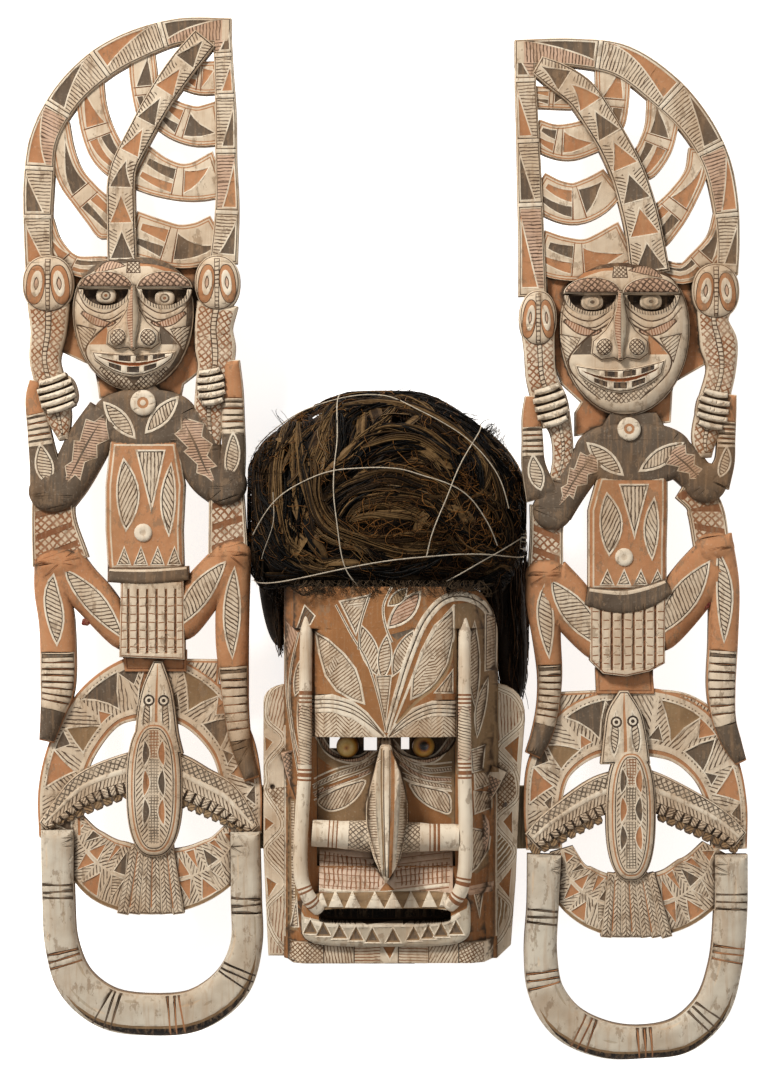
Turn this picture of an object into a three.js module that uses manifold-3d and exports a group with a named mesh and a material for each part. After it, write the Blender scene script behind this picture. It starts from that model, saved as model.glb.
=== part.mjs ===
// Malanggan mask of New Ireland, lying on its back: a hollow carved face block with a fibre
// wig, and two openwork ear boards fastened behind its flanges by wooden battens.
// Millimetres. +Z is up and is the way the face looks, +Y points to the crown, and the
// origin is the centre of the footprint on the surface that the mask lies on.
import * as THREE from 'three';
import { mergeVertices } from 'three/addons/utils/BufferGeometryUtils.js';
import Module from 'manifold-3d';

const wasm = await Module();
wasm.setup();

// Heights above the surface, shared by the pieces
const boardBack = 68;
const flangeBack = 68;
const flangeFront = 86;
const battenBack = 56;
const touchGap = 0.3;

// Middle of the footprint in the coordinates that the outlines below are drawn in
const footprintCentre = [0.5, -2];

// Heights of the carved forms on an ear board
const frameFront = 86;
const ribFront = 83;
const midribFront = 89;
const plateFront = 77;
const limbFront = 91;
const chestFront = 90;
const headFront = 95;
const browFront = 99;
const noseFront = 105;
const torsoFront = 90;
const beltFront = 95;
const skirtFront = 93;
const fishFront = 93;
const handFront = 94;
const discFront = 81;
const wingFront = 86;
const bodyFront = 92;
const ringFront = 93;

// The face block
const foreheadFront = 154;
const blockFront = 132;
const cheekFront = 122;
const mouthFront = 143;
const rodRadius = 7.2;
const rodHeight = 145;
const noseBarEndRadius = 10.5;
const noseBarMidRadius = 15;
const noseBarHeight = 139;
const noseTipFront = 178;
const eyeRadius = 9.5;
const crownEnd = -45;
const chinEnd = -388;
const chinWall = 56;
const browEdge = -183;
const noseBarLine = -274;
const eyeOpenings = [[-50.6, -41.4, -194], [-19.3, -7.4, -196], [14.7, 22.1, -195]];

// The battens that hold the boards to the flanges
const battenLow = -290;
const battenHigh = -231;
const battenReach = [-147, 158];

// The wig
const wigCentre = [-1, 22, 38];
const wigRadius = [127, 109.5, 124];
const wigFullness = 2.45;
const wigHollowCentre = [4, 2, -6];
const wigHollowRadius = [88, 88, 116];

// One ear board is a set of bands: [x, y, width] stations along the middle of each form.
const leftPlan = {
  outerFrame: [[-141.5, 465.5, 24], [-188.5, 465.5, 24], [-230, 452.5, 28.5], [-262, 435, 29.5], [-293.5, 405, 27.5],
    [-314.5, 366, 26], [-319, 327.5, 28.5], [-320, 286, 26.5], [-318.5, 243, 26]],
  innerFrame: [[-151, 475.5, 17.5], [-149, 438, 17.5], [-147, 392, 19.5], [-146.5, 346, 20], [-145.5, 303.5, 22],
    [-149, 252, 26]],
  midrib: [[-242, 252, 27.5], [-243, 295.5, 26.5], [-243, 325, 26], [-240, 341.5, 24], [-228, 366, 24],
    [-208, 402, 25], [-186, 434, 26], [-165.5, 459, 24]],
  ribs: [
    [[-224.5, 449, 24], [-222.5, 421.5, 26], [-219, 386.5, 22]],
    [[-272.5, 421.5, 26], [-270.5, 396.5, 27.5], [-265, 373.5, 30.5], [-256, 354, 32], [-242, 339.5, 31.5]],
    [[-301, 381, 20], [-297, 355, 22], [-290, 332, 26], [-275, 312, 28.5], [-263, 299, 32], [-251, 285, 38.5]],
    [[-313, 294.5, 13], [-304.5, 269.5, 14.5], [-287, 250, 18.5], [-255, 247.5, 23]],
    [[-186, 426, 27.5], [-170, 422.5, 30.5], [-153.5, 423, 30.5]],
    [[-207, 392, 31.5], [-190.5, 382.5, 35], [-173, 378, 37], [-152, 381, 40.5]],
    [[-229, 342, 43], [-209, 332, 37], [-188.5, 326.5, 34], [-172, 327.5, 37], [-152, 334, 44]],
    [[-234.5, 279.5, 42.5], [-211.5, 272.5, 40.5], [-190.5, 267, 40.5], [-170, 269.5, 40.5], [-152, 279.5, 37]],
  ],
  backPlate: [[-302.5, 252], [-301, 171], [-271.5, 157.5], [-267, 150], [-264, 127], [-188.5, 127], [-186, 140],
    [-173, 150], [-157.5, 175.5], [-157.5, 252]],
  head: { centre: [-232, 206], halfWidth: 56, up: 51.5, down: 72.5 },
  face: { browLine: [-231, 228], eyes: [[-256.5, 221.5], [-202.5, 219]], slotHalf: 22, eyeHalf: 9.5,
    noseTop: [-231, 224.5], noseTip: [-228, 175], noseWidth: 44, mouth: [-227, 160], mouthSize: [78, 25] },
  fishHeads: [[-310, 232, 24, 26.5], [-154.5, 233, 21, 26]],
  fishBodies: [
    [[-310, 214.5, 39.5], [-310, 189.5, 34], [-313.5, 162, 28.5], [-308, 139, 27.5], [-301, 111.5, 24], [-296, 88.5, 9]],
    [[-154.5, 214.5, 38.5], [-158, 191.5, 35], [-156.5, 173, 37.5], [-156.5, 158, 33], [-161, 137, 27.5], [-162, 106.5, 26],
      [-158, 79, 11]],
  ],
  hands: [{ at: [-302, 131.5], size: [37, 35], tilt: 0.3 }, { at: [-160, 138], size: [28, 36], tilt: 0 }],
  chest: { at: [-221.5, 108.5], size: [96, 54] },
  neck: [[-231, 138, 31.5], [-224.5, 118, 53.5]],
  chestDisc: [-222.5, 122.5, 12],
  upperArms: [
    [[-256, 114, 37], [-273, 86.5, 41.5], [-290, 54.5, 39.5], [-302.5, 37, 38.5]],
    [[-188.5, 112, 37], [-175, 85.5, 42.5], [-163, 58, 41.5], [-150, 42.5, 35]],
  ],
  forearms: [
    [[-322, 143.5, 11], [-324, 128, 14.5], [-319, 97.5, 21], [-314.5, 70, 26.5], [-307.5, 40.5, 40.5]],
    [[-141, 162, 14], [-140, 134.5, 18.5], [-140, 105, 21], [-140, 74.5, 23], [-146.5, 46, 34]],
  ],
  elbows: [[-304.5, 42.5, 24, 20], [-147, 48, 19.5, 19.5]],
  blocks: [
    [[-305.5, 37.5, 38.5], [-305.5, 14.5, 40.5], [-299, -24, 52.5]],
    [[-146.5, 46, 32], [-145.5, 19.5, 34], [-144.5, -18.5, 37]],
  ],
  torso: [[-253, 88.5], [-257.5, 47], [-257.5, 5.5], [-255, -33], [-185, -33], [-186, 5.5], [-184, 47],
    [-190.5, 88.5]],
  navel: [-222.5, 3, 8.5],
  belt: [[-255, -36, 13], [-218, -37, 14.5], [-180.5, -34, 13]],
  skirt: [[-243, -40.5], [-244.5, -111.5], [-184, -114], [-185, -40.5]],
  pedestal: [[-242, -105], [-240, -125], [-183, -125], [-183, -105]],
  thighs: [
    [[-299, -24, 42.5], [-282.5, -43, 38.5], [-266, -60.5, 37.5], [-240, -93, 33]],
    [[-141, -18.5, 33], [-155.5, -35, 37], [-170, -53.5, 39.5], [-190.5, -83, 40.5]],
  ],
  shins: [
    [[-302.5, -24, 42.5], [-306.5, -49.5, 34], [-302.5, -82, 33], [-302, -141.5, 31.5], [-306.5, -164.5, 23], [-312, -189.5, 14]],
    [[-137, -14.5, 27.5], [-140, -49.5, 30.5], [-141, -95.5, 30.5], [-139, -132.5, 26.5], [-137, -162, 23], [-132.5, -192.5, 19.5],
      [-122.5, -224.5, 14.5]],
  ],
  disc: [[-299, -278, 40.5], [-299, -233.5, 41.5], [-287, -192.5, 44], [-257.5, -153.5, 50.5], [-216, -139, 62.5], [-175, -152, 52.5],
    [-143.5, -188.5, 42.5], [-132.5, -229, 37], [-129.5, -275, 31.5]],
  shoulders: [[[-185, -123.5, 20], [-152.5, -126, 24]]],
  birdBody: [-212.5, -232, 26, 63.5],
  birdHead: [[-209, -115, 8.5], [-210, -140, 27.5], [-210.5, -160, 35], [-210.5, -183, 40.5], [-210, -201.5, 48]],
  wings: [
    [[-220, -217, 40.5], [-238.5, -219, 36], [-277, -233, 30.5], [-299, -252, 20], [-315.5, -267.5, 10]],
    [[-207, -217, 40.5], [-190.5, -221, 38.5], [-170, -231, 35], [-150, -241, 33], [-132.5, -257.5, 22], [-119.5, -270.5, 10]],
  ],
  fringes: [{ from: [-233, -237.5], to: [-312, -269.5], count: 9 }, { from: [-190.5, -246.5], to: [-123.5, -275], count: 9 }],
  crescent: [[-290, -263, 24], [-278, -287, 44], [-255, -309, 60.5], [-216, -319, 60.5], [-177.5, -313.5, 55],
    [-150, -297, 46], [-135, -272.5, 27.5]],
  tail: { from: [-214.5, -285], to: [-216, -348.5], topWidth: 38, bottomWidth: 62, feathers: 6 },
  ring: [[-302, -270.5, 30.5], [-301, -335, 29.5], [-298, -377, 30.5], [-285, -412, 35], [-256.5, -435, 37.5], [-216, -441.5, 37.5],
    [-174, -437, 37.5], [-141.5, -413, 36], [-128, -377, 29.5], [-128, -335, 28.5], [-129, -272.5, 27.5]],
};

const rightPlan = {
  outerFrame: [[119.5, 445.5, 24], [175, 445.5, 26.5], [218, 438, 30.5], [256, 412, 33], [284.5, 382, 29.5],
    [304.5, 347, 26.5], [313.5, 309, 24], [316.5, 272.5, 21], [315.5, 241, 20]],
  innerFrame: [[129, 455.5, 17.5], [129.5, 419.5, 19.5], [131.5, 373.5, 21], [133.5, 318.5, 23], [135, 272.5, 24],
    [136, 221, 26]],
  midrib: [[244.5, 241, 37], [237.5, 285, 34], [231, 311, 33], [222.5, 336.5, 31.5], [210.5, 361.5, 29.5],
    [198, 382.5, 29.5], [180.5, 407.5, 29.5], [159, 423, 26.5], [140, 434, 18.5]],
  ribs: [
    [[209, 436, 31.5], [210, 410.5, 32], [207, 377, 31.5]],
    [[257.5, 403, 32], [255, 377, 30.5], [248.5, 357, 31.5], [235.5, 337.5, 32]],
    [[290, 357, 19.5], [287, 335, 21], [276, 314.5, 26], [261.5, 295.5, 33], [244.5, 280.5, 46]],
    [[311, 300, 14.5], [306.5, 274, 20], [292.5, 254, 24], [275, 242, 20], [255, 246.5, 18.5]],
    [[136, 405, 20], [153.5, 404, 20], [173, 402, 17.5]],
    [[137, 372.5, 26], [153.5, 365, 30.5], [170, 363.5, 34], [196, 371, 31.5]],
    [[139, 321, 33], [157.5, 310, 37], [175, 306.5, 38.5], [192.5, 313, 37.5], [210.5, 326.5, 30.5]],
    [[141, 263, 40.5], [161, 256.5, 40.5], [187, 255, 38.5], [223.5, 271.5, 40.5]],
  ],
  backPlate: [[148, 252], [150, 171], [163, 140], [181, 123.5], [175, 114], [175, 92],
    [264, 105], [266, 141], [295.5, 158], [295.5, 252]],
  head: { centre: [221, 189.5], halfWidth: 60, up: 62.5, down: 79 },
  face: { browLine: [216, 222.5], eyes: [[190.5, 215.5], [244.5, 216]], slotHalf: 23, eyeHalf: 10.5,
    noseTop: [217, 220], noseTip: [221, 162], noseWidth: 46, mouth: [218, 149], mouthSize: [84, 29] },
  fishHeads: [[141, 200.5, 17.5, 26], [304.5, 225.5, 22, 26]],
  fishBodies: [
    [[141, 194, 31.5], [142.5, 171, 28.5], [144.5, 145.5, 28.5], [153.5, 120.5, 31.5], [162, 97.5, 21], [164, 74.5, 18.5],
      [158, 49.5, 13]],
    [[304.5, 217, 37], [302.5, 198.5, 28.5], [307.5, 177.5, 35], [310, 154.5, 27.5], [302, 120.5, 27.5], [294.5, 88.5, 23],
      [295.5, 72, 11]],
  ],
  hands: [{ at: [152.5, 120.5], size: [33, 40], tilt: 0.25 }, { at: [302, 117], size: [31, 38], tilt: -0.1 }],
  chest: { at: [229, 75.5], size: [108, 58] },
  neck: [[229, 114, 42.5], [229, 88.5, 72]],
  chestDisc: [224.5, 98.5, 11],
  upperArms: [
    [[196, 79, 35], [179.5, 59, 35], [166.5, 38.5, 33], [157.5, 22, 31.5]],
    [[258.5, 81, 38.5], [277, 66, 35], [290, 52.5, 31.5], [297, 46, 27.5]],
  ],
  forearms: [
    [[134.5, 129, 11], [135, 111.5, 17.5], [136, 88.5, 19.5], [137, 65.5, 22], [145.5, 35, 31.5]],
    [[318.5, 130.5, 11], [316.5, 114, 14.5], [314.5, 88.5, 16.5], [313, 68, 18.5], [304.5, 48, 27.5]],
  ],
  elbows: [[154.5, 24, 18.5, 18.5], [295.5, 49, 19.5, 18.5]],
  blocks: [
    [[150, 28.5, 33], [149, 3.5, 30.5], [148, -37, 33]],
    [[273, 43, 18.5], [292.5, 30.5, 31.5], [302.5, -14.5, 33]],
  ],
  torso: [[196, 57], [187, 24], [187, -13], [187, -51.5], [259.5, -51.5], [259.5, -13], [260.5, 24],
    [260.5, 57]],
  navel: [220, -19.5, 8.5],
  belt: [[185, -55, 16.5], [204, -59, 21], [221.5, -60, 22], [243, -55, 21], [261.5, -46, 14.5]],
  skirt: [[188.5, -59], [188.5, -115], [200.5, -127], [221.5, -129.5], [243, -125], [257.5, -117], [258.5, -53.5]],
  pedestal: [[194, -121.5], [195, -145.5], [248.5, -145.5], [246.5, -121.5]],
  thighs: [
    [[150, -34, 38.5], [160, -49.5, 45], [173, -66, 46], [201.5, -101, 42.5]],
    [[303.5, -17.5, 38.5], [290, -37.5, 46], [276, -57, 47], [250, -92, 44]],
  ],
  shins: [
    [[147, -33, 33], [146.5, -59, 33], [149, -92, 26.5], [152, -129, 23], [150, -158, 21], [144.5, -183, 19.5],
      [136, -202.5, 14.5]],
    [[303.5, 0, 33], [312, -45, 29.5], [312, -93, 27.5], [310, -141.5, 26.5], [313, -171, 22], [320, -191.5, 18.5],
      [328.5, -209, 11]],
  ],
  disc: [[147, -289, 33], [145.5, -247.5, 35], [153.5, -210, 42.5], [185, -178.5, 56], [227, -171, 62.5],
    [272.5, -179.5, 60], [302, -209, 47], [315.5, -247.5, 37], [317.5, -289, 33]],
  shoulders: [[[159, -158, 27.5], [198, -154.5, 24]], [[244, -153.5, 25], [275, -158, 26], [295.5, -171, 29.5]]],
  birdBody: [226.5, -256.5, 23, 61.5],
  birdHead: [[220, -142.5, 8.5], [220, -162, 31.5], [221, -182, 39.5], [221.5, -210, 46]],
  wings: [
    [[218, -235.5, 40.5], [198, -240, 36], [166.5, -257.5, 28.5], [149, -269.5, 24], [135, -281.5, 18.5]],
    [[234.5, -233.5, 40.5], [253, -238.5, 36], [293.5, -256.5, 28.5], [312, -267.5, 24], [327.5, -280.5, 18.5]],
  ],
  fringes: [{ from: [201.5, -261.5], to: [136, -294.5], count: 8 }, { from: [251, -259.5], to: [325, -291.5], count: 9 }],
  crescent: [[163, -289, 22], [172, -318.5, 44], [198, -337.5, 53.5], [233, -342, 57], [267.5, -335, 57],
    [291.5, -316.5, 53.5], [306.5, -289, 29.5]],
  tail: { from: [227, -311], to: [232, -370], topWidth: 42, bottomWidth: 66, feathers: 7 },
  ring: [[147, -293.5, 31.5], [145.5, -339.5, 29.5], [143.5, -385.5, 30.5], [149, -421.5, 33], [168.5, -449, 35],
    [202.5, -464.5, 33], [239, -466.5, 29.5], [274, -460, 33], [301, -435, 33], [313.5, -397.5, 30.5],
    [318.5, -348.5, 30.5], [319, -293.5, 30.5]],
};

function toSolid(geometry) {
  const plain = geometry.index ? geometry.toNonIndexed() : geometry.clone();
  plain.deleteAttribute('normal');
  plain.deleteAttribute('uv');
  const merged = mergeVertices(plain, 1e-4);
  return new wasm.Manifold(new wasm.Mesh({
    numProp: 3,
    vertProperties: new Float32Array(merged.attributes.position.array),
    triVerts: new Uint32Array(merged.index.array),
  }));
}

function toMesh(solid, name, colour, roughness) {
  const out = solid.getMesh();
  const geometry = new THREE.BufferGeometry();
  geometry.setAttribute('position', new THREE.Float32BufferAttribute(out.vertProperties, 3));
  geometry.setIndex(new THREE.BufferAttribute(new Uint32Array(out.triVerts), 1));
  geometry.translate(-footprintCentre[0], -footprintCentre[1], 0);
  geometry.computeVertexNormals();
  const mesh = new THREE.Mesh(geometry, new THREE.MeshStandardMaterial({
    color: colour, roughness: roughness, metalness: 0,
  }));
  mesh.name = name;
  return mesh;
}

function joined(solids) {
  return solids.reduce((all, next) => all.add(next));
}

function box(lowX, highX, lowY, highY, lowZ, highZ) {
  const geometry = new THREE.BoxGeometry(highX - lowX, highY - lowY, highZ - lowZ);
  geometry.translate((lowX + highX) / 2, (lowY + highY) / 2, (lowZ + highZ) / 2);
  return toSolid(geometry);
}

// Closed outline of a band that follows [x, y, width] stations, with square ends
function bandOutline(stations, steps) {
  const middle = new THREE.CatmullRomCurve3(
    stations.map(([x, y, width]) => new THREE.Vector3(x, y, width)), false, 'centripetal');
  const points = middle.getPoints(steps);
  const left = [];
  const right = [];
  points.forEach((point, i) => {
    const before = points[Math.max(i - 1, 0)];
    const after = points[Math.min(i + 1, points.length - 1)];
    const along = new THREE.Vector2(after.x - before.x, after.y - before.y).normalize();
    left.push(new THREE.Vector2(point.x - along.y * point.z / 2, point.y + along.x * point.z / 2));
    right.push(new THREE.Vector2(point.x + along.y * point.z / 2, point.y - along.x * point.z / 2));
  });
  return left.concat(right.reverse());
}

function ovalOutline(x, y, halfWidth, halfHeight, count, tilt = 0, power = 2) {
  const points = [];
  for (let i = 0; i < count; i += 1) {
    const angle = (i + 0.5) / count * Math.PI * 2;
    const across = Math.sign(Math.cos(angle)) * Math.abs(Math.cos(angle)) ** (2 / power) * halfWidth;
    const up = Math.sign(Math.sin(angle)) * Math.abs(Math.sin(angle)) ** (2 / power) * halfHeight;
    points.push(new THREE.Vector2(
      x + across * Math.cos(tilt) - up * Math.sin(tilt),
      y + across * Math.sin(tilt) + up * Math.cos(tilt)));
  }
  return points;
}

function vectors(points) {
  return points.map(([x, y]) => new THREE.Vector2(x, y));
}

// Hand-carved forms never end at quite the same height: a small step that differs each time
let formsCarved = 0;

function unevenStep() {
  formsCarved += 1;
  return ((formsCarved * 7) % 19) * 0.06;
}

// An outline raised to a front height, its front edge rounded off by a chamfer
function raised(outline, front, chamfer, back = boardBack) {
  const bottom = back - 12;
  const depth = front - chamfer - bottom + unevenStep();
  const geometry = new THREE.ExtrudeGeometry(new THREE.Shape(outline), {
    depth: depth,
    steps: 1,
    bevelEnabled: true,
    bevelSegments: 1,
    bevelThickness: chamfer,
    bevelSize: chamfer,
    bevelOffset: -chamfer,
  });
  geometry.translate(0, 0, bottom);
  return toSolid(geometry);
}

function slab(outline, low, high) {
  const geometry = new THREE.ExtrudeGeometry(new THREE.Shape(outline), {
    depth: high - low + unevenStep(), steps: 1, bevelEnabled: false,
  });
  geometry.translate(0, 0, low);
  return toSolid(geometry);
}

// Outline given in (x, z), pushed along Y from one end to the other
function alongY(outline, lowY, highY) {
  const geometry = new THREE.ExtrudeGeometry(new THREE.Shape(outline), {
    depth: highY - lowY, steps: 1, bevelEnabled: false,
  });
  geometry.rotateX(Math.PI / 2);
  geometry.translate(0, highY, 0);
  return toSolid(geometry);
}

// Outline given in (y, z), pushed along X from one side to the other
function alongX(outline, lowX, highX) {
  const geometry = new THREE.ExtrudeGeometry(new THREE.Shape(outline), {
    depth: highX - lowX, steps: 1, bevelEnabled: false,
  });
  geometry.rotateX(Math.PI / 2);
  geometry.rotateZ(Math.PI / 2);
  geometry.translate(lowX, 0, 0);
  return toSolid(geometry);
}

function headOutline(head, count) {
  const points = [];
  for (let i = 0; i < count; i += 1) {
    const angle = (i + 0.5) / count * Math.PI * 2;
    const side = Math.cos(angle);
    const up = Math.sin(angle);
    const power = up > 0 ? 2.5 : 1.95;
    const height = up > 0 ? head.up : head.down;
    points.push(new THREE.Vector2(
      head.centre[0] + Math.sign(side) * Math.abs(side) ** (2 / power) * head.halfWidth,
      head.centre[1] + Math.sign(up) * Math.abs(up) ** (2 / power) * height));
  }
  return points;
}

// The trailing edge of a wing: a strip whose lower edge is cut into separate feather ends
function fringeOutline(fringe, width) {
  const start = new THREE.Vector2(...fringe.from);
  const end = new THREE.Vector2(...fringe.to);
  const along = end.clone().sub(start);
  const down = new THREE.Vector2(-along.y, along.x).normalize();
  if (down.y > 0) down.negate();
  const points = [
    end.clone().addScaledVector(down, -width),
    start.clone().addScaledVector(down, -width),
  ];
  for (let i = 0; i < fringe.count; i += 1) {
    for (const [part, drop] of [[0.08, 0], [0.3, 2.6], [0.78, 2.6], [0.95, 0]]) {
      points.push(start.clone().addScaledVector(along, (i + part) / fringe.count)
        .addScaledVector(down, drop));
    }
  }
  return points;
}

function faceForms(face) {
  const [browX, browY] = face.browLine;
  const forms = [];
  const socketCuts = [];
  face.eyes.forEach(([x, y], i) => {
    const wide = face.slotHalf;
    const brow = [];
    const socket = [];
    for (let k = 0; k <= 6; k += 1) {
      const angle = Math.PI * k / 6;
      brow.push(new THREE.Vector2(x + Math.cos(angle) * (wide + 5.6), browY + Math.sin(angle) * 18));
      socket.push(new THREE.Vector2(x - Math.cos(angle) * wide, browY - Math.sin(angle) * 17));
    }
    forms.push(raised(brow, browFront, 2.5));
    socketCuts.push(slab(socket, headFront - 6, noseFront + 20));
    forms.push([raised(ovalOutline(x, y - 1, face.eyeHalf, 7.4, 10), headFront - 1, 1.5)]);
  });
  const [topX, topY] = face.noseTop;
  const [tipX, tipY] = face.noseTip;
  const nose = bandOutline([
    [topX, topY, 10], [(topX + tipX) / 2, (topY + tipY) / 2 + 4, 15], [tipX, tipY + 3, 22]], 4);
  const nostrils = [-1, 1].map((side) => raised(
    ovalOutline(tipX + side * face.noseWidth * 0.27, tipY + 12, 10.5, 12.5, 8), headFront + 5, 4));
  const mouth = raised(
    ovalOutline(face.mouth[0], face.mouth[1], face.mouthSize[0] / 2, face.mouthSize[1] / 2, 12),
    headFront + 2.5, 2.5);
  const lips = slab(
    ovalOutline(face.mouth[0], face.mouth[1], face.mouthSize[0] * 0.32, 2.2, 8),
    headFront - 3, noseFront);
  return { forms, socketCuts, nose: raised(nose, noseFront, 3.5), nostrils, mouth, lips };
}

function earBoard(plan) {
  const forms = [];
  forms.push(raised(bandOutline(plan.outerFrame, 13), frameFront, 2.5));
  forms.push(raised(bandOutline(plan.innerFrame, 3), frameFront, 2));
  forms.push(raised(bandOutline(plan.midrib, 8), midribFront, 3));
  plan.ribs.forEach((rib) => forms.push(slab(bandOutline(rib, 5), boardBack - 12, ribFront)));
  forms.push(slab(vectors(plan.backPlate), boardBack, plateFront));
  plan.fishHeads.forEach(([x, y, wide, high]) => {
    forms.push(raised(ovalOutline(x, y, wide, high, 12, 0, 2.2), fishFront, 6));
  });
  plan.fishBodies.forEach((body) => forms.push(raised(bandOutline(body, 6), limbFront - 3, 3.5)));
  plan.hands.forEach((hand) => {
    forms.push(raised(ovalOutline(...hand.at, hand.size[0] / 2, hand.size[1] / 2, 8, hand.tilt, 3),
      handFront, 5));
  });
  forms.push(raised(ovalOutline(...plan.chest.at, plan.chest.size[0] / 2, plan.chest.size[1] / 2,
    12, 0, 2.4), chestFront, 5));
  forms.push(raised(bandOutline(plan.neck, 2), chestFront - 3, 2));
  plan.upperArms.forEach((arm) => forms.push(raised(bandOutline(arm, 3), limbFront, 6)));
  plan.forearms.forEach((arm) => forms.push(raised(bandOutline(arm, 4), limbFront - 1, 4)));
  plan.elbows.forEach(([x, y, wide, high]) => {
    forms.push(raised(ovalOutline(x, y, wide, high, 10), limbFront + 1, 7));
  });
  plan.blocks.forEach((block) => forms.push(slab(bandOutline(block, 2), boardBack - 12, limbFront - 6)));
  forms.push(raised(vectors(plan.torso), torsoFront, 5));
  forms.push(raised(bandOutline(plan.belt, 3), beltFront, 3));
  forms.push(raised(vectors(plan.pedestal), discFront + 2, 1));
  plan.thighs.forEach((thigh) => forms.push(raised(bandOutline(thigh, 3), limbFront, 7)));
  plan.shins.forEach((shin) => forms.push(raised(bandOutline(shin, 6), limbFront - 1, 5)));
  forms.push(slab(bandOutline(plan.disc, 13), boardBack - 12, discFront));
  forms.push(slab(bandOutline(plan.crescent, 8), boardBack - 12, discFront));
  plan.shoulders.forEach((shoulder) => {
    forms.push(slab(bandOutline(shoulder, 1), boardBack - 12, discFront));
  });
  plan.wings.forEach((wing) => forms.push(raised(bandOutline(wing, 4), wingFront, 2.5)));
  plan.fringes.forEach((fringe) => {
    forms.push(slab(fringeOutline(fringe, 11), boardBack - 12, wingFront - 2));
  });
  const [bodyX, bodyY, bodyWide, bodyHigh] = plan.birdBody;
  forms.push(raised(ovalOutline(bodyX, bodyY, bodyWide, bodyHigh, 16, 0, 2.5), bodyFront, 6));
  forms.push(raised(bandOutline(plan.birdHead, 4), bodyFront - 2, 4));
  forms.push(raised(bandOutline(plan.ring, 18), ringFront, 8));

  // Tail feathers as a fan of narrow ridges
  const tail = plan.tail;
  for (let i = 0; i < tail.feathers; i += 1) {
    const part = (i + 0.5) / tail.feathers - 0.5;
    forms.push(raised(bandOutline([
      [tail.from[0] + part * tail.topWidth, tail.from[1], tail.topWidth / tail.feathers * 1.1],
      [tail.to[0] + part * tail.bottomWidth, tail.to[1], tail.bottomWidth / tail.feathers * 1.02],
    ], 1), discFront + 5, 2));
  }

  // Pleats of the fringed skirt
  let skirt = raised(vectors(plan.skirt), skirtFront, 2);
  const skirtXs = plan.skirt.map(([x]) => x);
  const skirtLow = Math.min(...skirtXs);
  const skirtHigh = Math.max(...skirtXs);
  const pleats = 7;
  for (let i = 1; i < pleats; i += 1) {
    const x = skirtLow + (skirtHigh - skirtLow) * i / pleats;
    const groove = [[x - 1.6, skirtFront + 1], [x, skirtFront - 2.6], [x + 1.6, skirtFront + 1]];
    skirt = skirt.subtract(alongY(vectors(groove), -170, -30));
  }
  forms.push(skirt);

  // The head, with its brows, sockets, nose and mouth
  const face = faceForms(plan.face);
  let head = raised(headOutline(plan.head, 22), headFront, 6);
  face.forms.filter((form) => !Array.isArray(form)).forEach((form) => { head = head.add(form); });
  face.socketCuts.forEach((cut) => { head = head.subtract(cut); });
  face.forms.filter((form) => Array.isArray(form)).forEach(([eye]) => { head = head.add(eye); });
  head = head.add(face.nose).add(face.nostrils[0]).add(face.nostrils[1]).add(face.mouth);
  head = head.subtract(face.lips);
  forms.push(head);

  const [chestX, chestY, chestRadius] = plan.chestDisc;
  forms.push(raised(ovalOutline(chestX, chestY, chestRadius, chestRadius, 10), chestFront + 2, 1));
  const [navelX, navelY, navelRadius] = plan.navel;
  forms.push(raised(ovalOutline(navelX, navelY, navelRadius, navelRadius, 10), torsoFront + 2, 1));

  return joined(forms).subtract(box(-400, 400, -520, 520, boardBack - 60, boardBack));
}

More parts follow.
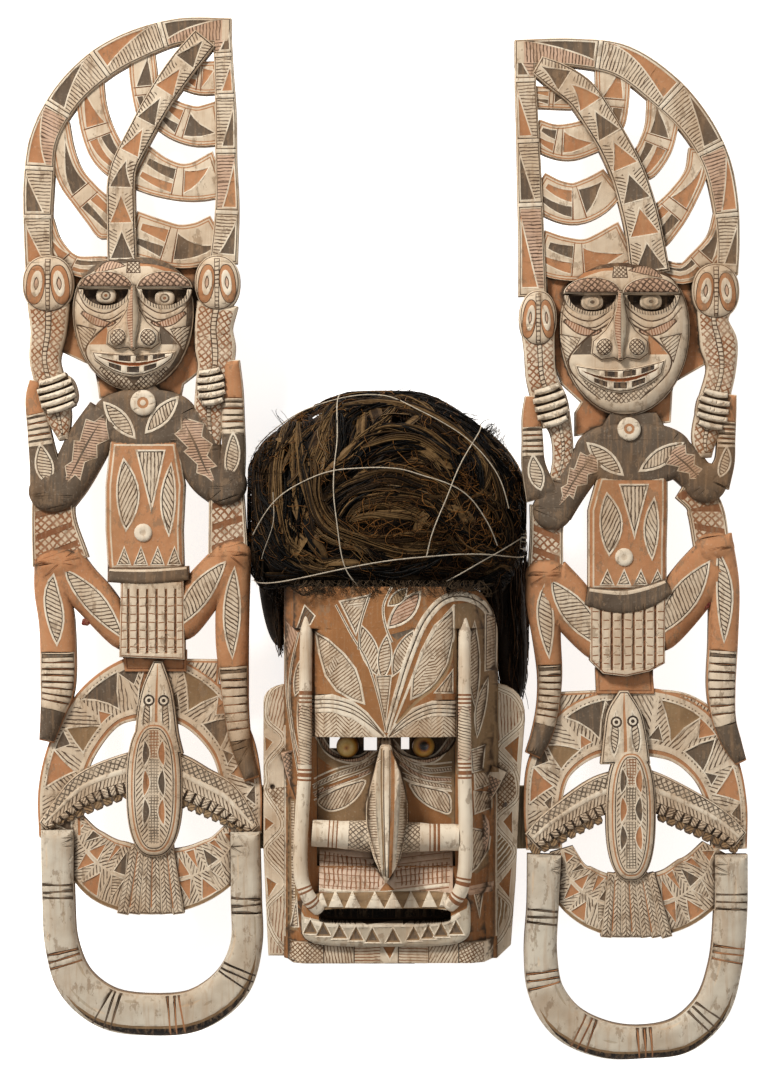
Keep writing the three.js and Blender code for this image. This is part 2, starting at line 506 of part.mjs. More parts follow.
// The carved face block: trough-shaped, hollow behind, with flat flanges for the ear boards
function faceBlock() {
  const topZ = blockFront;
  const body = alongY(vectors([
    [-91, 0], [-93, 86], [-80, topZ - 12], [-68, topZ], [70, topZ], [82, topZ - 12], [104, 86],
    [100, 0]]), chinEnd, crownEnd);
  const crownRound = new THREE.Shape();
  crownRound.moveTo(-150, chinEnd - 5);
  crownRound.lineTo(150, chinEnd - 5);
  crownRound.lineTo(150, -105);
  crownRound.quadraticCurveTo(112, -84, 100, -66);
  crownRound.quadraticCurveTo(88, -40, 60, -38);
  crownRound.lineTo(-86, -38);
  crownRound.lineTo(-150, -60);
  const rounded = body.intersect(slab(crownRound.getPoints(3), -1, 200));

  const forehead = alongY(vectors([
    [-64, topZ - 14], [-63, foreheadFront - 7], [-50, foreheadFront], [-3, foreheadFront + 3],
    [52, foreheadFront], [65, foreheadFront - 7], [66, topZ - 14]]), -182, crownEnd);
  const crown = alongY(vectors([
    [-84, topZ - 20], [-76, foreheadFront - 14], [-60, foreheadFront - 4], [62, foreheadFront - 4],
    [78, foreheadFront - 14], [90, topZ - 20]]), -84, crownEnd);

  const outlineFlange = new THREE.Shape();
  outlineFlange.moveTo(...[-107.5, -386.5]);
  outlineFlange.lineTo(...[103, -389]);
  outlineFlange.lineTo(...[116, -376.5]);
  outlineFlange.lineTo(...[120.5, -316.5]);
  outlineFlange.lineTo(...[124, -231]);
  outlineFlange.lineTo(...[129, -169.5]);
  outlineFlange.quadraticCurveTo(...[130.5, -140], ...[104, -136]);
  outlineFlange.lineTo(...[-87.5, -136]);
  outlineFlange.quadraticCurveTo(...[-112, -138], ...[-112, -152.5]);
  outlineFlange.lineTo(...[-112, -289]);
  const flange = raised(outlineFlange.getPoints(4), flangeFront, 2, flangeBack)
    .subtract(box(-200, 200, -420, 0, 0, flangeBack));

  // Mouth: an upper lip that leans out, a toothed ring round a slot, and the chin band
  const upperLip = alongX(vectors([
    [-286, 100], [-286, cheekFront + 2], [-318, mouthFront - 4], [-330, mouthFront - 2],
    [-330, 100]]), -60, 62);
  const lips = raised(ovalOutline(...[1, -347], 77, 25.5, 24, 0, 4.5), mouthFront, 4, 110);
  const lipsTrim = box(-120, 120, -400, -250, 60, 108);
  const chin = alongY(vectors([
    [-90, 90], [-84, mouthFront - 16], [-74, mouthFront - 7], [78, mouthFront - 7],
    [90, mouthFront - 16], [100, 90]]), chinEnd, -369);

  // Nose: a long spindle with a ridge that rises to a free tip over the lip
  const nosePlan = slab(vectors([
    [1, -313], [14, -291.5], [21, -266], [21, -243], [14, -213.5], [4.5, -189.5], [-4.5, -189.5],
    [-10, -213.5], [-17.5, -243], [-17.5, -268.5], [-10, -291.5]]), 90, 200);
  const noseSide = alongX(vectors([
    [-180, 100], [-180, foreheadFront + 1], [-240, noseTipFront - 8], [-298, noseTipFront],
    [-315, noseTipFront - 12], [-300, 128], [-280, 100]]), -40, 40);
  const noseRoof = alongY(vectors([
    [-22, 90], [-22, 136], [-12, 160], [1.5, 186], [15, 160], [24, 136], [24, 90]]), -330, -170);
  const nose = nosePlan.intersect(noseSide).intersect(noseRoof);

  // The bar through the nose, thinner toward the two rods that it meets
  const barHalf = 66;
  const barProfile = [
    [0, -barHalf], [noseBarEndRadius, -barHalf], [noseBarEndRadius + 1, -42],
    [noseBarMidRadius, -18], [noseBarMidRadius, 18], [noseBarEndRadius + 1, 42],
    [noseBarEndRadius, barHalf], [0, barHalf]];
  const barGeometry = new THREE.LatheGeometry(vectors(barProfile), 10);
  barGeometry.rotateZ(Math.PI / 2);
  barGeometry.translate(0.5, noseBarLine, noseBarHeight);
  const bar = toSolid(barGeometry);

  // The two free rods in front of the cheeks, turned in at the foot to the mouth corners
  const rods = [
    [[-71, -70], [-72.5, -206], [-75.5, -309], [-68, -328.5], [-59, -339.5]],
    [[72, -70], [72, -206], [72, -305.5], [67, -324], [57, -336.5]],
  ].map((stops) => {
    const path = new THREE.CatmullRomCurve3(stops.map(([x, y], i) => (
      new THREE.Vector3(x, y, rodHeight - [3, 0, 0, 1, 6][i]))), false, 'centripetal');
    const section = new THREE.Shape();
    section.absarc(0, 0, rodRadius, 0, Math.PI * 2, false);
    return toSolid(new THREE.ExtrudeGeometry(new THREE.Shape(section.getPoints(4)), {
      steps: 9, extrudePath: path, bevelEnabled: false,
    }));
  });

  // The animals that bite into the block on either side: an upper and a lower jaw
  const jaws = [
    [[-89, -197, 14], [-83.5, -217, 14.5], [-77.5, -239, 10]],
    [[91, -243, 9], [96.5, -232, 13], [105, -213.5, 15.5]],
    [[80, -254, 13], [87.5, -263, 15.5], [87.5, -281.5, 14], [82, -300, 7.5]],
  ].map((jaw, i) => raised(bandOutline(jaw, 4), flangeFront + [20, 14, 22][i], 3, flangeBack + 4)
    .subtract(box(-200, 200, -420, 0, 0, flangeBack + 4)));

  let block = joined([rounded, forehead, crown, flange]);

  // The cheeks lie back between the rods, under a brow with a straight lower edge
  block = block.subtract(box(-62, 64, -300, -182, cheekFront, 220));
  block = block.subtract(box(-120, -62, -340, -96, rodHeight - 16, 220));
  block = block.subtract(box(64, 120, -340, -96, rodHeight - 16, 220));
  block = joined([block, upperLip, lips.subtract(lipsTrim), chin, nose, bar, ...rods, ...jaws]);

  // The hollow behind, open at the back and toward the wig
  const hollow = alongY(vectors([
    [-79, -5], [-80, 66], [-60, 106], [66, 106], [90, 66], [87, -5]]),
  chinEnd + chinWall, crownEnd + 10);
  block = block.subtract(hollow);

  // Eye sockets under the brow, with the openings beside each eye
  [[[-34, -184], 27, -1], [[34, -184], 31, 1]].forEach(([[x, y], half]) => {
    const socket = [];
    for (let k = 0; k <= 8; k += 1) {
      const angle = Math.PI * k / 8;
      socket.push(new THREE.Vector2(x - Math.cos(angle) * half, y + 2 - Math.sin(angle) * 21.5));
    }
    block = block.subtract(slab(socket, cheekFront - 9, foreheadFront - 4));
  });
  eyeOpenings.forEach(([left, right, low]) => {
    block = block.subtract(box(left, right, low, browEdge, 60, 160));
  });
  const mouthSlot = ovalOutline(...[0, -345.5], 58, 6.5, 16, 0, 5);
  block = block.subtract(slab(mouthSlot, mouthFront - 46, mouthFront + 20));

  // Teeth: small wedges above and below the slot
  const teeth = [];
  for (let i = 0; i < 8; i += 1) {
    const x = -50 + i * 14.6;
    teeth.push(slab(vectors([[x - 5, -338], [x + 5, -338], [x, -325]]), mouthFront - 3, mouthFront + 2));
  }
  for (let i = 0; i < 9; i += 1) {
    const x = -56 + i * 14.2;
    teeth.push(slab(vectors([[x - 4.5, -355], [x + 4.5, -355], [x, -366]]), mouthFront - 3, mouthFront + 2));
  }
  return joined([block, ...teeth]);
}

function eye([x, y], bulge) {
  const points = [[0, 0], [eyeRadius * 0.9, 0], [eyeRadius, 2.5]];
  for (let k = 1; k <= 4; k += 1) {
    const angle = Math.PI / 2 * k / 4;
    points.push([eyeRadius * Math.cos(angle), 2.5 + bulge * Math.sin(angle)]);
  }
  points[points.length - 1][0] = 0;
  const geometry = new THREE.LatheGeometry(vectors(points), 16);
  geometry.rotateX(Math.PI / 2);
  geometry.translate(x, y, cheekFront - 9 + touchGap);
  return toSolid(geometry);
}

// Ellipsoid with fuller shoulders than a round one
function fullDome(centre, radius, power, around, up) {
  const geometry = new THREE.SphereGeometry(1, around, up);
  const position = geometry.attributes.position;
  for (let i = 0; i < position.count; i += 1) {
    const direction = new THREE.Vector3().fromBufferAttribute(position, i);
    const size = (Math.abs(direction.x) ** power + Math.abs(direction.y) ** power
      + Math.abs(direction.z) ** power) ** (1 / power);
    position.setXYZ(i, centre[0] + direction.x / size * radius[0],
      centre[1] + direction.y / size * radius[1], centre[2] + direction.z / size * radius[2]);
  }
  return toSolid(geometry);
}

function wig() {
  const dome = fullDome(wigCentre, wigRadius, wigFullness, 26, 16);
  const rightLock = raised(ovalOutline(118, -92, 17, 70, 14, 0.03, 2.6), 64, 9, 3);
  const leftLock = raised(ovalOutline(-105, -60, 14, 48, 12, 0.16, 2.3), 62, 6, 3);
  const hair = dome.subtract(box(-300, 300, -300, crownEnd + touchGap + 0.1, -200, 300))
    .add(rightLock).add(leftLock);
  const blockRoom = alongY(vectors([
    [-93.4, -5], [-93.4, 87], [-70, 200], [80, 200], [104.5, 87], [104.5, -5]]), -400,
  crownEnd + touchGap + 0.05);
  const hollow = fullDome(wigHollowCentre, wigHollowRadius, 2.4, 16, 10);
  const boardRoom = box(-300, -122.8, -300, 300, boardBack - 2, 300)
    .add(box(125, 300, -300, 300, boardBack - 2, 300));
  return hair.subtract(box(-300, 300, -300, 300, -300, 0)).subtract(blockRoom).subtract(hollow)
    .subtract(boardRoom);
}

const group = new THREE.Group();
group.add(toMesh(faceBlock(), 'mask', 0xb9a184, 0.8));
group.add(toMesh(eye([-34, -192], 9), 'left_eye', 0xc9a45a, 0.3));
group.add(toMesh(eye([35, -192], 9), 'right_eye', 0xa8783c, 0.3));
group.add(toMesh(wig(), 'fibre_wig', 0x2f2319, 0.95));
group.add(toMesh(earBoard(leftPlan), 'left_ear_board', 0xc2a98c, 0.8));
group.add(toMesh(earBoard(rightPlan), 'right_ear_board', 0xc2a98c, 0.8));

// Plain wood strips behind flange and ear board, one on each side
const battenTop = boardBack - touchGap;
const leftBatten = box(battenReach[0], -93.5, battenLow, battenHigh, battenBack, battenTop);
const rightBatten = box(104.5, battenReach[1], battenLow, battenHigh, battenBack, battenTop);
group.add(toMesh(leftBatten, 'left_batten', 0xb5a27c, 0.85));
group.add(toMesh(rightBatten, 'right_batten', 0xb5a27c, 0.85));

export default group;
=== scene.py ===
"""Looks of a malanggan mask: carved boards, a hollow face, shell eyes and a fibre wig.

Lengths are millimetres in the outlines and metres in the meshes. +X is the viewer's right,
+Y points to the crown and +Z is the way the face looks, with the mask lying on its back.
"""

import logging
import math
import time
from dataclasses import dataclass, field
from enum import Enum
from typing import Callable, Iterable, List, Optional, Sequence, Tuple

import bpy
import numpy as np
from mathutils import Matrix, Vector
from mathutils.geometry import delaunay_2d_cdt

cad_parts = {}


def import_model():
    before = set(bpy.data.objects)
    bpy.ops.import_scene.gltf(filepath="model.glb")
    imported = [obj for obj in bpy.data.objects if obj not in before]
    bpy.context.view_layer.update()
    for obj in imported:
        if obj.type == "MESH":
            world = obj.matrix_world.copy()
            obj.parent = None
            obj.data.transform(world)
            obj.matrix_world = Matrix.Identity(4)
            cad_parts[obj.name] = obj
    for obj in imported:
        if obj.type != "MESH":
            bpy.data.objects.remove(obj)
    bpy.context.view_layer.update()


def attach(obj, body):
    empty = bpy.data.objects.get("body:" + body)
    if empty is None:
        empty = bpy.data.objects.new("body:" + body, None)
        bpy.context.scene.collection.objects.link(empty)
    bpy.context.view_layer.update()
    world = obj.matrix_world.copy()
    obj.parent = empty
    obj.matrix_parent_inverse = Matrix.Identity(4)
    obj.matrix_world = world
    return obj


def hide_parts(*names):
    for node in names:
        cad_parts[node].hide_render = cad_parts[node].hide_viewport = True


log = logging.getLogger("malanggan")

Points = np.ndarray
Station = Tuple[float, float, float]
MM = 0.001


class Paint(Enum):
    """Earth paints and bare grounds, and a near-black for painted shade, as linear red, green and blue."""

    CREAM = (0.68, 0.55, 0.4)
    CHALK = (0.76, 0.65, 0.5)
    OCHRE = (0.47, 0.215, 0.095)
    PINK = (0.59, 0.39, 0.27)
    UMBER = (0.12, 0.085, 0.056)
    INK = (0.04, 0.026, 0.017)
    LINE = (0.085, 0.046, 0.024)
    RUST = (0.25, 0.1, 0.04)
    BARK = (0.16, 0.075, 0.028)
    EARTH = (0.27, 0.168, 0.082)
    RED = (0.5, 0.16, 0.05)
    SIENNA = (0.31, 0.13, 0.042)
    WOOD = (0.36, 0.235, 0.12)
    GREY = (0.5, 0.42, 0.31)
    ASH = (0.62, 0.545, 0.43)
    BLUSH = (0.64, 0.47, 0.345)
    SHADOW = (0.02, 0.014, 0.01)


class Build(Enum):
    """How a form changes the surface of its board."""

    RAISED = "raised"
    SUNK = "sunk"


@dataclass(frozen=True)
class Hatch:
    """Fine parallel brush lines inside a motif.

    Args:
        angle: direction of the lines in degrees, 0 along X.
        spacing: distance between lines in millimetres.
        crossed: whether a second set crosses the first.
        ink: paint of the lines.
    """

    angle: float = 0.0
    spacing: float = 3.0
    crossed: bool = False
    ink: Paint = Paint.LINE


@dataclass
class Motif:
    """A painted and lightly cut area: outline, paint, lines and relief in millimetres."""

    outline: Points
    paint: Paint
    hatch: Optional[Hatch] = None
    lift: float = 0.0


@dataclass
class Form:
    """One carved form of a board, higher or lower than what lies round it.

    Args:
        outline: closed outline in the plane of the board.
        front: height of its front above the ground that the mask lies on.
        drop: how far the front falls at the rim.
        reach: how far in from the rim the rounding goes.
        paint: ground paint.
        build: raised or sunk.
        motifs: painted areas that lie on this form only.
        shape: front height at given x and y, for fronts that are not level.
    """

    outline: Points
    front: float
    drop: float = 2.5
    reach: float = 3.0
    paint: Paint = Paint.CREAM
    build: Build = Build.RAISED
    motifs: List[Motif] = field(default_factory=list)
    shape: Optional[Callable[[Points, Points], Points]] = None

    def add(self, *more: Iterable[Motif]) -> "Form":
        """Lays further motifs over the form and returns it.

        Args:
            more: motifs, alone or in groups.

        Returns:
            The form itself.
        """
        for group in more:
            self.motifs.extend([group] if isinstance(group, Motif) else list(group))
        return self


def drift(x: Points, y: Points, size: float, seed: float) -> Points:
    """Slow uneven wave over the plane, between about -1 and 1.

    Args:
        x: first coordinates.
        y: second coordinates.
        size: length of a wave in the same unit.
        seed: shifts the pattern.

    Returns:
        One value for each point.
    """
    k = 2.0 * math.pi / size
    a = np.sin(k * (x + 0.31 * y) + 1.7 * seed)
    b = np.sin(k * (0.83 * y - 0.42 * x) * 1.31 + 2.9 * seed + 1.3 * a)
    c = np.sin(k * (0.57 * x + 0.71 * y) * 2.17 + 0.7 * seed + 1.1 * b)
    return (a + b + 0.6 * c) / 2.6


def inset(outline: Points, distance: float) -> Points:
    """Moves a closed outline inwards by a distance, corners included.

    Args:
        outline: closed outline, one point in each row.
        distance: how far every side moves, in millimetres.

    Returns:
        The moved outline, with as many points.
    """
    area = np.sum(outline[:, 0] * np.roll(outline[:, 1], -1) - outline[:, 1] * np.roll(outline[:, 0], -1))
    sign = 1.0 if area > 0 else -1.0
    ahead = np.roll(outline, -1, 0) - outline
    ahead /= np.maximum(np.linalg.norm(ahead, axis=1, keepdims=True), 1e-6)
    behind = np.roll(ahead, 1, 0)
    n1 = np.stack([-ahead[:, 1], ahead[:, 0]], 1) * sign
    n0 = np.stack([-behind[:, 1], behind[:, 0]], 1) * sign
    share = np.maximum(1.0 + np.sum(n0 * n1, axis=1, keepdims=True), 0.35)
    return outline + (n0 + n1) / share * distance


def crossed(places: Points, starts: Points, ends: Points) -> Points:
    """Whether each place lies inside closed outlines given by their edges, counted by crossings.

    Args:
        places: places to test, one row each.
        starts: first point of every edge.
        ends: last point of every edge.

    Returns:
        True for each place that lies inside.
    """
    rise = np.where(ends[:, 1] == starts[:, 1], 1e-9, ends[:, 1] - starts[:, 1])
    out = np.zeros(len(places), bool)
    for first in range(0, len(places), 1500):
        p = places[first:first + 1500]
        crosses = (starts[:, 1] > p[:, 1:]) != (ends[:, 1] > p[:, 1:])
        at = starts[:, 0] + (p[:, 1:] - starts[:, 1]) * (ends[:, 0] - starts[:, 0]) / rise
        out[first:first + 1500] = np.sum(crosses & (p[:, :1] < at), axis=1) % 2 == 1
    return out


def depth_inside(points: Points, outline: Points) -> Points:
    """Distance of each point to the outline, negative outside it.

    Args:
        points: places to measure, one row each.
        outline: closed outline.

    Returns:
        Signed distances in the outline's own unit.
    """
    result = np.full(len(points), -1e3)
    low, high = outline.min(0) - 3.0, outline.max(0) + 3.0
    near = np.nonzero(np.all((points >= low) & (points <= high), axis=1))[0]
    a = outline
    b = np.roll(outline, -1, 0)
    edge = b - a
    size = np.maximum(np.sum(edge * edge, axis=1), 1e-9)
    step = max(1, int(3e6 / len(a)))
    for start in range(0, len(near), step):
        part = near[start:start + step]
        p = points[part][:, None, :]
        along = np.clip(np.sum((p - a) * edge, axis=2) / size, 0.0, 1.0)
        gap = p - (a + along[..., None] * edge)
        dist = np.sqrt(np.min(np.sum(gap * gap, axis=2), axis=1))
        py = p[..., 1]
        crosses = (a[:, 1] > py) != (b[:, 1] > py)
        with np.errstate(divide="ignore", invalid="ignore"):
            at = a[:, 0] + (py - a[:, 1]) * edge[:, 0] / np.where(edge[:, 1] == 0, 1e-9, edge[:, 1])
        inside = np.sum(crosses & (p[..., 0] < at), axis=1) % 2 == 1
        result[part] = np.where(inside, dist, -dist)
    return result


def smooth_path(stations: Sequence[Sequence[float]], count: int) -> Points:
    """Points on a smooth curve through the stations, each value of a station carried along.

    Args:
        stations: places with any number of values each.
        count: number of steps along the curve.

    Returns:
        Points, one row each, with as many values as a station has.
    """
    p = np.asarray(stations, float)
    p = np.vstack([2 * p[0] - p[1], p, 2 * p[-1] - p[-2]])
    out = []
    for k in range(count + 1):
        place = k / count * (len(p) - 3)
        i = min(int(place), len(p) - 4)
        w = place - i
        p0, p1, p2, p3 = p[i], p[i + 1], p[i + 2], p[i + 3]
        d0, d1, d2 = (max(float(np.linalg.norm(v)), 1e-4) ** 0.5 for v in (p1 - p0, p2 - p1, p3 - p2))
        m1 = ((p1 - p0) / d0 - (p2 - p0) / (d0 + d1) + (p2 - p1) / d1) * d1
        m2 = ((p2 - p1) / d1 - (p3 - p1) / (d1 + d2) + (p3 - p2) / d2) * d1
        c0, c1 = p1, m1
        c2 = -3 * p1 + 3 * p2 - 2 * m1 - m2
        c3 = 2 * p1 - 2 * p2 + m1 + m2
        out.append(c0 + c1 * w + c2 * w * w + c3 * w ** 3)
    return np.array(out)


@dataclass
class Band:
    """A strip that follows [x, y, width] stations; places on it are (along, across).

    Args:
        stations: middle places in millimetres, each with the width there.
        last: number of the last of the even samples along the strip.
    """

    stations: Sequence[Sequence[float]]
    last: int = 159

    def __post_init__(self) -> None:
        """Samples the middle line densely and evenly."""
        raw = smooth_path(self.stations, 24 * (len(self.stations) - 1))
        run = np.concatenate([[0.0], np.cumsum(np.linalg.norm(np.diff(raw[:, :2], axis=0), axis=1))])
        self.length = float(run[-1])
        even = np.linspace(0.0, self.length, self.last + 1)
        self.middle = np.stack([np.interp(even, run, raw[:, i]) for i in range(3)], 1)
        ahead = np.gradient(self.middle[:, :2], axis=0)
        ahead /= np.linalg.norm(ahead, axis=1, keepdims=True)
        self.side = np.stack([ahead[:, 1], -ahead[:, 0]], 1)

    def at(self, along: float, across: float) -> Points:
        """The place at a share of the length, and of the half width to the right.

        Args:
            along: share of the length.
            across: share of the half width, positive to the right.

        Returns:
            The place in millimetres.
        """
        place = along * self.last
        i = int(np.clip(place, 0, self.last - 1))
        w = place - i
        mid = self.middle[i] * (1 - w) + self.middle[i + 1] * w
        side = self.side[i] * (1 - np.clip(w, 0, 1)) + self.side[i + 1] * np.clip(w, 0, 1)
        return mid[:2] + side * across * mid[2] / 2

    def heading(self, along: float) -> float:
        """Direction of the middle line in degrees at a share of the length."""
        i = int(np.clip(along * self.last, 0, self.last))
        return math.degrees(math.atan2(self.side[i][0], -self.side[i][1]))

    def width(self, along: float) -> float:
        """Width in millimetres at a share of the length."""
        return float(self.middle[int(np.clip(along * self.last, 0, self.last))][2])

    def share(self, x: float, y: float) -> float:
        """Share of the length that lies nearest to a place."""
        gap = self.middle[:, :2] - np.array([x, y])
        return float(np.argmin(np.sum(gap * gap, axis=1))) / self.last

    def area(self, corners: Sequence[Sequence[float]], step: float = 6.0) -> Points:
        """A closed outline through (along, across) corners, following the curve between them.

        Args:
            corners: corners as shares of the length and of the half width.
            step: distance between points.

        Returns:
            The outline, one point in each row.
        """
        out = []
        for (a0, c0), (a1, c1) in zip(corners, list(corners[1:]) + [corners[0]]):
            count = max(1, int(abs(a1 - a0) * self.length / step))
            for k in range(count):
                w = k / count
                out.append(self.at(a0 + (a1 - a0) * w, c0 + (c1 - c0) * w))
        return np.array(out)

    def strip(self, start: float, end: float, low: float, high: float) -> Points:
        """The part of the band between two shares of its length and of its half width."""
        return self.area([(start, low), (end, low), (end, high), (start, high)])

    def leaf(self, start: float, end: float, middle: float, half: float, count: int = 9) -> Points:
        """A pointed leaf along the band.

        Args:
            start: share of the length at one tip.
            end: share of the length at the other tip.
            middle: share of the half width on which it lies.
            half: its half width as a share of the strip's.
            count: points along each side.

        Returns:
            The outline, one point in each row.
        """
        out = []
        for side in (1, -1):
            for k in range(count):
                w = k / count if side == 1 else 1 - k / count
                swell = math.sin(math.pi * w) ** 0.8 * half
                out.append(self.at(start + (end - start) * w, middle + side * swell))
        return np.array(out)

    def outline(self, step: float = 4.0) -> Points:
        """The whole band, with square ends."""
        return self.area([(0, -1), (1, -1), (1, 1), (0, 1)], step)


def oval(x: float, y: float, wide: float, high: float, tilt: float = 0.0, power: float = 2.0,
         count: int = 0) -> Points:
    """Closed oval, squarer as the power rises; tilt is in radians.

    Args:
        x: x of the middle.
        y: y of the middle.
        wide: half width.
        high: half height.
        tilt: turn in radians.
        power: roundness of the corners, 2 for an ellipse.
        count: number of points, or 0 to take it from the size.

    Returns:
        The outline, one point in each row.
    """
    count = count or max(12, int(math.pi * (wide + high) / 3.5))
    a = (np.arange(count) + 0.5) / count * 2 * math.pi
    u = np.sign(np.cos(a)) * np.abs(np.cos(a)) ** (2 / power) * wide
    v = np.sign(np.sin(a)) * np.abs(np.sin(a)) ** (2 / power) * high
    return np.stack([x + u * math.cos(tilt) - v * math.sin(tilt),
                     y + u * math.sin(tilt) + v * math.cos(tilt)], 1)


def polygon(*corners: Sequence[float]) -> Points:
    """Closed outline through corners, its long sides divided.

    Args:
        corners: corners in order.

    Returns:
        The outline, one point in each row.
    """
    out = []
    for a, b in zip(corners, corners[1:] + corners[:1]):
        a, b = np.array(a[:2], float), np.array(b[:2], float)
        count = max(1, int(np.linalg.norm(b - a) / 7.0))
        out.extend(a + (b - a) * k / count for k in range(count))
    return np.array(out)


def softened(*corners: Sequence[float]) -> Points:
    """Closed outline near its corners, which are cut twice to a curve.

    Args:
        corners: corners in order.

    Returns:
        The outline, one point in each row.
    """
    outline = np.array([corner[:2] for corner in corners], float)
    for _ in range(2):
        ahead = np.roll(outline, -1, 0)
        outline = np.stack([outline * 0.78 + ahead * 0.22, outline * 0.22 + ahead * 0.78], 1).reshape(-1, 2)
    return outline


def pointed(start: Sequence[float], end: Sequence[float], half: float, bend: float = 0.0,
            count: int = 8) -> Points:
    """A leaf between two points, half as wide at its middle, bent sideways if asked.

    Args:
        start: one tip.
        end: the other tip.
        half: half width at the middle.
        bend: sideways bow in millimetres.
        count: points along each side.

    Returns:
        The outline, one point in each row.
    """
    a, b = np.array(start[:2], float), np.array(end[:2], float)
    along = b - a
    side = np.array([along[1], -along[0]]) / max(float(np.linalg.norm(along)), 1e-6)
    out = []
    for way in (1, -1):
        for k in range(count):
            w = k / count if way == 1 else 1 - k / count
            swell = math.sin(math.pi * w) ** 0.85
            out.append(a + along * w + side * (way * half * swell + bend * math.sin(math.pi * w)))
    return np.array(out)


def line(start: Sequence[float], end: Sequence[float], width: float = 0.9,
         paint: Paint = Paint.INK) -> Motif:
    """A single brush line between two points.

    Args:
        start: one end.
        end: the other end.
        width: width in millimetres.
        paint: paint to use.

    Returns:
        The motif of the line.
    """
    a, b = np.array(start[:2], float), np.array(end[:2], float)
    along = (b - a) / max(float(np.linalg.norm(b - a)), 1e-6)
    side = np.array([along[1], -along[0]]) * width / 2
    return Motif(np.array([a - side, b - side, b + side, a + side]), paint, None, -0.3)


def framed(outline: Points, fill: Paint = Paint.CREAM, hatch: Optional[Hatch] = None,
           border: float = 1.7, edge: float = 0.8, rim: Paint = Paint.CHALK,
           ink: Paint = Paint.INK) -> List[Motif]:
    """A motif with a pale raised rim, a thin dark line inside it and a fill.

    Args:
        outline: outer edge of the rim.
        fill: paint inside the line.
        hatch: lines over the fill.
        border: width of the rim.
        edge: width of the dark line.
        rim: paint of the rim.
        ink: paint of the line.

    Returns:
        The three motifs, outermost first.
    """
    return [
        Motif(outline, rim, None, 0.5),
        Motif(inset(outline, border), ink, None, -0.5),
        Motif(inset(outline, border + edge), fill, hatch, -0.2),
    ]


def edged(outline: Points, fill: Paint, hatch: Optional[Hatch] = None, edge: float = 0.9,
          ink: Paint = Paint.INK, lift: float = -0.3) -> List[Motif]:
    """A motif with only a thin line round it."""
    return [Motif(outline, ink, None, lift - 0.2), Motif(inset(outline, edge), fill, hatch, lift)]


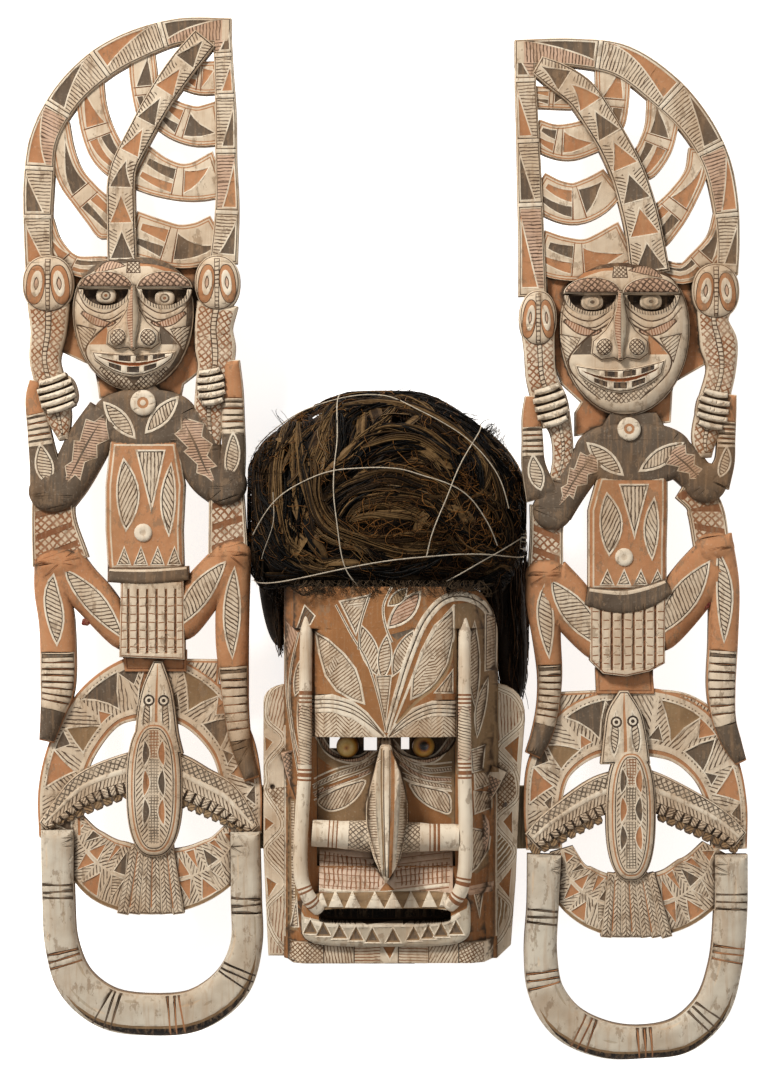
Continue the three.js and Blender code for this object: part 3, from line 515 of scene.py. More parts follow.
@dataclass
class CarvedSheet:
    """A carved board or block front: forms over a flat or hollowed back, made as one skin.

    Args:
        name: name of the piece.
        forms: carved forms, lowest and broadest first.
        back: height of the back at given x and y.
        grid: distance between surface points in millimetres.
        holes: outlines that go right through.
        seed: makes the unevenness of each sheet its own.
        uneven: height of the tool marks and waves in millimetres.
        extra: motifs that lie over whatever form is on top.
        back_lines: outlines along which the back steps up or down.
        wall_rings: points from front to back in the outer walls.
        back_grid: distance between points of the back in millimetres.
    """

    name: str
    forms: List[Form]
    back: Callable[[Points, Points], Points]
    grid: float
    holes: Sequence[Points] = ()
    seed: float = 0.0
    uneven: float = 0.35
    extra: Sequence[Motif] = ()
    back_lines: Sequence[Points] = ()
    wall_rings: int = 2
    back_grid: float = 7.0

    @staticmethod
    def front_height(form: Form, depth: Points, points: Points) -> Points:
        """Height of a form's front at given depths inside its outline.

        Args:
            form: form to measure.
            depth: distance inside the form's outline.
            points: places in millimetres.

        Returns:
            Height at each of the points.
        """
        share = np.clip(depth / max(form.reach, 0.01), 0.0, 1.0)
        top = form.shape(points[:, 0], points[:, 1]) if form.shape else form.front
        return top - form.drop * (1.0 - np.sqrt(np.maximum(1.0 - (1.0 - share) ** 2, 0.0)))

    def heights(self, points: Points, at_rim: Points) -> Tuple[Points, Points]:
        """Height of the front at each point, and the index of the form on top.

        Args:
            points: places in millimetres.
            at_rim: true where a point lies on the outer edge of the whole sheet.

        Returns:
            Heights and form indices.
        """
        z = np.full(len(points), -1e3)
        owner = np.full(len(points), -1)
        least = np.where(at_rim, -0.12, 0.22)
        for i, form in enumerate(self.forms):
            depth = depth_inside(points, form.outline)
            counts = depth > least
            value = self.front_height(form, np.maximum(depth, 0.0), points)
            if form.build is Build.RAISED:
                wins = counts & (value > z)
            else:
                wins = counts & (value < z) & (depth > 0.2)
            z = np.where(wins, value, z)
            owner = np.where(wins, i, owner)
        lost = np.nonzero(owner < 0)[0]
        if len(lost):
            nearest = np.full(len(lost), -1e3)
            for i, form in enumerate(self.forms):
                if form.build is Build.RAISED:
                    depth = depth_inside(points[lost], form.outline)
                    value = self.front_height(form, np.maximum(depth, 0.0), points[lost])
                    closer = depth > nearest
                    nearest = np.where(closer, depth, nearest)
                    z[lost] = np.where(closer, value, z[lost])
                    owner[lost] = np.where(closer, i, owner[lost])
        return z, owner

    def outlines(self) -> Tuple[Points, List[List[int]], List[List[int]], List[Tuple[str, int, int]]]:
        """Collects every outline as points, faces and loose edges for the triangulation.

        Returns:
            Points, loose edges, faces and what each face stands for.
        """
        points: List[Points] = []
        edges: List[List[int]] = []
        faces: List[List[int]] = []
        meaning: List[Tuple[str, int, int]] = []
        count = 0

        def loop(outline: Points) -> List[int]:
            """Adds a closed outline, turned the same way round as the others.

            Args:
                outline: closed outline, one point in each row.

            Returns:
                Numbers of its points.
            """
            nonlocal count
            turn = np.roll(outline, -1, 0)
            if np.sum(outline[:, 0] * turn[:, 1] - outline[:, 1] * turn[:, 0]) < 0:
                outline = outline[::-1]
            points.append(outline)
            ids = list(range(count, count + len(outline)))
            count += len(outline)
            return ids

        for i, form in enumerate(self.forms):
            faces.append(loop(form.outline))
            meaning.append(("form", i, 0))
            ids = loop(inset(form.outline, 0.45))
            edges.extend([a, b] for a, b in zip(ids, ids[1:] + ids[:1]))
            if form.reach > 3.5:
                points.append(inset(form.outline, form.reach * 0.3))
                count += len(form.outline)
                points.append(inset(form.outline, form.reach * 0.65))
                count += len(form.outline)
        for outline in self.holes:
            faces.append(loop(outline))
            meaning.append(("hole", 0, 0))
        for motif in [m for form in self.forms for m in form.motifs] + list(self.extra):
            ids = loop(motif.outline)
            edges.extend([a, b] for a, b in zip(ids, ids[1:] + ids[:1]))
        return np.vstack(points), edges, faces, meaning

    def surface_points(self, fixed: Points) -> Points:
        """Even points over the sheet, kept clear of the outlines' own points.

        Args:
            fixed: points of the outlines.

        Returns:
            The points, one row each.
        """
        low = np.min([form.outline.min(0) for form in self.forms], axis=0)
        high = np.max([form.outline.max(0) for form in self.forms], axis=0)
        g = self.grid
        nx, ny = int((high[0] - low[0]) / g) + 2, int((high[1] - low[1]) / (g * 0.87)) + 2
        ix, iy = np.meshgrid(np.arange(nx), np.arange(ny))
        x = low[0] + (ix + 0.5 * (iy % 2)) * g
        y = low[1] + iy * g * 0.87
        p = np.stack([x.ravel(), y.ravel()], 1)
        rng = np.random.default_rng(int(self.seed * 10) + 5)
        p += rng.uniform(-0.22, 0.22, p.shape) * g
        cell = g * 0.55
        taken = set(map(tuple, np.floor((fixed - low) / cell).astype(int)))
        keys = np.floor((p - low) / cell).astype(int)
        keep = np.array([tuple(k) not in taken for k in keys])
        p = p[keep]
        inside = np.zeros(len(p), bool)
        for form in self.forms:
            if form.build is Build.RAISED:
                rest = np.nonzero(~inside)[0]
                inside[rest] = depth_inside(p[rest], form.outline) > 0.4
        return p[inside]

    def build(self) -> bpy.types.Object:
        """Makes the closed mesh with its paint and line layers and its layer of painted shade and soiling for
        the hollows.

        Returns:
            The new object, in metres.
        """
        fixed, edges, faces, meaning = self.outlines()
        points = np.vstack([fixed, self.surface_points(fixed)])
        started = time.time()
        out = delaunay_2d_cdt([Vector((float(a), float(b))) for a, b in points], edges, faces, 0, 1e-4, True)
        log.info("%s: triangulated %d points in %.1f s", self.name, len(points), time.time() - started)
        flat = np.array([v[:] for v in out[0]])
        chosen: List[Sequence[int]] = []
        for tri, origin in zip(out[2], out[5]):
            names = [meaning[k] for k in origin]
            if any(n[0] == "form" and self.forms[n[1]].build is Build.RAISED for n in names):
                if not any(n[0] == "hole" for n in names):
                    chosen.append(tri)
        tris = np.array(chosen)
        used, inverse = np.unique(tris, return_inverse=True)
        flat = flat[used]
        tris = inverse.reshape(-1, 3)
        a, b, c = flat[tris[:, 0]], flat[tris[:, 1]], flat[tris[:, 2]]
        turn = (b[:, 0] - a[:, 0]) * (c[:, 1] - a[:, 1]) - (b[:, 1] - a[:, 1]) * (c[:, 0] - a[:, 0])
        tris[turn < 0] = tris[turn < 0][:, ::-1]
        rim = self.rim_edges(tris)
        at_rim = np.zeros(len(flat), bool)
        at_rim[rim.ravel()] = True
        z, _ = self.heights(flat, at_rim)
        middle = flat[tris].mean(1)
        _, owner = self.heights(middle, np.ones(len(middle), bool))
        paint, hatch, ink, lift = self.dress(tris, flat, owner)
        z = self.settle(flat, tris, z, lift, at_rim)
        return self.close(flat, tris, z, rim, paint, hatch, ink)

    @staticmethod
    def rim_edges(tris: Points) -> Points:
        """Directed edges that only one triangle uses.

        Args:
            tris: triangles as point numbers.

        Returns:
            Pairs of point numbers.
        """
        e = np.concatenate([tris[:, [0, 1]], tris[:, [1, 2]], tris[:, [2, 0]]])
        key = np.sort(e, axis=1)
        _, first, counts = np.unique(key, axis=0, return_index=True, return_counts=True)
        return e[first[counts == 1]]

    def dress(self, tris: Points, flat: Points, owner: Points) -> Tuple[Points, Points, Points, Points]:
        """Chooses paint, lines and relief for every triangle.

        Args:
            tris: triangles as point numbers.
            flat: points in millimetres.
            owner: index of the form on top of each triangle.

        Returns:
            Paint, line coordinates for each corner, line paint and relief.
        """
        n = len(tris)
        corner = flat[tris]
        middle = corner.mean(1)
        paint = np.array([form.paint.value for form in self.forms])[owner]
        ink = np.zeros((n, 3))
        hatch = np.zeros((n, 3, 3))
        lift = np.zeros(n)

        def lay(motif: Motif, ids: Points) -> None:
            """Paints the triangles that a motif holds.

            Args:
                motif: motif to paint.
                ids: triangles that it may reach.
            """
            low, high = motif.outline.min(0), motif.outline.max(0)
            ids = ids[np.all((middle[ids] >= low) & (middle[ids] <= high), axis=1)]
            ids = ids[crossed(middle[ids], motif.outline, np.roll(motif.outline, -1, 0))]
            paint[ids] = motif.paint.value
            lift[ids] = motif.lift
            hatch[ids] = 0.0
            if motif.hatch:
                t = math.radians(motif.hatch.angle)
                hatch[ids, :, 0] = corner[ids] @ np.array((-math.sin(t), math.cos(t))) / motif.hatch.spacing
                hatch[ids, :, 1] = corner[ids] @ np.array((math.cos(t), math.sin(t))) / motif.hatch.spacing
                hatch[ids, :, 2] = 2.0 if motif.hatch.crossed else 1.0
                ink[ids] = motif.hatch.ink.value
        for i, form in enumerate(self.forms):
            mine = np.nonzero(owner == i)[0]
            for motif in form.motifs:
                lay(motif, mine)
        for motif in self.extra:
            lay(motif, np.arange(n))
        return paint, hatch, ink, lift

    def settle(self, flat: Points, tris: Points, z: Points, lift: Points, at_rim: Points) -> Points:
        """Adds the motifs' relief and the unevenness of hand carving to the heights.

        Args:
            flat: points in millimetres.
            tris: triangles as point numbers.
            z: heights of the points.
            lift: relief of each triangle.
            at_rim: true where a point lies on the outer edge.

        Returns:
            The new heights.
        """
        total = np.zeros(len(flat))
        count = np.zeros(len(flat))
        for k in range(3):
            np.add.at(total, tris[:, k], lift)
            np.add.at(count, tris[:, k], 1.0)
        z = z + total / np.maximum(count, 1.0)
        x, y = flat[:, 0], flat[:, 1]
        wave = drift(x, y, 46.0, self.seed) * 0.9 + drift(x, y, 13.0, self.seed + 3.0) * 0.5
        return z + wave * self.uneven * np.where(at_rim, 0.4, 1.0)

    def close(self, flat: Points, tris: Points, z: Points, rim: Points, paint: Points,
              hatch: Points, ink: Points) -> bpy.types.Object:
        """Adds the walls and the back and writes the mesh with its layers.

        Args:
            flat: points in millimetres.
            tris: front triangles.
            z: front heights.
            rim: directed outer edges of the front.
            paint: paint of each front triangle.
            hatch: line coordinates of each front corner.
            ink: line paint of each front triangle.

        Returns:
            The new object.
        """
        n = len(flat)
        x, y = flat[:, 0], flat[:, 1]
        rim_ids = np.unique(rim)
        spot = {int(v): k for k, v in enumerate(rim_ids)}
        back_flat, back_tris = self.back_skin(flat, rim, rim_ids, spot)
        bx, by = back_flat[:, 0], back_flat[:, 1]
        zb = self.back(bx, by)
        zb = zb + (0.35 + 0.35 * drift(bx, by, 60.0, self.seed + 7.0)) * np.where(zb < 1.0, 0.4, 1.0)
        m = len(rim_ids)
        zb[:m] = np.minimum(zb[:m], z[rim_ids] - 1.5)
        rings = []
        for k in range(1, self.wall_rings):
            share = (k / self.wall_rings) ** 0.8
            height = z[rim_ids] * (1 - share) + zb[:m] * share
            wave = drift(x[rim_ids] + height * 0.6, y[rim_ids] - height * 0.4, 34.0, self.seed + 5.0)
            out = self.outward(flat, rim, rim_ids, spot) * (wave * self.uneven * 0.5)[:, None]
            rings.append(np.column_stack([flat[rim_ids] + out, height]))
        verts = np.vstack([np.stack([x, y, z], 1)] + rings + [np.stack([bx, by, zb], 1)])
        walls = []
        for a, b in rim:
            sa, sb = spot[int(a)], spot[int(b)]
            upper = (int(a), int(b))
            for k in range(self.wall_rings):
                lower = (n + k * m + sa, n + k * m + sb)
                walls += [(upper[1], upper[0], lower[0]), (upper[1], lower[0], lower[1])]
                upper = lower
        walls = np.array(walls)
        back = back_tris[:, ::-1] + n + m * (self.wall_rings - 1)
        faces = np.vstack([tris, walls, back])
        rest = len(faces) - len(tris)
        side = np.array(Paint.WOOD.value)
        full_paint = np.vstack([paint, np.tile(side, (rest, 1))])
        full_ink = np.vstack([ink, np.zeros((rest, 3))])
        full_hatch = np.concatenate([hatch, np.zeros((rest, 3, 3))])
        return make_mesh(self.name, verts, faces, full_paint, full_hatch, full_ink)

    @staticmethod
    def outward(flat: Points, rim: Points, rim_ids: Points, spot: dict) -> Points:
        """Directions that point away from the sheet at each rim point.

        Args:
            flat: points in millimetres.
            rim: directed outer edges.
            rim_ids: numbers of the points on the outer edge.
            spot: row of each of those points.

        Returns:
            One direction of length one for each point.
        """
        out = np.zeros((len(rim_ids), 2))
        for a, b in rim:
            ahead = flat[b] - flat[a]
            side = np.array([ahead[1], -ahead[0]]) / max(float(np.hypot(*ahead)), 1e-6)
            out[spot[int(a)]] += side
            out[spot[int(b)]] += side
        return out / np.maximum(np.linalg.norm(out, axis=1, keepdims=True), 1e-6)

    @staticmethod
    def inside_rim(places: Points, flat: Points, rim: Points) -> Points:
        """Whether each place lies inside the rim."""
        return crossed(places, flat[rim[:, 0]], flat[rim[:, 1]])

    def back_skin(self, flat: Points, rim: Points, rim_ids: Points, spot: dict) -> Tuple[Points, Points]:
        """Coarse triangles over the same outline, for the back.

        Args:
            flat: points in millimetres.
            rim: directed outer edges.
            rim_ids: numbers of the points on the outer edge.
            spot: row of each of those points.

        Returns:
            Points of the back, those of the rim first, and its triangles.
        """
        edge_points = flat[rim_ids]
        low, high = edge_points.min(0), edge_points.max(0)
        g = self.back_grid
        gx, gy = np.meshgrid(np.arange(low[0], high[0], g), np.arange(low[1], high[1], g))
        p = np.stack([gx.ravel(), gy.ravel()], 1)
        cell = 5.0
        taken = set(map(tuple, np.floor((edge_points - low) / cell).astype(int)))
        p = p[np.array([tuple(k) not in taken for k in np.floor((p - low) / cell).astype(int)])]
        edges = [(spot[int(a)], spot[int(b)]) for a, b in rim]
        extra: List[Points] = []
        count = len(edge_points)
        for outline in self.back_lines:
            for ring in (outline, inset(outline, 0.5)):
                extra.append(ring)
                ids = list(range(count, count + len(ring)))
                edges += list(zip(ids, ids[1:] + ids[:1]))
                count += len(ring)
        pts = np.vstack([edge_points] + extra + [p])
        out = delaunay_2d_cdt([Vector((float(a), float(b))) for a, b in pts], edges, [], 0, 1e-5, True)
        got = np.array([v[:] for v in out[0]])
        order = np.full(len(got), -1)
        for k, origin in enumerate(out[3]):
            if origin:
                order[k] = min(origin)
        new = np.nonzero(order < 0)[0]
        order[new] = len(pts) + np.arange(len(new))
        everything = np.vstack([pts, got[new]])
        tris = order[np.array(out[2])]
        tris = tris[self.inside_rim(everything[tris].mean(1), flat, rim)]
        a, b, c = everything[tris[:, 0]], everything[tris[:, 1]], everything[tris[:, 2]]
        turn = (b[:, 0] - a[:, 0]) * (c[:, 1] - a[:, 1]) - (b[:, 1] - a[:, 1]) * (c[:, 0] - a[:, 0])
        tris[turn < 0] = tris[turn < 0][:, ::-1]
        return everything, tris


def make_mesh(name: str, verts: Points, faces: Points, paint: Points,
              hatch: Optional[Points] = None, ink: Optional[Points] = None,
              sharp: float = 38.0, grime: Optional[Points] = None) -> bpy.types.Object:
    """Writes a triangle or quad mesh with its paint layers.

    Args:
        name: name of the object.
        verts: points in millimetres.
        faces: point numbers, one row for each face.
        paint: paint of each face.
        hatch: line coordinates of each corner of each face.
        ink: line paint of each face.
        sharp: edges that turn by more degrees than this stay crisp.
        grime: painted shade and soiling at each point, or none to take it from the shape.

    Returns:
        The new object, linked to the scene.
    """
    mesh = bpy.data.meshes.new(name)
    used = np.unique(faces)
    lookup = np.full(len(verts), -1)
    lookup[used] = np.arange(len(used))
    verts, faces = verts[used], lookup[faces]
    mesh.from_pydata((verts * MM).tolist(), [], faces.tolist())
    corners = faces.shape[1]
    n = len(faces) * corners
    rgba = np.ones((n, 4), np.float32)
    rgba[:, :3] = np.repeat(paint, corners, axis=0)
    layer = mesh.color_attributes.new("paint", "FLOAT_COLOR", "CORNER")
    layer.data.foreach_set("color", rgba.ravel())
    if hatch is not None:
        layer = mesh.attributes.new("brush", "FLOAT_VECTOR", "CORNER")
        layer.data.foreach_set("vector", hatch.reshape(-1, 3).astype(np.float32).ravel())
        rgba = np.ones((n, 4), np.float32)
        rgba[:, :3] = np.repeat(ink, corners, axis=0)
        layer = mesh.color_attributes.new("ink", "FLOAT_COLOR", "CORNER")
        layer.data.foreach_set("color", rgba.ravel())
    # Painted shade and soiling of the hollows: darker where a point lies deeper than its surroundings.
    if grime is None:
        grime = hollows(verts, faces)
    else:
        grime = grime[used]
    layer = mesh.attributes.new("grime", "FLOAT", "POINT")
    layer.data.foreach_set("value", grime.astype(np.float32))
    mesh.shade_smooth()
    mesh.set_sharp_from_angle(angle=math.radians(sharp))
    mesh.validate()
    obj = bpy.data.objects.new(name, mesh)
    bpy.context.scene.collection.objects.link(obj)
    return obj


def hollows(verts: Points, faces: Points) -> Points:
    """How deep each point lies below its surroundings, 0 to 1, which sets the painted shade and soiling of
    the hollows.

    Args:
        verts: points in millimetres.
        faces: point numbers, one row for each face.

    Returns:
        One value for each point.
    """
    z = verts[:, 2].copy()
    spread = z.copy()
    pairs = np.concatenate([faces[:, [k, (k + 1) % faces.shape[1]]] for k in range(faces.shape[1])])
    for _ in range(5):
        total = np.zeros(len(z))
        count = np.zeros(len(z))
        np.add.at(total, pairs[:, 0], spread[pairs[:, 1]])
        np.add.at(count, pairs[:, 0], 1.0)
        np.add.at(total, pairs[:, 1], spread[pairs[:, 0]])
        np.add.at(count, pairs[:, 1], 1.0)
        spread = (total / np.maximum(count, 1.0) + spread) / 2
    return np.clip((spread - z) * 0.45, 0.0, 1.0)


@dataclass(frozen=True)
class FacePlan:
    """Where the small carved face of an ear board has its features."""

    centre: Tuple[float, float]
    half_width: float
    up: float
    down: float
    brow: Tuple[float, float]
    eyes: Tuple[Tuple[float, float], Tuple[float, float]]
    socket_half: float
    eye_half: float
    mouth: Tuple[float, float]
    shell_eyes: bool


@dataclass(frozen=True)
class BoardPlan:
    """Middle lines with widths, outlines and centres of the forms of one ear board."""

    name: str
    seed: float
    outer_frame: List[Station]
    inner_frame: List[Station]
    midrib: List[Station]
    ribs: List[List[Station]]
    back_plate: List[Tuple[float, float]]
    face: FacePlan
    fish_heads: List[Tuple[float, float, float, float]]
    fish_bodies: List[List[Station]]
    hands: List[Tuple[float, float, float, float, float]]
    chest: Tuple[float, float, float, float]
    neck: List[Station]
    chest_disc: Station
    upper_arms: List[List[Station]]
    forearms: List[List[Station]]
    elbows: List[Tuple[float, float, float, float]]
    blocks: List[List[Station]]
    torso: List[Tuple[float, float]]
    navel: Station
    belt: List[Station]
    skirt: List[Tuple[float, float]]
    pedestal: List[Tuple[float, float]]
    thighs: List[List[Station]]
    shins: List[List[Station]]
    disc: List[Station]
    shoulders: List[List[Station]]
    bird_body: Tuple[float, float, float, float]
    bird_head: List[Station]
    wings: List[List[Station]]
    fringes: List[Tuple[float, float, float, float, int]]
    crescent: List[Station]
    tail: Tuple[float, float, float, float, float, float, int]
    ring: List[Station]
    outer_bars: List[Tuple[float, float]]
    inner_bars: List[Tuple[float, float]]
    rib_paints: List[Paint]
    leaves: List[Tuple[float, float, float, float, float]]
    ring_marks: List[Tuple[float, float, Paint]]


@dataclass
class EarBoard:
    """An openwork ear board: frames, ribs, a head, a body, a bird on a disc and a ring.

    Args:
        plan: where everything on the board lies.
        rear: height of the board's flat back in millimetres.
        grid: distance between surface points in millimetres.
        forms: carved forms made so far, lowest and broadest first.
    """

    plan: BoardPlan
    rear: float = 68.0
    grid: float = 2.3
    forms: List[Form] = field(default_factory=list)

    def band(self, stations: Sequence[Station], front: float, drop: float, reach: float,
             paint: Paint, *motifs: Iterable[Motif]) -> Form:
        """Adds a band form and returns it.

        Args:
            stations: places along the middle line, each with the width there.
            front: height of the form's front.
            drop: how far the front falls toward its edge.
            reach: width over which it falls.
            paint: paint to use.
            motifs: motifs laid over it, alone or in groups.

        Returns:
            The new form.
        """
        form = Form(Band(stations).outline(), front, drop, reach, paint)
        self.forms.append(form.add(*motifs))
        return form

    def shape(self, outline: Points, front: float, drop: float, reach: float, paint: Paint,
              *motifs: Iterable[Motif]) -> Form:
        """Adds a form with any outline and returns it.

        Args:
            outline: closed outline, one point in each row.
            front: height of the form's front.
            drop: how far the front falls toward its edge.
            reach: width over which it falls.
            paint: paint to use.
            motifs: motifs laid over it, alone or in groups.

        Returns:
            The new form.
        """
        form = Form(outline, front, drop, reach, paint)
        self.forms.append(form.add(*motifs))
        return form

    @staticmethod
    def bar(band: Band, share: float, half: float = 2.6, low: float = -0.92,
            high: float = 0.92) -> List[Motif]:
        """A pale cross bar with dark edges.

        Args:
            band: strip that carries the paint.
            share: share of the length at the middle of the bar.
            half: half of the bar's width in millimetres.
            low: end at the left, as a share of the half width.
            high: end at the right, as a share of the half width.

        Returns:
            The two motifs, the edges first.
        """
        a, b = half / band.length, (half - 0.9) / band.length
        return [Motif(band.strip(share - a, share + a, low, high), Paint.INK, None, -0.4),
                Motif(band.strip(share - b, share + b, low, high), Paint.CHALK, None, 0.3)]

    @staticmethod
    def ladder(band: Band, start: float, end: float, low: float, high: float,
               ground: Paint = Paint.PINK, spacing: float = 3.1, turn: float = 90.0) -> List[Motif]:
        """Short lines across a band, in pieces that follow its curve.

        Args:
            band: strip that carries the paint.
            start: share of the length where it starts.
            end: share of the length where it ends.
            low: left edge, as a share of the half width.
            high: right edge, as a share of the half width.
            ground: paint under the lines.
            spacing: distance between lines in millimetres.
            turn: turn of the lines against the strip, in degrees.

        Returns:
            One motif for each piece.
        """
        pieces = max(1, int(abs(end - start) * band.length / 22.0))
        out = []
        for k in range(pieces):
            a = start + (end - start) * k / pieces
            b = start + (end - start) * (k + 1) / pieces
            hatch = Hatch(band.heading((a + b) / 2) + turn, spacing)
            out.append(Motif(band.strip(a, b, low, high), ground, hatch, -0.2))
        return out

    def frame_motifs(self, band: Band, bars: Sequence[Tuple[float, float]], side: float) -> List[Motif]:
        """Cross bars with ladder hatching and one long triangle in each field.

        Args:
            band: the frame.
            bars: places of the cross bars.
            side: edge that the triangles lean on, -1 or 1.

        Returns:
            The motifs, lowest first.
        """
        out = [Motif(inset(band.outline(), 1.1), Paint.UMBER, None, -0.3),
               Motif(inset(band.outline(), 2.0), Paint.CREAM)]
        cuts = [0.015] + sorted(band.share(x, y) for x, y in bars) + [0.985]
        for k, (a, b) in enumerate(zip(cuts, cuts[1:])):
            gap = 3.6 / band.length
            if (b - a) * band.length < 14:
                continue
            paint = Paint.OCHRE if k % 2 else Paint.UMBER
            out += self.ladder(band, a + gap, b - gap, -0.8, 0.8, Paint.CREAM if k % 3 else Paint.PINK)
            tri = band.area([(b - gap, side * 0.84), (a + gap * 1.5, side * 0.84), (b - gap, -side * 0.45)])
            out += [Motif(tri, Paint.CHALK, None, 0.3), Motif(inset(tri, 1.3), paint, None, -0.5)]
        for share in cuts[1:-1]:
            out += self.bar(band, share)
        return out

    def frames(self) -> None:
        """The outer and inner frame and the midrib with its chain of triangles."""
        plan = self.plan
        way = -1.0 if plan.name.startswith("left") else 1.0
        outer, inner = Band(plan.outer_frame), Band(plan.inner_frame)
        self.band(plan.outer_frame, 86, 2.5, 3, Paint.CREAM, self.frame_motifs(outer, plan.outer_bars, -way))
        self.band(plan.inner_frame, 86, 2, 3, Paint.CREAM, self.frame_motifs(inner, plan.inner_bars, way))
        rib = Band(plan.midrib)
        motifs = [Motif(inset(rib.outline(), 1.2), Paint.INK, None, -0.5),
                  Motif(inset(rib.outline(), 2.3), Paint.CREAM)]
        count = int(rib.length / 31)
        start_left = rib.at(0, 0)[1] < rib.at(1, 0)[1]
        for k in range(count):
            a, b = (k + 0.08) / count, (k + 0.93) / count
            motifs += self.ladder(rib, a, b, -0.82, -0.3, Paint.CREAM, 3.0, 60.0)
            motifs += self.ladder(rib, a, b, 0.3, 0.82, Paint.CREAM, 3.0, 120.0)
            low, high = (a, b) if start_left else (b, a)
            tri = rib.area([(low, -0.86), (low, 0.86), (high, 0.04)])
            motifs += [Motif(tri, Paint.CHALK, None, 0.4),
                       Motif(inset(tri, 1.2), Paint.OCHRE if k % 2 else Paint.UMBER, None, -0.5)]
        self.band(plan.midrib, 89, 3, 3.6, Paint.CREAM, motifs)

    def ribs(self) -> None:
        """Ribs between the midrib and the frames, each with a bar, a triangle and small cells."""
        for k, (stations, paint) in enumerate(zip(self.plan.ribs, self.plan.rib_paints)):
            if k < 4:
                stations = self.tapered(stations)
            rib = Band(stations)
            edge = rib.outline()
            other = Paint.UMBER if paint is Paint.OCHRE else Paint.OCHRE
            motifs = [Motif(inset(edge, 0.9), Paint.OCHRE, None, -0.4), Motif(inset(edge, 2.1), Paint.CREAM),
                      Motif(inset(edge, 3.5), Paint.OCHRE, None, -0.4), Motif(inset(edge, 4.5), Paint.CREAM)]
            mid = 0.46 + 0.06 * math.sin(2.3 * k)
            flip = k < 4
            far = (lambda s: s) if not flip else (lambda s: 1 - s)
            lean = 1.0 if k % 2 else -1.0
            large = rib.area([(far(mid + 0.05), -0.7 * lean), (far(0.93), 0.45 * lean),
                              (far(mid + 0.05), 0.68 * lean)])
            motifs += [Motif(large, Paint.CHALK, None, 0.4), Motif(inset(large, 1.3), paint, None, -0.5)]
            for part in ((0.08, mid - 0.05, -0.7, 0.0), (0.08, mid - 0.05, 0.1, 0.72)):
                a, b, low, high = part
                cell = rib.area([(far(a), low * 0.85), (far(b), low), (far(b), high),
                                 (far(a), high * 0.55 + low * 0.3)])
                fill = other if low < 0 else paint
                motifs += [Motif(cell, Paint.CHALK, None, 0.3), Motif(inset(cell, 1.1), fill, None, -0.4)]
            for shift in (-0.05, 0.05):
                spot = far(mid + shift)
                w = 0.5 / rib.length
                motifs.append(Motif(rib.strip(spot - w, spot + w, -0.8, 0.8), Paint.RUST, None, -0.4))
            self.band(stations, 83, 0.8, 1.2, Paint.CREAM, motifs)

    def tapered(self, stations: List[Station]) -> List[Station]:
        """The same rib, with its end at the midrib drawn to a point under it.

        Args:
            stations: stations of a rib.

        Returns:
            Stations that reach into the neighbours and are narrower there.
        """
        rib = np.array([[float(v) for v in station[:3]] for station in stations])
        mid = np.array([[float(v) for v in station[:2]] for station in self.plan.midrib])
        gaps = [np.min(np.hypot(*(mid - rib[i, :2]).T)) for i in (0, -1)]
        ends = rib[::-1] if gaps[0] < gaps[1] else rib
        ahead = ends[-1, :2] - ends[-2, :2]
        ahead /= max(float(np.hypot(*ahead)), 1e-6)
        tip = [*(ends[-1, :2] + ahead * 9.0), ends[-1, 2] * 0.2]
        near = [*(ends[-1, :2] - ahead * 1.0), ends[-1, 2] * 0.86]
        whole = np.vstack([ends[:-1], near, tip])
        whole = whole[::-1] if gaps[0] < gaps[1] else whole
        return [tuple(row) for row in whole]

    def plate(self) -> None:
        """The plate behind the head and the arms."""
        edge = polygon(*self.plan.back_plate)
        self.shape(edge, 77, 0.6, 1, Paint.CREAM,
                   Motif(inset(edge, 1.6), Paint.OCHRE, None, -0.3))

    def rings(self, x: float, y: float, wide: float, high: float, *paints: Paint) -> List[Motif]:
        """Ovals one inside the other.

        Args:
            x: x of the middle.
            y: y of the middle.
            wide: half width.
            high: half height.
            paints: paint of each ring, widest first.

        Returns:
            The rings, widest first.
        """
        out = []
        for k, paint in enumerate(paints):
            share = 1 - k / len(paints)
            out.append(Motif(oval(x, y, wide * share, high * share), paint, None, 0.3 if k % 2 else -0.3))
        return out

    def fish(self) -> None:
        """Two fish that bite the plate, with ringed eyes and netted bodies."""
        plan = self.plan
        for x, y, wide, high in plan.fish_heads:
            edge = oval(x, y, wide, high, 0, 2.2)
            motifs = [Motif(inset(edge, 1.2), Paint.LINE, None, -0.4), Motif(inset(edge, 2.0), Paint.CREAM)]
            for side in (-1, 1):
                cx = x + side * wide * 0.47
                ring = oval(cx, y - 1, wide * 0.37, high * 0.7, side * 0.12, 2.3)
                motifs += [Motif(ring, Paint.LINE, None, -0.4),
                           Motif(inset(ring, 0.8), Paint.OCHRE, None, -0.2)]
                inner = oval(cx - side, y, wide * 0.22, high * 0.46, side * 0.12)
                motifs += [Motif(inner, Paint.CHALK, None, 0.6)]
                lens = pointed((cx - side * 1.2, y + high * 0.24), (cx - side * 0.2, y - high * 0.24),
                               wide * 0.1)
                motifs += [Motif(lens, Paint.LINE, None, -0.5),
                           Motif(inset(lens, 0.8), Paint.PINK, None, 0.2)]
            spine = polygon((x - 2.6, y + high * 0.86), (x + 2.6, y + high * 0.86), (x + 2.0, y - high * 0.9),
                            (x - 2.0, y - high * 0.9))
            motifs += [Motif(spine, Paint.LINE, None, -0.2), Motif(inset(spine, 0.7), Paint.CREAM,
                                                                   Hatch(0, 4.0, False, Paint.LINE), 0.5)]
            self.shape(edge, 93, 7, 11, Paint.CREAM, motifs)
        for stations in plan.fish_bodies:
            body = Band(stations)
            edge = body.outline()
            motifs = [Motif(inset(edge, 1.0), Paint.CREAM, None, -0.1)]
            pieces = max(2, int(body.length / 26))
            for k in range(pieces):
                a, b = 0.04 + 0.93 * k / pieces, 0.04 + 0.93 * (k + 1) / pieces
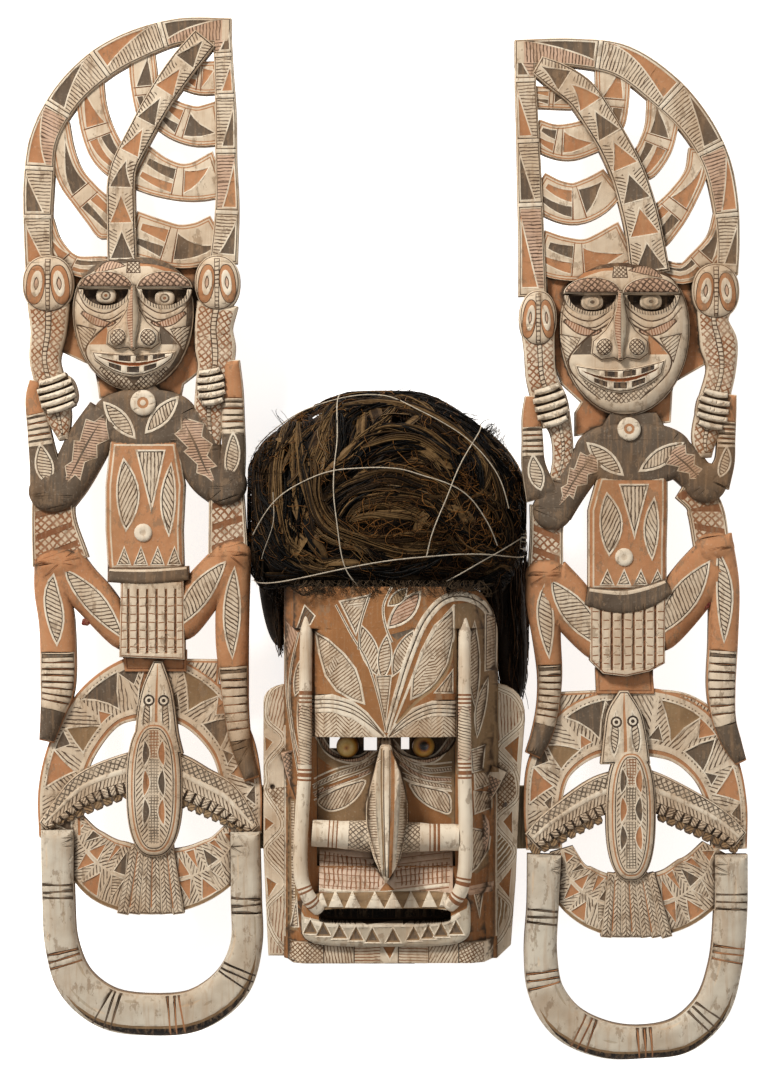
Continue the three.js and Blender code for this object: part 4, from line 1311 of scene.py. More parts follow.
                motifs.append(Motif(body.strip(a, b, -0.86, 0.86), Paint.CREAM,
                                    Hatch(body.heading((a + b) / 2) + 40, 4.6, True, Paint.RUST), -0.1))
            motifs += [Motif(body.strip(0.0, 0.96, -0.17, 0.17), Paint.LINE, None, -0.2),
                       Motif(body.strip(0.0, 0.96, -0.11, 0.11), Paint.CREAM,
                             Hatch(body.heading(0.4) + 90, 4.0, False, Paint.LINE), 0.5)]
            self.band(stations, 89, 5, 8, Paint.CREAM, motifs)

    def hands(self) -> None:
        """Hands, each with its fingers wrapped over a fish."""
        for x, y, wide, high, tilt in self.plan.hands:
            way = 1.0 if tilt >= 0 else -1.0
            turn = tilt * 0.6 + way * 0.1
            edge = oval(x, y, wide / 2, high / 2, turn, 2.6)
            self.shape(edge, 90.5, 5, 6, Paint.CREAM, Motif(inset(edge, 2.2), Paint.INK, None, -0.5))
            c, s = math.cos(turn), math.sin(turn)
            for k in range(5):
                v = (k - 2) * high * 0.195
                half = wide * (0.46 if abs(k - 2) < 2 else 0.36)
                stations = []
                for u in (-half, -half * 0.4, half * 0.4, half):
                    sag = v - high * 0.035 * (1 - (u / half) ** 2) + high * 0.02 * way * u / half
                    swell = high * (0.15 if abs(u) < half else 0.12)
                    stations.append((x + u * c - sag * s, y + u * s + sag * c, swell))
                self.band(stations, 95.5, 3.4, 3.0, Paint.CHALK)

    def chest(self) -> None:
        """Chest, neck and the disc on the chest."""
        plan = self.plan
        x, y, wide, high = plan.chest
        edge = oval(x, y, wide / 2, high / 2, 0, 2.4)
        leaves: List[Motif] = []
        for x0, y0, x1, y1, half in plan.leaves:
            leaf = pointed((x0, y0), (x1, y1), half)
            tilt = math.degrees(math.atan2(y1 - y0, x1 - x0))
            leaves += framed(leaf, Paint.CREAM, Hatch(tilt + 55, 3.0, False, Paint.LINE), 2.2)
        self.shape(edge, 90, 5, 7, Paint.UMBER, leaves)
        self.band(plan.neck, 87, 2, 3, Paint.UMBER)
        x, y, r = plan.chest_disc
        self.shape(oval(x, y, r, r), 93.5, 2.5, 4, Paint.CHALK,
                   self.rings(x, y, r * 0.45, r * 0.45, Paint.OCHRE, Paint.CHALK))

    def arms(self) -> None:
        """Dark arms with jagged pale patches, elbows, and the netted blocks under them."""
        plan = self.plan
        for k, stations in enumerate(plan.upper_arms):
            arm = Band(stations)
            motifs: List[Motif] = []
            near, far = [], []
            for i, (a, out) in enumerate(((0.1, 0.3), (0.22, 0.78), (0.34, 0.42), (0.46, 0.7), (0.56, 0.3),
                                          (0.74, 0.52), (0.72, 0.18))):
                near.append(arm.at(a, -out))
                far.append(arm.at(a + 0.05 * (-1) ** i, out * 0.85))
            patch = np.array([arm.at(0.0, 0)] + near + [arm.at(0.93, 0.05)] + far[::-1])
            motifs += [Motif(patch, Paint.CREAM, None, 0.3),
                       Motif(inset(patch, 0.9), Paint.PINK, Hatch(arm.heading(0.4) + (70 if k else 110), 2.5,
                                                                  False, Paint.LINE), -0.1)]
            motifs.append(Motif(arm.leaf(0.12, 0.8, 0.0, 0.05), Paint.UMBER, None, -0.4))
            self.band(stations, 91.5, 10, 14, Paint.UMBER, motifs)
        for k, stations in enumerate(plan.forearms):
            arm = Band(stations)
            motifs = [Motif(inset(arm.outline(), 0.9), Paint.OCHRE, None, -0.1)]
            motifs.append(Motif(arm.strip(0.3, 0.6, -0.96, 0.96), Paint.CREAM, None, 0.2))
            for i in range(5):
                s = 0.33 + 0.052 * i
                w = 0.8 / arm.length
                motifs.append(Motif(arm.strip(s - w, s + w, -0.95, 0.95),
                                    Paint.RUST if i % 2 else Paint.UMBER, None, -0.5))
            motifs.append(Motif(arm.strip(0.58, 0.99, -0.96, 0.96), Paint.UMBER, None, -0.1))
            motifs += framed(arm.leaf(0.56, 0.93, 0, 0.62), Paint.CREAM,
                             Hatch(arm.heading(0.7) + 70, 2.8, False, Paint.LINE))
            self.band(stations, 91, 5, 8, Paint.CREAM, motifs)
        for x, y, wide, high in plan.elbows:
            self.shape(oval(x, y, wide, high, 0.2), 91.8, 6, 12, Paint.UMBER)
        for k, stations in enumerate(plan.blocks):
            block = Band(stations)
            edge = block.outline()
            motifs = [Motif(inset(edge, 1.1), Paint.LINE, None, -0.3), Motif(inset(edge, 1.9), Paint.CREAM),
                      Motif(inset(edge, 3.2), Paint.CREAM, Hatch(45, 5.2, True, Paint.RUST), -0.2)]
            for i in range(3):
                a = 0.12 + 0.3 * i
                lean = 0.12 if plan.name.startswith("left") else -0.14
                motifs.append(Motif(np.array([block.at(a, -0.8), block.at(a + lean, 0.8),
                                              block.at(a + lean + 0.09, 0.8), block.at(a + 0.09, -0.8)]),
                                    Paint.RUST, None, -0.4))
            self.band(stations, 85, 1.2, 1.6, Paint.CREAM, motifs)

    def torso(self) -> None:
        """Torso, navel, belt, skirt and the pedestal."""
        plan = self.plan
        edge = polygon(*plan.torso)
        low, high = edge.min(0), edge.max(0)
        w, h = high - low
        cx = (low[0] + high[0]) / 2
        motifs = [Motif(inset(edge, 1.4), Paint.OCHRE, None, -0.3), Motif(inset(edge, 4.0), Paint.CREAM),
                  Motif(inset(edge, 5.6), Paint.OCHRE, None, -0.3)]
        motifs += framed(pointed((cx - w * 0.27, high[1] - 16), (cx - w * 0.24, low[1] + h * 0.3), 11, -3),
                         Paint.CREAM, Hatch(64, 3.2))
        motifs += framed(pointed((cx + w * 0.33, high[1] - 20), (cx + w * 0.3, low[1] + h * 0.26), 7.5, 2),
                         Paint.CREAM, Hatch(116, 3.2))
        tri = polygon((cx - w * 0.12, high[1] - 9), (cx + w * 0.26, high[1] - 9),
                      (cx + w * 0.08, low[1] + h * 0.44))
        motifs += framed(tri, Paint.CREAM, Hatch(90, 3.4))
        for i in range(4):
            x0 = low[0] + w * (0.14 + 0.21 * i)
            zig = polygon((x0, low[1] + 6), (x0 + w * 0.1, low[1] + h * 0.2), (x0 + w * 0.19, low[1] + 6))
            motifs += framed(zig, Paint.CREAM, Hatch(30 if i % 2 else 140, 2.6), 1.1, 0.7)
        self.shape(edge, 90, 5, 8, Paint.CREAM, motifs)
        x, y, r = plan.navel
        self.shape(oval(x, y, r, r), 92, 2, 4, Paint.CHALK,
                   Motif(oval(x, y, r * 0.35, r * 0.35), Paint.CREAM, None, -0.6))
        xs = [p[0] for p in plan.skirt]
        left, right = min(xs), max(xs)
        top, foot = max(p[1] for p in plan.skirt), min(p[1] for p in plan.skirt)
        edge = polygon(*plan.skirt)
        motifs = [Motif(inset(edge, 1.2), Paint.RUST, None, -0.3), Motif(inset(edge, 2.1), Paint.CREAM)]
        for k in range(1, 7):
            x = left + (right - left) * k / 7
            motifs.append(Motif(polygon((x - 1.0, top - 8), (x + 1.0, top - 8), (x + 1.1, foot + 6),
                                        (x - 1.1, foot + 6)),
                                Paint.RUST, None, -1.9))
        for k in range(7):
            y = top - 16 - (top - foot - 24) * k / 6.5
            for i in range(7):
                x = left + (right - left) * (i + 0.5) / 7
                motifs.append(line((x - 2.7, y + 0.6 * math.sin(i * 2.1 + k)), (x + 2.7, y), 1.0, Paint.RUST))
        self.shape(edge, 93, 2, 3, Paint.CREAM, motifs)
        belt = Band(plan.belt)
        self.band(plan.belt, 95, 3, 4, Paint.UMBER,
                  Motif(belt.strip(0.02, 0.98, -0.86, -0.55), Paint.CREAM, None, 0.2))
        edge = polygon(*plan.pedestal)
        self.shape(edge, 83, 1, 1.5, Paint.OCHRE, Motif(inset(edge, 2.2), Paint.RUST, None, -0.3),
                   Motif(inset(edge, 3.4), Paint.OCHRE))

    def legs(self) -> None:
        """Thighs and shins with hatched leaves, stripes and dark feet."""
        for thigh, shin in zip(self.plan.thighs, self.plan.shins):
            knee = (np.array(thigh[0][:3], float) + np.array(shin[0][:3], float)) / 2
            self.shape(oval(knee[0], knee[1] - 3.0, knee[2] / 2 + 1.0, 15.5, 0, 2.3), 93.5, 12, 17,
                       Paint.OCHRE)
        for stations in self.plan.thighs:
            ends = np.array([[float(v) for v in station[:3]] for station in stations])
            ahead = ends[-1, :2] - ends[-2, :2]
            tip = [*(ends[-1, :2] + ahead / np.hypot(*ahead) * 12.0), ends[-1, 2] * 0.4]
            ends[-1, 2] *= 0.84
            stations = [tuple(row) for row in np.vstack([ends, tip])]
            leg = Band(stations)
            motifs = [Motif(inset(leg.outline(), 1.3), Paint.OCHRE, None, -0.2)]
            motifs += framed(leg.leaf(0.06, 0.92, 0.05, 0.55), Paint.CREAM, Hatch(leg.heading(0.5) + 58, 3.4))
            self.band(stations, 92, 11, 14, Paint.OCHRE, motifs)
        for stations in self.plan.shins:
            leg = Band(stations)
            motifs = [Motif(leg.strip(0.0, 0.56, -0.9, 0.9), Paint.OCHRE)]
            motifs += framed(leg.leaf(0.06, 0.47, 0.0, 0.55), Paint.CREAM, Hatch(leg.heading(0.3) + 56, 3.4))
            motifs.append(Motif(leg.strip(0.5, 0.82, -0.94, 0.94), Paint.CREAM, None, 0.1))
            for i in range(8):
                s = 0.52 + 0.036 * i
                w = (1.6 if i == 0 else 0.6) / leg.length
                motifs.append(Motif(leg.strip(s - w, s + w, -0.9, 0.9), Paint.UMBER if i == 0 else Paint.RUST,
                                    None, -0.4))
            motifs.append(Motif(leg.strip(0.82, 0.99, -0.94, 0.94), Paint.UMBER))
            self.band(stations, 91, 9, 11, Paint.OCHRE, motifs)

    def disc(self) -> None:
        """The disc and crescent behind the bird, with fields of triangles and hatching."""
        plan = self.plan
        disc = Band(plan.disc)
        motifs = []
        for side, reach in ((-1, 0.9), (1, 0.9)):
            motifs.append(Motif(disc.strip(0.005, 0.995, side * reach - 0.12, side * reach), Paint.OCHRE,
                                None, -0.2))
        motifs.append(Motif(disc.strip(0.01, 0.99, 0.66, 0.78), Paint.CREAM, None, 0.4))
        fields = 9
        for k in range(fields):
            a, b = (k + 0.06) / fields, (k + 0.94) / fields
            turn = 62 if k % 2 else 118
            motifs += self.ladder(disc, a, b, -0.78, 0.6, Paint.CREAM, 3.6, turn)
            tri = disc.area([(a, -0.74), (b, -0.74), ((a + b) / 2 + 0.01, 0.52)] if k % 2 else
                            [(a, 0.54), (b, 0.54), ((a + b) / 2 - 0.01, -0.66)])
            motifs += [Motif(tri, Paint.CHALK, None, 0.5),
                       Motif(inset(tri, 1.5), (Paint.UMBER, Paint.OCHRE, Paint.EARTH)[k % 3], None, -0.5)]
            small = disc.area([(a - 0.02, -0.7), (a + 0.035, -0.7), (a + 0.01, -0.1)] if k % 2 == 0 else
                              [(a - 0.02, 0.5), (a + 0.035, 0.5), (a + 0.01, 0.0)])
            motifs += [Motif(small, Paint.CHALK, None, 0.3),
                       Motif(inset(small, 1.0), Paint.UMBER if k % 3 else Paint.OCHRE,
                                                                   None, -0.4)]
        self.band(plan.disc, 81, 0.8, 1.2, Paint.CREAM, motifs)
        half = Band(plan.crescent)
        motifs = [Motif(half.strip(0.01, 0.99, -0.92, -0.8), Paint.OCHRE, None, -0.3),
                  Motif(half.strip(0.01, 0.99, 0.89, 0.98), Paint.EARTH, None, -0.3)]
        fields = 13
        for k in range(fields):
            a, b = (k + 0.04) / fields, (k + 0.96) / fields
            for row, (low, high) in enumerate(((-0.88, -0.04), (0.03, 0.87))):
                motifs.append(Motif(half.strip(a, b, low, high), Paint.CREAM,
                                    Hatch(half.heading((a + b) / 2) + (52, 128, 90)[(k + row) % 3], 3.0),
                                    -0.2))
                foot, tip = (low, high) if (k + row) % 2 else (high, low)
                tri = half.area([(a, foot), (b, foot), ((a + b) / 2, tip * 0.9 + foot * 0.1)])
                motifs.append(Motif(tri, Paint.CHALK, None, 0.4))
                fill = (Paint.OCHRE, Paint.UMBER, Paint.OCHRE, Paint.CREAM)[(k + 2 * row + k // 3) % 4]
                lines = Hatch(half.heading(a) + 25, 2.7) if fill is Paint.CREAM else None
                motifs.append(Motif(inset(tri, 1.1), fill, lines, -0.5))
        self.band(plan.crescent, 81, 0.8, 1.2, Paint.CREAM, motifs)
        for stations in plan.shoulders:
            edge = Band(stations).outline()
            self.shape(edge, 81, 0.8, 1.2, Paint.CREAM, Motif(inset(edge, 1.4), Paint.OCHRE, None, -0.3),
                       Motif(inset(edge, 3.0), Paint.CREAM, Hatch(60, 3.6)))

    def bird(self) -> None:
        """The bird: wings with a fringe of feathers, tail, lens body and head."""
        plan = self.plan
        for stations in plan.wings:
            wing = Band(stations)
            motifs = [Motif(inset(wing.outline(), 1.2), Paint.INK, None, -0.3),
                      Motif(inset(wing.outline(), 2.1), Paint.CREAM)]
            sign = 1.0 if wing.at(0.5, 1)[1] < wing.at(0.5, -1)[1] else -1.0
            head = wing.heading(0.5)
            motifs.append(Motif(wing.strip(0.1, 0.95, -0.86 * sign, -0.3 * sign), Paint.CREAM,
                                Hatch(head + 45, 4.0, True, Paint.UMBER), -0.2))
            motifs.append(Motif(wing.strip(0.08, 0.97, -0.26 * sign, -0.05 * sign), Paint.CHALK, None, 0.5))
            motifs.append(Motif(wing.strip(0.08, 0.97, 0.0, 0.4 * sign), Paint.CREAM,
                                Hatch(head - 52 * sign, 3.1),
                                -0.2))
            motifs.append(Motif(wing.strip(0.06, 0.98, 0.42 * sign, 0.99 * sign), Paint.INK, None, -1.4))
            count = max(7, int(wing.length / 8.5))
            for k in range(count):
                a, b = 0.07 + 0.91 * (k + 0.12) / count, 0.07 + 0.91 * (k + 0.88) / count
                feather = wing.area([(a, 0.44 * sign), (b, 0.44 * sign), (b - 0.004, 0.98 * sign),
                                     (a + 0.004, 0.98 * sign)])
                motifs.append(Motif(feather, Paint.CREAM,
                                    Hatch(wing.heading(a) + (38 if k % 2 else -38), 2.5), 0.6))
            self.band(stations, 86, 2.5, 4, Paint.CREAM, motifs)
        for x0, y0, x1, y1, count in plan.fringes:
            self.fringe(np.array([x0, y0], float), np.array([x1, y1], float), int(count))
        self.tail()
        x, y, wide, high = plan.bird_body
        edge = oval(x, y, wide, high, 0, 2.5)
        motifs = [Motif(inset(edge, 1.0), Paint.INK, None, -0.4), Motif(inset(edge, 2.0), Paint.CREAM),
                  Motif(inset(edge, 5.0), Paint.OCHRE, None, -0.4), Motif(inset(edge, 6.4), Paint.CREAM),
                  Motif(inset(edge, 7.8), Paint.INK, None, -0.4), Motif(inset(edge, 8.7), Paint.CREAM)]
        for side in (-1, 1):
            motifs.append(Motif(clip(inset(edge, 9.6), 0, x + min(side * 5.6, side * 40),
                                     x + max(side * 5.6, side * 40)),
                                Paint.CREAM, Hatch(90 + side * 38, 3.0), -0.2))
        for low, high_share, paint in ((-0.8, -0.1, Paint.UMBER), (-0.08, 0.42, Paint.UMBER),
                                       (0.44, 0.84, Paint.RUST)):
            motifs.append(Motif(polygon((x - 4.6, y + high * high_share), (x + 4.6, y + high * high_share),
                                        (x + 4.6, y + high * low), (x - 4.6, y + high * low)), Paint.CREAM,
                                Hatch(0, 2.7, True, paint), -0.3))
        for side in (-1, 1):
            for k, (start, end) in enumerate(((0.72, 0.3), (0.3, -0.14), (-0.12, -0.56))):
                leaf = pointed((x + side * 8.5, y + high * start), (x + side * 9.5, y + high * end), 4.0,
                               side * 2.0)
                motifs += [Motif(leaf, Paint.CHALK, None, 0.4),
                           Motif(inset(leaf, 1.1), Paint.OCHRE if (k + (side > 0)) % 2 else Paint.UMBER,
                                 None, -0.5)]
        self.shape(edge, 92, 6, 11, Paint.CREAM, motifs)
        neck = Band(plan.bird_head)
        motifs = [Motif(inset(neck.outline(), 1.2), Paint.INK, None, -0.4),
                  Motif(inset(neck.outline(), 2.2), Paint.CREAM)]
        for side in (-1, 1):
            motifs += framed(neck.leaf(0.25, 0.92, side * 0.48, 0.27), Paint.CREAM,
                             Hatch(neck.heading(0.5) + 55 * side, 3))
            cx, cy = neck.at(0.42, side * 0.42)
            motifs += self.rings(cx, cy, 5.4, 5.4, Paint.INK, Paint.CHALK, Paint.INK)
        motifs.append(Motif(neck.strip(0.03, 0.95, -0.07, 0.07), Paint.OCHRE, None, -0.3))
        self.band(plan.bird_head, 90, 4, 6, Paint.CREAM, motifs)

    def fringe(self, start: Points, end: Points, count: int) -> None:
        """Separate feather ends under a wing, hatched in turning directions.

        Args:
            start: one end of the wing's lower edge.
            end: its other end.
            count: number of feathers.
        """
        along = end - start
        down = np.array([-along[1], along[0]]) / np.linalg.norm(along)
        if down[1] > 0:
            down = -down
        corners = [end - down * 11, start - down * 11]
        motifs = []
        for i in range(count):
            for part, drop in ((0.08, 0.0), (0.3, 2.6), (0.78, 2.6), (0.95, 0.0)):
                corners.append(start + along * (i + part) / count + down * drop)
            cell = [start + along * (i + 0.1) / count - down * 9.6,
                    start + along * (i + 0.9) / count - down * 9.6,
                    start + along * (i + 0.84) / count + down * 0.8,
                    start + along * (i + 0.16) / count + down * 0.8]
            tilt = math.degrees(math.atan2(along[1], along[0]))
            motifs.append(Motif(np.array(cell), Paint.WOOD, Hatch(tilt + (40 if i % 2 else -40), 2.6), -0.6))
        self.shape(polygon(*[tuple(c) for c in corners]), 84, 1.4, 2, Paint.UMBER, motifs)

    def tail(self) -> None:
        """Tail feathers as a fan of narrow ridges with herringbone lines."""
        x0, y0, x1, y1, top, foot, count = self.plan.tail
        for i in range(int(count)):
            part = (i + 0.5) / count - 0.5
            stations = [(x0 + part * top, y0, top / count * 1.1), (x1 + part * foot, y1, foot / count * 1.02)]
            feather = Band(stations)
            motifs = [Motif(inset(feather.outline(), 0.8), Paint.UMBER, None, -0.3),
                      Motif(feather.strip(0.02, 0.97, -0.74, -0.06), Paint.CREAM,
                            Hatch(feather.heading(0.5) + 40, 2.7)),
                      Motif(feather.strip(0.02, 0.97, 0.06, 0.74), Paint.CREAM,
                            Hatch(feather.heading(0.5) - 40, 2.7))]
            if i % 2:
                motifs.append(Motif(feather.strip(0.1, 0.9, 0.72, 0.97), Paint.OCHRE, None, -0.6))
            self.band(stations, 86, 2, 2.6, Paint.CREAM, motifs)

    def ring(self) -> None:
        """The open ring at the foot, marked with groups of three lines, with painted shade along the outer
        edge of its lowest part.
        """
        ring = Band(self.plan.ring)
        motifs = []
        low = float(np.argmin(ring.middle[:, 1])) / ring.last
        outer = 1.0 if ring.at(low, 1)[1] < ring.at(low, -1)[1] else -1.0
        for k in range(16):
            start = 0.03 + 0.058 * k
            across = 0.75 * math.sin(k * 2.4 + self.plan.seed)
            motifs.append(Motif(ring.leaf(start, start + 0.05 + 0.03 * math.sin(k * 1.7), across, 0.07),
                                Paint.GREY if k % 3 else Paint.CREAM, None, -0.25))
        # Painted shade: an earth-brown leaf and, inside it, a near-black leaf along the outer edge of the
        # ring's lowest part.
        motifs.append(Motif(ring.leaf(low - 0.19, low + 0.24, 0.72 * outer, 0.25, 16), Paint.EARTH, None,
                            -0.3))
        motifs.append(Motif(ring.leaf(low - 0.16, low + 0.21, 0.79 * outer, 0.18, 16), Paint.SHADOW, None,
                            -0.6))
        for x, y, paint in self.plan.ring_marks:
            share = ring.share(x, y)
            for k in (-1, 0, 1):
                w = 1.05 / ring.length
                s = share + (k * 6.4 + 0.5 * math.sin(k * 5 + x)) / ring.length
                lean = 0.8 * math.sin(k * 3 + y) / ring.length
                stroke = ring.area([(s - w - lean, -0.95), (s + w - lean, -0.95), (s + w * 0.6 + lean, 0.95),
                                    (s - w * 0.6 + lean, 0.95)])
                motifs.append(Motif(stroke, paint, None, -0.15))
        self.band(self.plan.ring, 93, 8, 11, Paint.ASH, motifs)

    def spot(self, u: float, v: float) -> Tuple[float, float]:
        """A place on the face, in half widths of the head from the middle of the brow."""
        face = self.plan.face
        return face.brow[0] + u * face.half_width, face.brow[1] + v * face.half_width

    def curve(self, stops: Sequence[Sequence[float]], paint: Paint = Paint.LINE, lift: float = -0.4,
              hatch: Optional[Hatch] = None) -> Motif:
        """A painted stroke over the face through places with widths in half widths."""
        wide = self.plan.face.half_width
        return Motif(Band([(*self.spot(u, v), w * wide) for u, v, w in stops]).outline(), paint, hatch, lift)

    def patch(self, *stops: Sequence[float]) -> Points:
        """A closed outline over the face."""
        return polygon(*[self.spot(u, v) for u, v in stops])

    def rim(self) -> Points:
        """Outline of the whole head.

        Returns:
            The outline, one point in each row.
        """
        face = self.plan.face
        cx, cy = face.centre
        a = (np.arange(52) + 0.5) / 52 * 2 * math.pi
        power = np.where(np.sin(a) > 0, 2.4, 2.0)
        tall = np.where(np.sin(a) > 0, face.up, face.down)
        return np.stack([cx + np.sign(np.cos(a)) * np.abs(np.cos(a)) ** (2 / power) * face.half_width,
                         cy + np.sign(np.sin(a)) * np.abs(np.sin(a)) ** (2 / power) * tall], 1)

    def head(self) -> None:
        """The head with brows, sunk sockets, eyes, nose, mouth and teeth."""
        left = self.plan.name.startswith("left")
        edge = self.rim()
        motifs = [Motif(inset(edge, 0.9), Paint.UMBER if left else Paint.LINE, None, -0.3)]
        motifs.append(Motif(inset(edge, 4.4) - 1.9 if left else inset(edge, 1.8), Paint.CREAM, None, 0.2))
        motifs += self.crown_marks(left)
        for side in (-1, 1):
            motifs += self.cheek_marks(side, left)
        motifs += self.muzzle_marks()
        self.shape(edge, 95.5, 12, 19, Paint.CREAM, motifs)
        for side in (-1, 1):
            self.eye(side)
        self.nose(left)
        self.mouth(left)

    def crown_marks(self, left: bool) -> List[Motif]:
        """Painted marks above the brows.

        Args:
            left: true for the board at the viewer's left.

        Returns:
            The motifs of the crown.
        """
        way = 1.0 if left else -1.0
        crescent = self.curve([(way * 0.08, 0.38, 0.05), (way * 0.3, 0.42, 0.15), (way * 0.6, 0.3, 0.12),
                               (way * 0.76, 0.16, 0.03)], Paint.OCHRE, -0.2)
        leaf = pointed(self.spot(-way * 0.12, 0.36), self.spot(-way * 0.66, 0.24), 4.6, way * 4)
        knot = self.patch((-0.12, 0.24), (0.12, 0.24), (0.1, 0.44), (-0.1, 0.44))
        cap = self.curve([(-0.95, 0.08, 0.03), (-0.82, 0.27, 0.1), (-0.45, 0.42, 0.12), (0.0, 0.46, 0.1),
                          (0.45, 0.42, 0.12), (0.82, 0.27, 0.1), (0.95, 0.08, 0.03)],
                         Paint.UMBER if left else Paint.LINE, 0.5)
        return [crescent, cap] + edged(leaf, Paint.PINK, Hatch(70, 2.6, False, Paint.LINE), 0.8,
                                       Paint.LINE) + edged(
            knot, Paint.CREAM, Hatch(48, 2.8, True, Paint.LINE), 0.8, Paint.LINE)

    def cheek_marks(self, side: int, left: bool) -> List[Motif]:
        """Lines under one eye and hatched fields on the cheek.

        Args:
            side: -1 for the viewer's left half and 1 for the right.
            left: true for the board at the viewer's left.

        Returns:
            The motifs of one cheek.
        """
        out = [self.curve([(side * 0.92, -0.04, 0.012), (side * 0.78, -0.3, 0.02),
                           (side * 0.46, -0.42, 0.022), (side * 0.16, -0.26, 0.018),
                           (side * 0.05, -0.12, 0.012)]),
               self.curve([(side * 0.95, -0.2, 0.012), (side * 0.72, -0.45, 0.02), (side * 0.4, -0.52, 0.022),
                           (side * 0.14, -0.36, 0.014)]),
               self.curve([(side * 0.86, -0.4, 0.06), (side * 0.62, -0.55, 0.15), (side * 0.4, -0.6, 0.1),
                           (side * 0.28, -0.56, 0.03)], Paint.LINE, -0.2),
               self.curve([(side * 0.83, -0.41, 0.04), (side * 0.62, -0.55, 0.11), (side * 0.41, -0.6, 0.06),
                           (side * 0.32, -0.57, 0.02)], Paint.PINK, -0.1,
                          Hatch(90 + 12 * side, 2.5, False, Paint.RUST))]
        field = self.patch((side * 0.95, -0.6), (side * 0.6, -0.68), (side * 0.72, -0.9),
                           (side * 0.82, -1.06))
        out += edged(field, Paint.CREAM, Hatch(90 - 50 * side, 2.7, False, Paint.LINE), 0.8, Paint.LINE)
        corner = self.patch((side * 0.44, -0.6), (side * 0.73, -0.93), (side * 0.4, -0.93))
        fill = Paint.OCHRE if (side < 0) == left else Paint.UMBER
        out += [Motif(corner, fill, None, -0.5)]
        return out

    def muzzle_marks(self) -> List[Motif]:
        """The line round the muzzle and the netted chin.

        Returns:
            The motifs round the mouth.
        """
        chin = self.curve([(-0.56, -1.3, 0.05), (-0.34, -1.47, 0.17), (0.0, -1.56, 0.24), (0.34, -1.47, 0.17),
                           (0.56, -1.3, 0.05)], Paint.CREAM, -0.1, Hatch(45, 3.2, True, Paint.LINE))
        out = [chin, Motif(self.patch((-0.12, -1.44), (0.12, -1.44), (0.0, -1.58)), Paint.UMBER, None, -0.5)]
        for side in (-1, 1):
            out.append(self.curve([(side * 0.05, -0.1, 0.02), (side * 0.14, -0.42, 0.028),
                                   (side * 0.44, -0.62, 0.028), (side * 0.78, -0.98, 0.028),
                                   (side * 0.76, -1.16, 0.024), (side * 0.58, -1.38, 0.02),
                                   (side * 0.3, -1.62, 0.016)]))
        return out

    def eye(self, side: int) -> None:
        """A netted brow arch, the socket under it painted near black as shade, the lid and the ball of the
        eye.

        Args:
            side: -1 for the viewer's left half and 1 for the right.
        """
        face = self.plan.face
        x, y = face.eyes[0 if side < 0 else 1]
        wide, brow = face.socket_half, face.brow[1]
        arch = np.array([(x + math.cos(math.pi * k / 16) * (wide + 3.5),
                          brow + math.sin(math.pi * k / 16) * 15.5)
                         for k in range(17)])
        motifs = [Motif(inset(arch, 0.8), Paint.LINE, None, -0.3), Motif(inset(arch, 1.6), Paint.PINK,
                                                                         Hatch(52, 4.2, True, Paint.LINE),
                                                                         -0.1)]
        self.shape(arch, 100, 3.5, 6, Paint.CHALK, motifs)
        lid = np.array([(x - math.cos(math.pi * k / 16) * (wide + 3),
                         brow - 1 - math.sin(math.pi * k / 16) * 20)
                        for k in range(17)])
        ticks = Motif(inset(lid, 1.2), Paint.CREAM, Hatch(90 + 8 * side, 2.4, False, Paint.INK), -0.2)
        self.shape(lid, 96.5, 2.0, 3, Paint.CHALK, ticks)
        almond = np.array([(x - math.cos(math.pi * k / 16) * (wide - 1),
                            brow - 1 - math.sin(math.pi * k / 16) * 15.5)
                           for k in range(17)])
        # Painted shade: the socket is near black, as the shade in its depth under the brow.
        self.forms.append(Form(almond, 87.5, -1.5, 4, Paint.INK, Build.SUNK))
        r = face.eye_half
        ball = oval(x, y - 0.5, r, 7.6, 0, 2.6)
        if face.shell_eyes:
            rings = self.rings(x, y - 0.5, r * 0.86, 6.6, Paint.GREY, Paint.CREAM, Paint.GREY, Paint.UMBER)
        else:
            rings = self.rings(x, y - 0.5, r * 0.5, 4.4, Paint.UMBER, Paint.GREY, Paint.RUST)
        self.shape(ball, 94, 3.5, 6, Paint.CHALK, rings)

    def nose(self, left: bool) -> None:
        """A bulb with two netted nostrils and a ridge down its middle.

        Args:
            left: true for the board at the viewer's left.
        """
        bulb = self.patch((-0.05, -0.04), (-0.09, -0.3), (-0.24, -0.55), (-0.43, -0.72), (-0.45, -0.92),
                          (-0.3, -1.03), (-0.1, -1.0), (0.0, -1.06), (0.1, -1.0), (0.3, -1.03),
                          (0.45, -0.92), (0.43, -0.72), (0.24, -0.55), (0.09, -0.3), (0.05, -0.04))
        self.shape(bulb, 101, 5.5, 9, Paint.CREAM, Motif(inset(bulb, 0.8), Paint.LINE, None, -0.3),
                   Motif(inset(bulb, 1.6), Paint.CREAM, None, 0.2))
        for side in (-1, 1):
            nostril = oval(*self.spot(side * 0.25, -0.82), 8.2, 9.0, side * 0.5)
            self.shape(nostril, 104, 4, 6, Paint.CHALK, Motif(inset(nostril, 1.0), Paint.INK, None, -0.4),
                       Motif(inset(nostril, 1.8), Paint.CREAM, Hatch(45, 3.0, True, Paint.LINE), 0))
        wide = self.plan.face.half_width
        stops = [(*self.spot(0.0, v), w * wide)
                 for v, w in ((0.03, 0.07), (-0.2, 0.13), (-0.42, 0.22), (-0.64, 0.2),
                                                             (-0.85, 0.1), (-1.02, 0.08))]
        ridge = Band(stops)
        motifs = [Motif(inset(ridge.outline(), 0.8), Paint.LINE, None, -0.3),
                  Motif(ridge.strip(0.03, 0.97, -0.82, -0.04), Paint.GREY, None, 0.2),
                  Motif(ridge.strip(0.03, 0.97, 0.04, 0.82), Paint.PINK,
                        Hatch(12 if left else 168, 2.4, False, Paint.RUST))]
        self.band(stops, 106.2, 4, 6, Paint.CREAM, motifs)

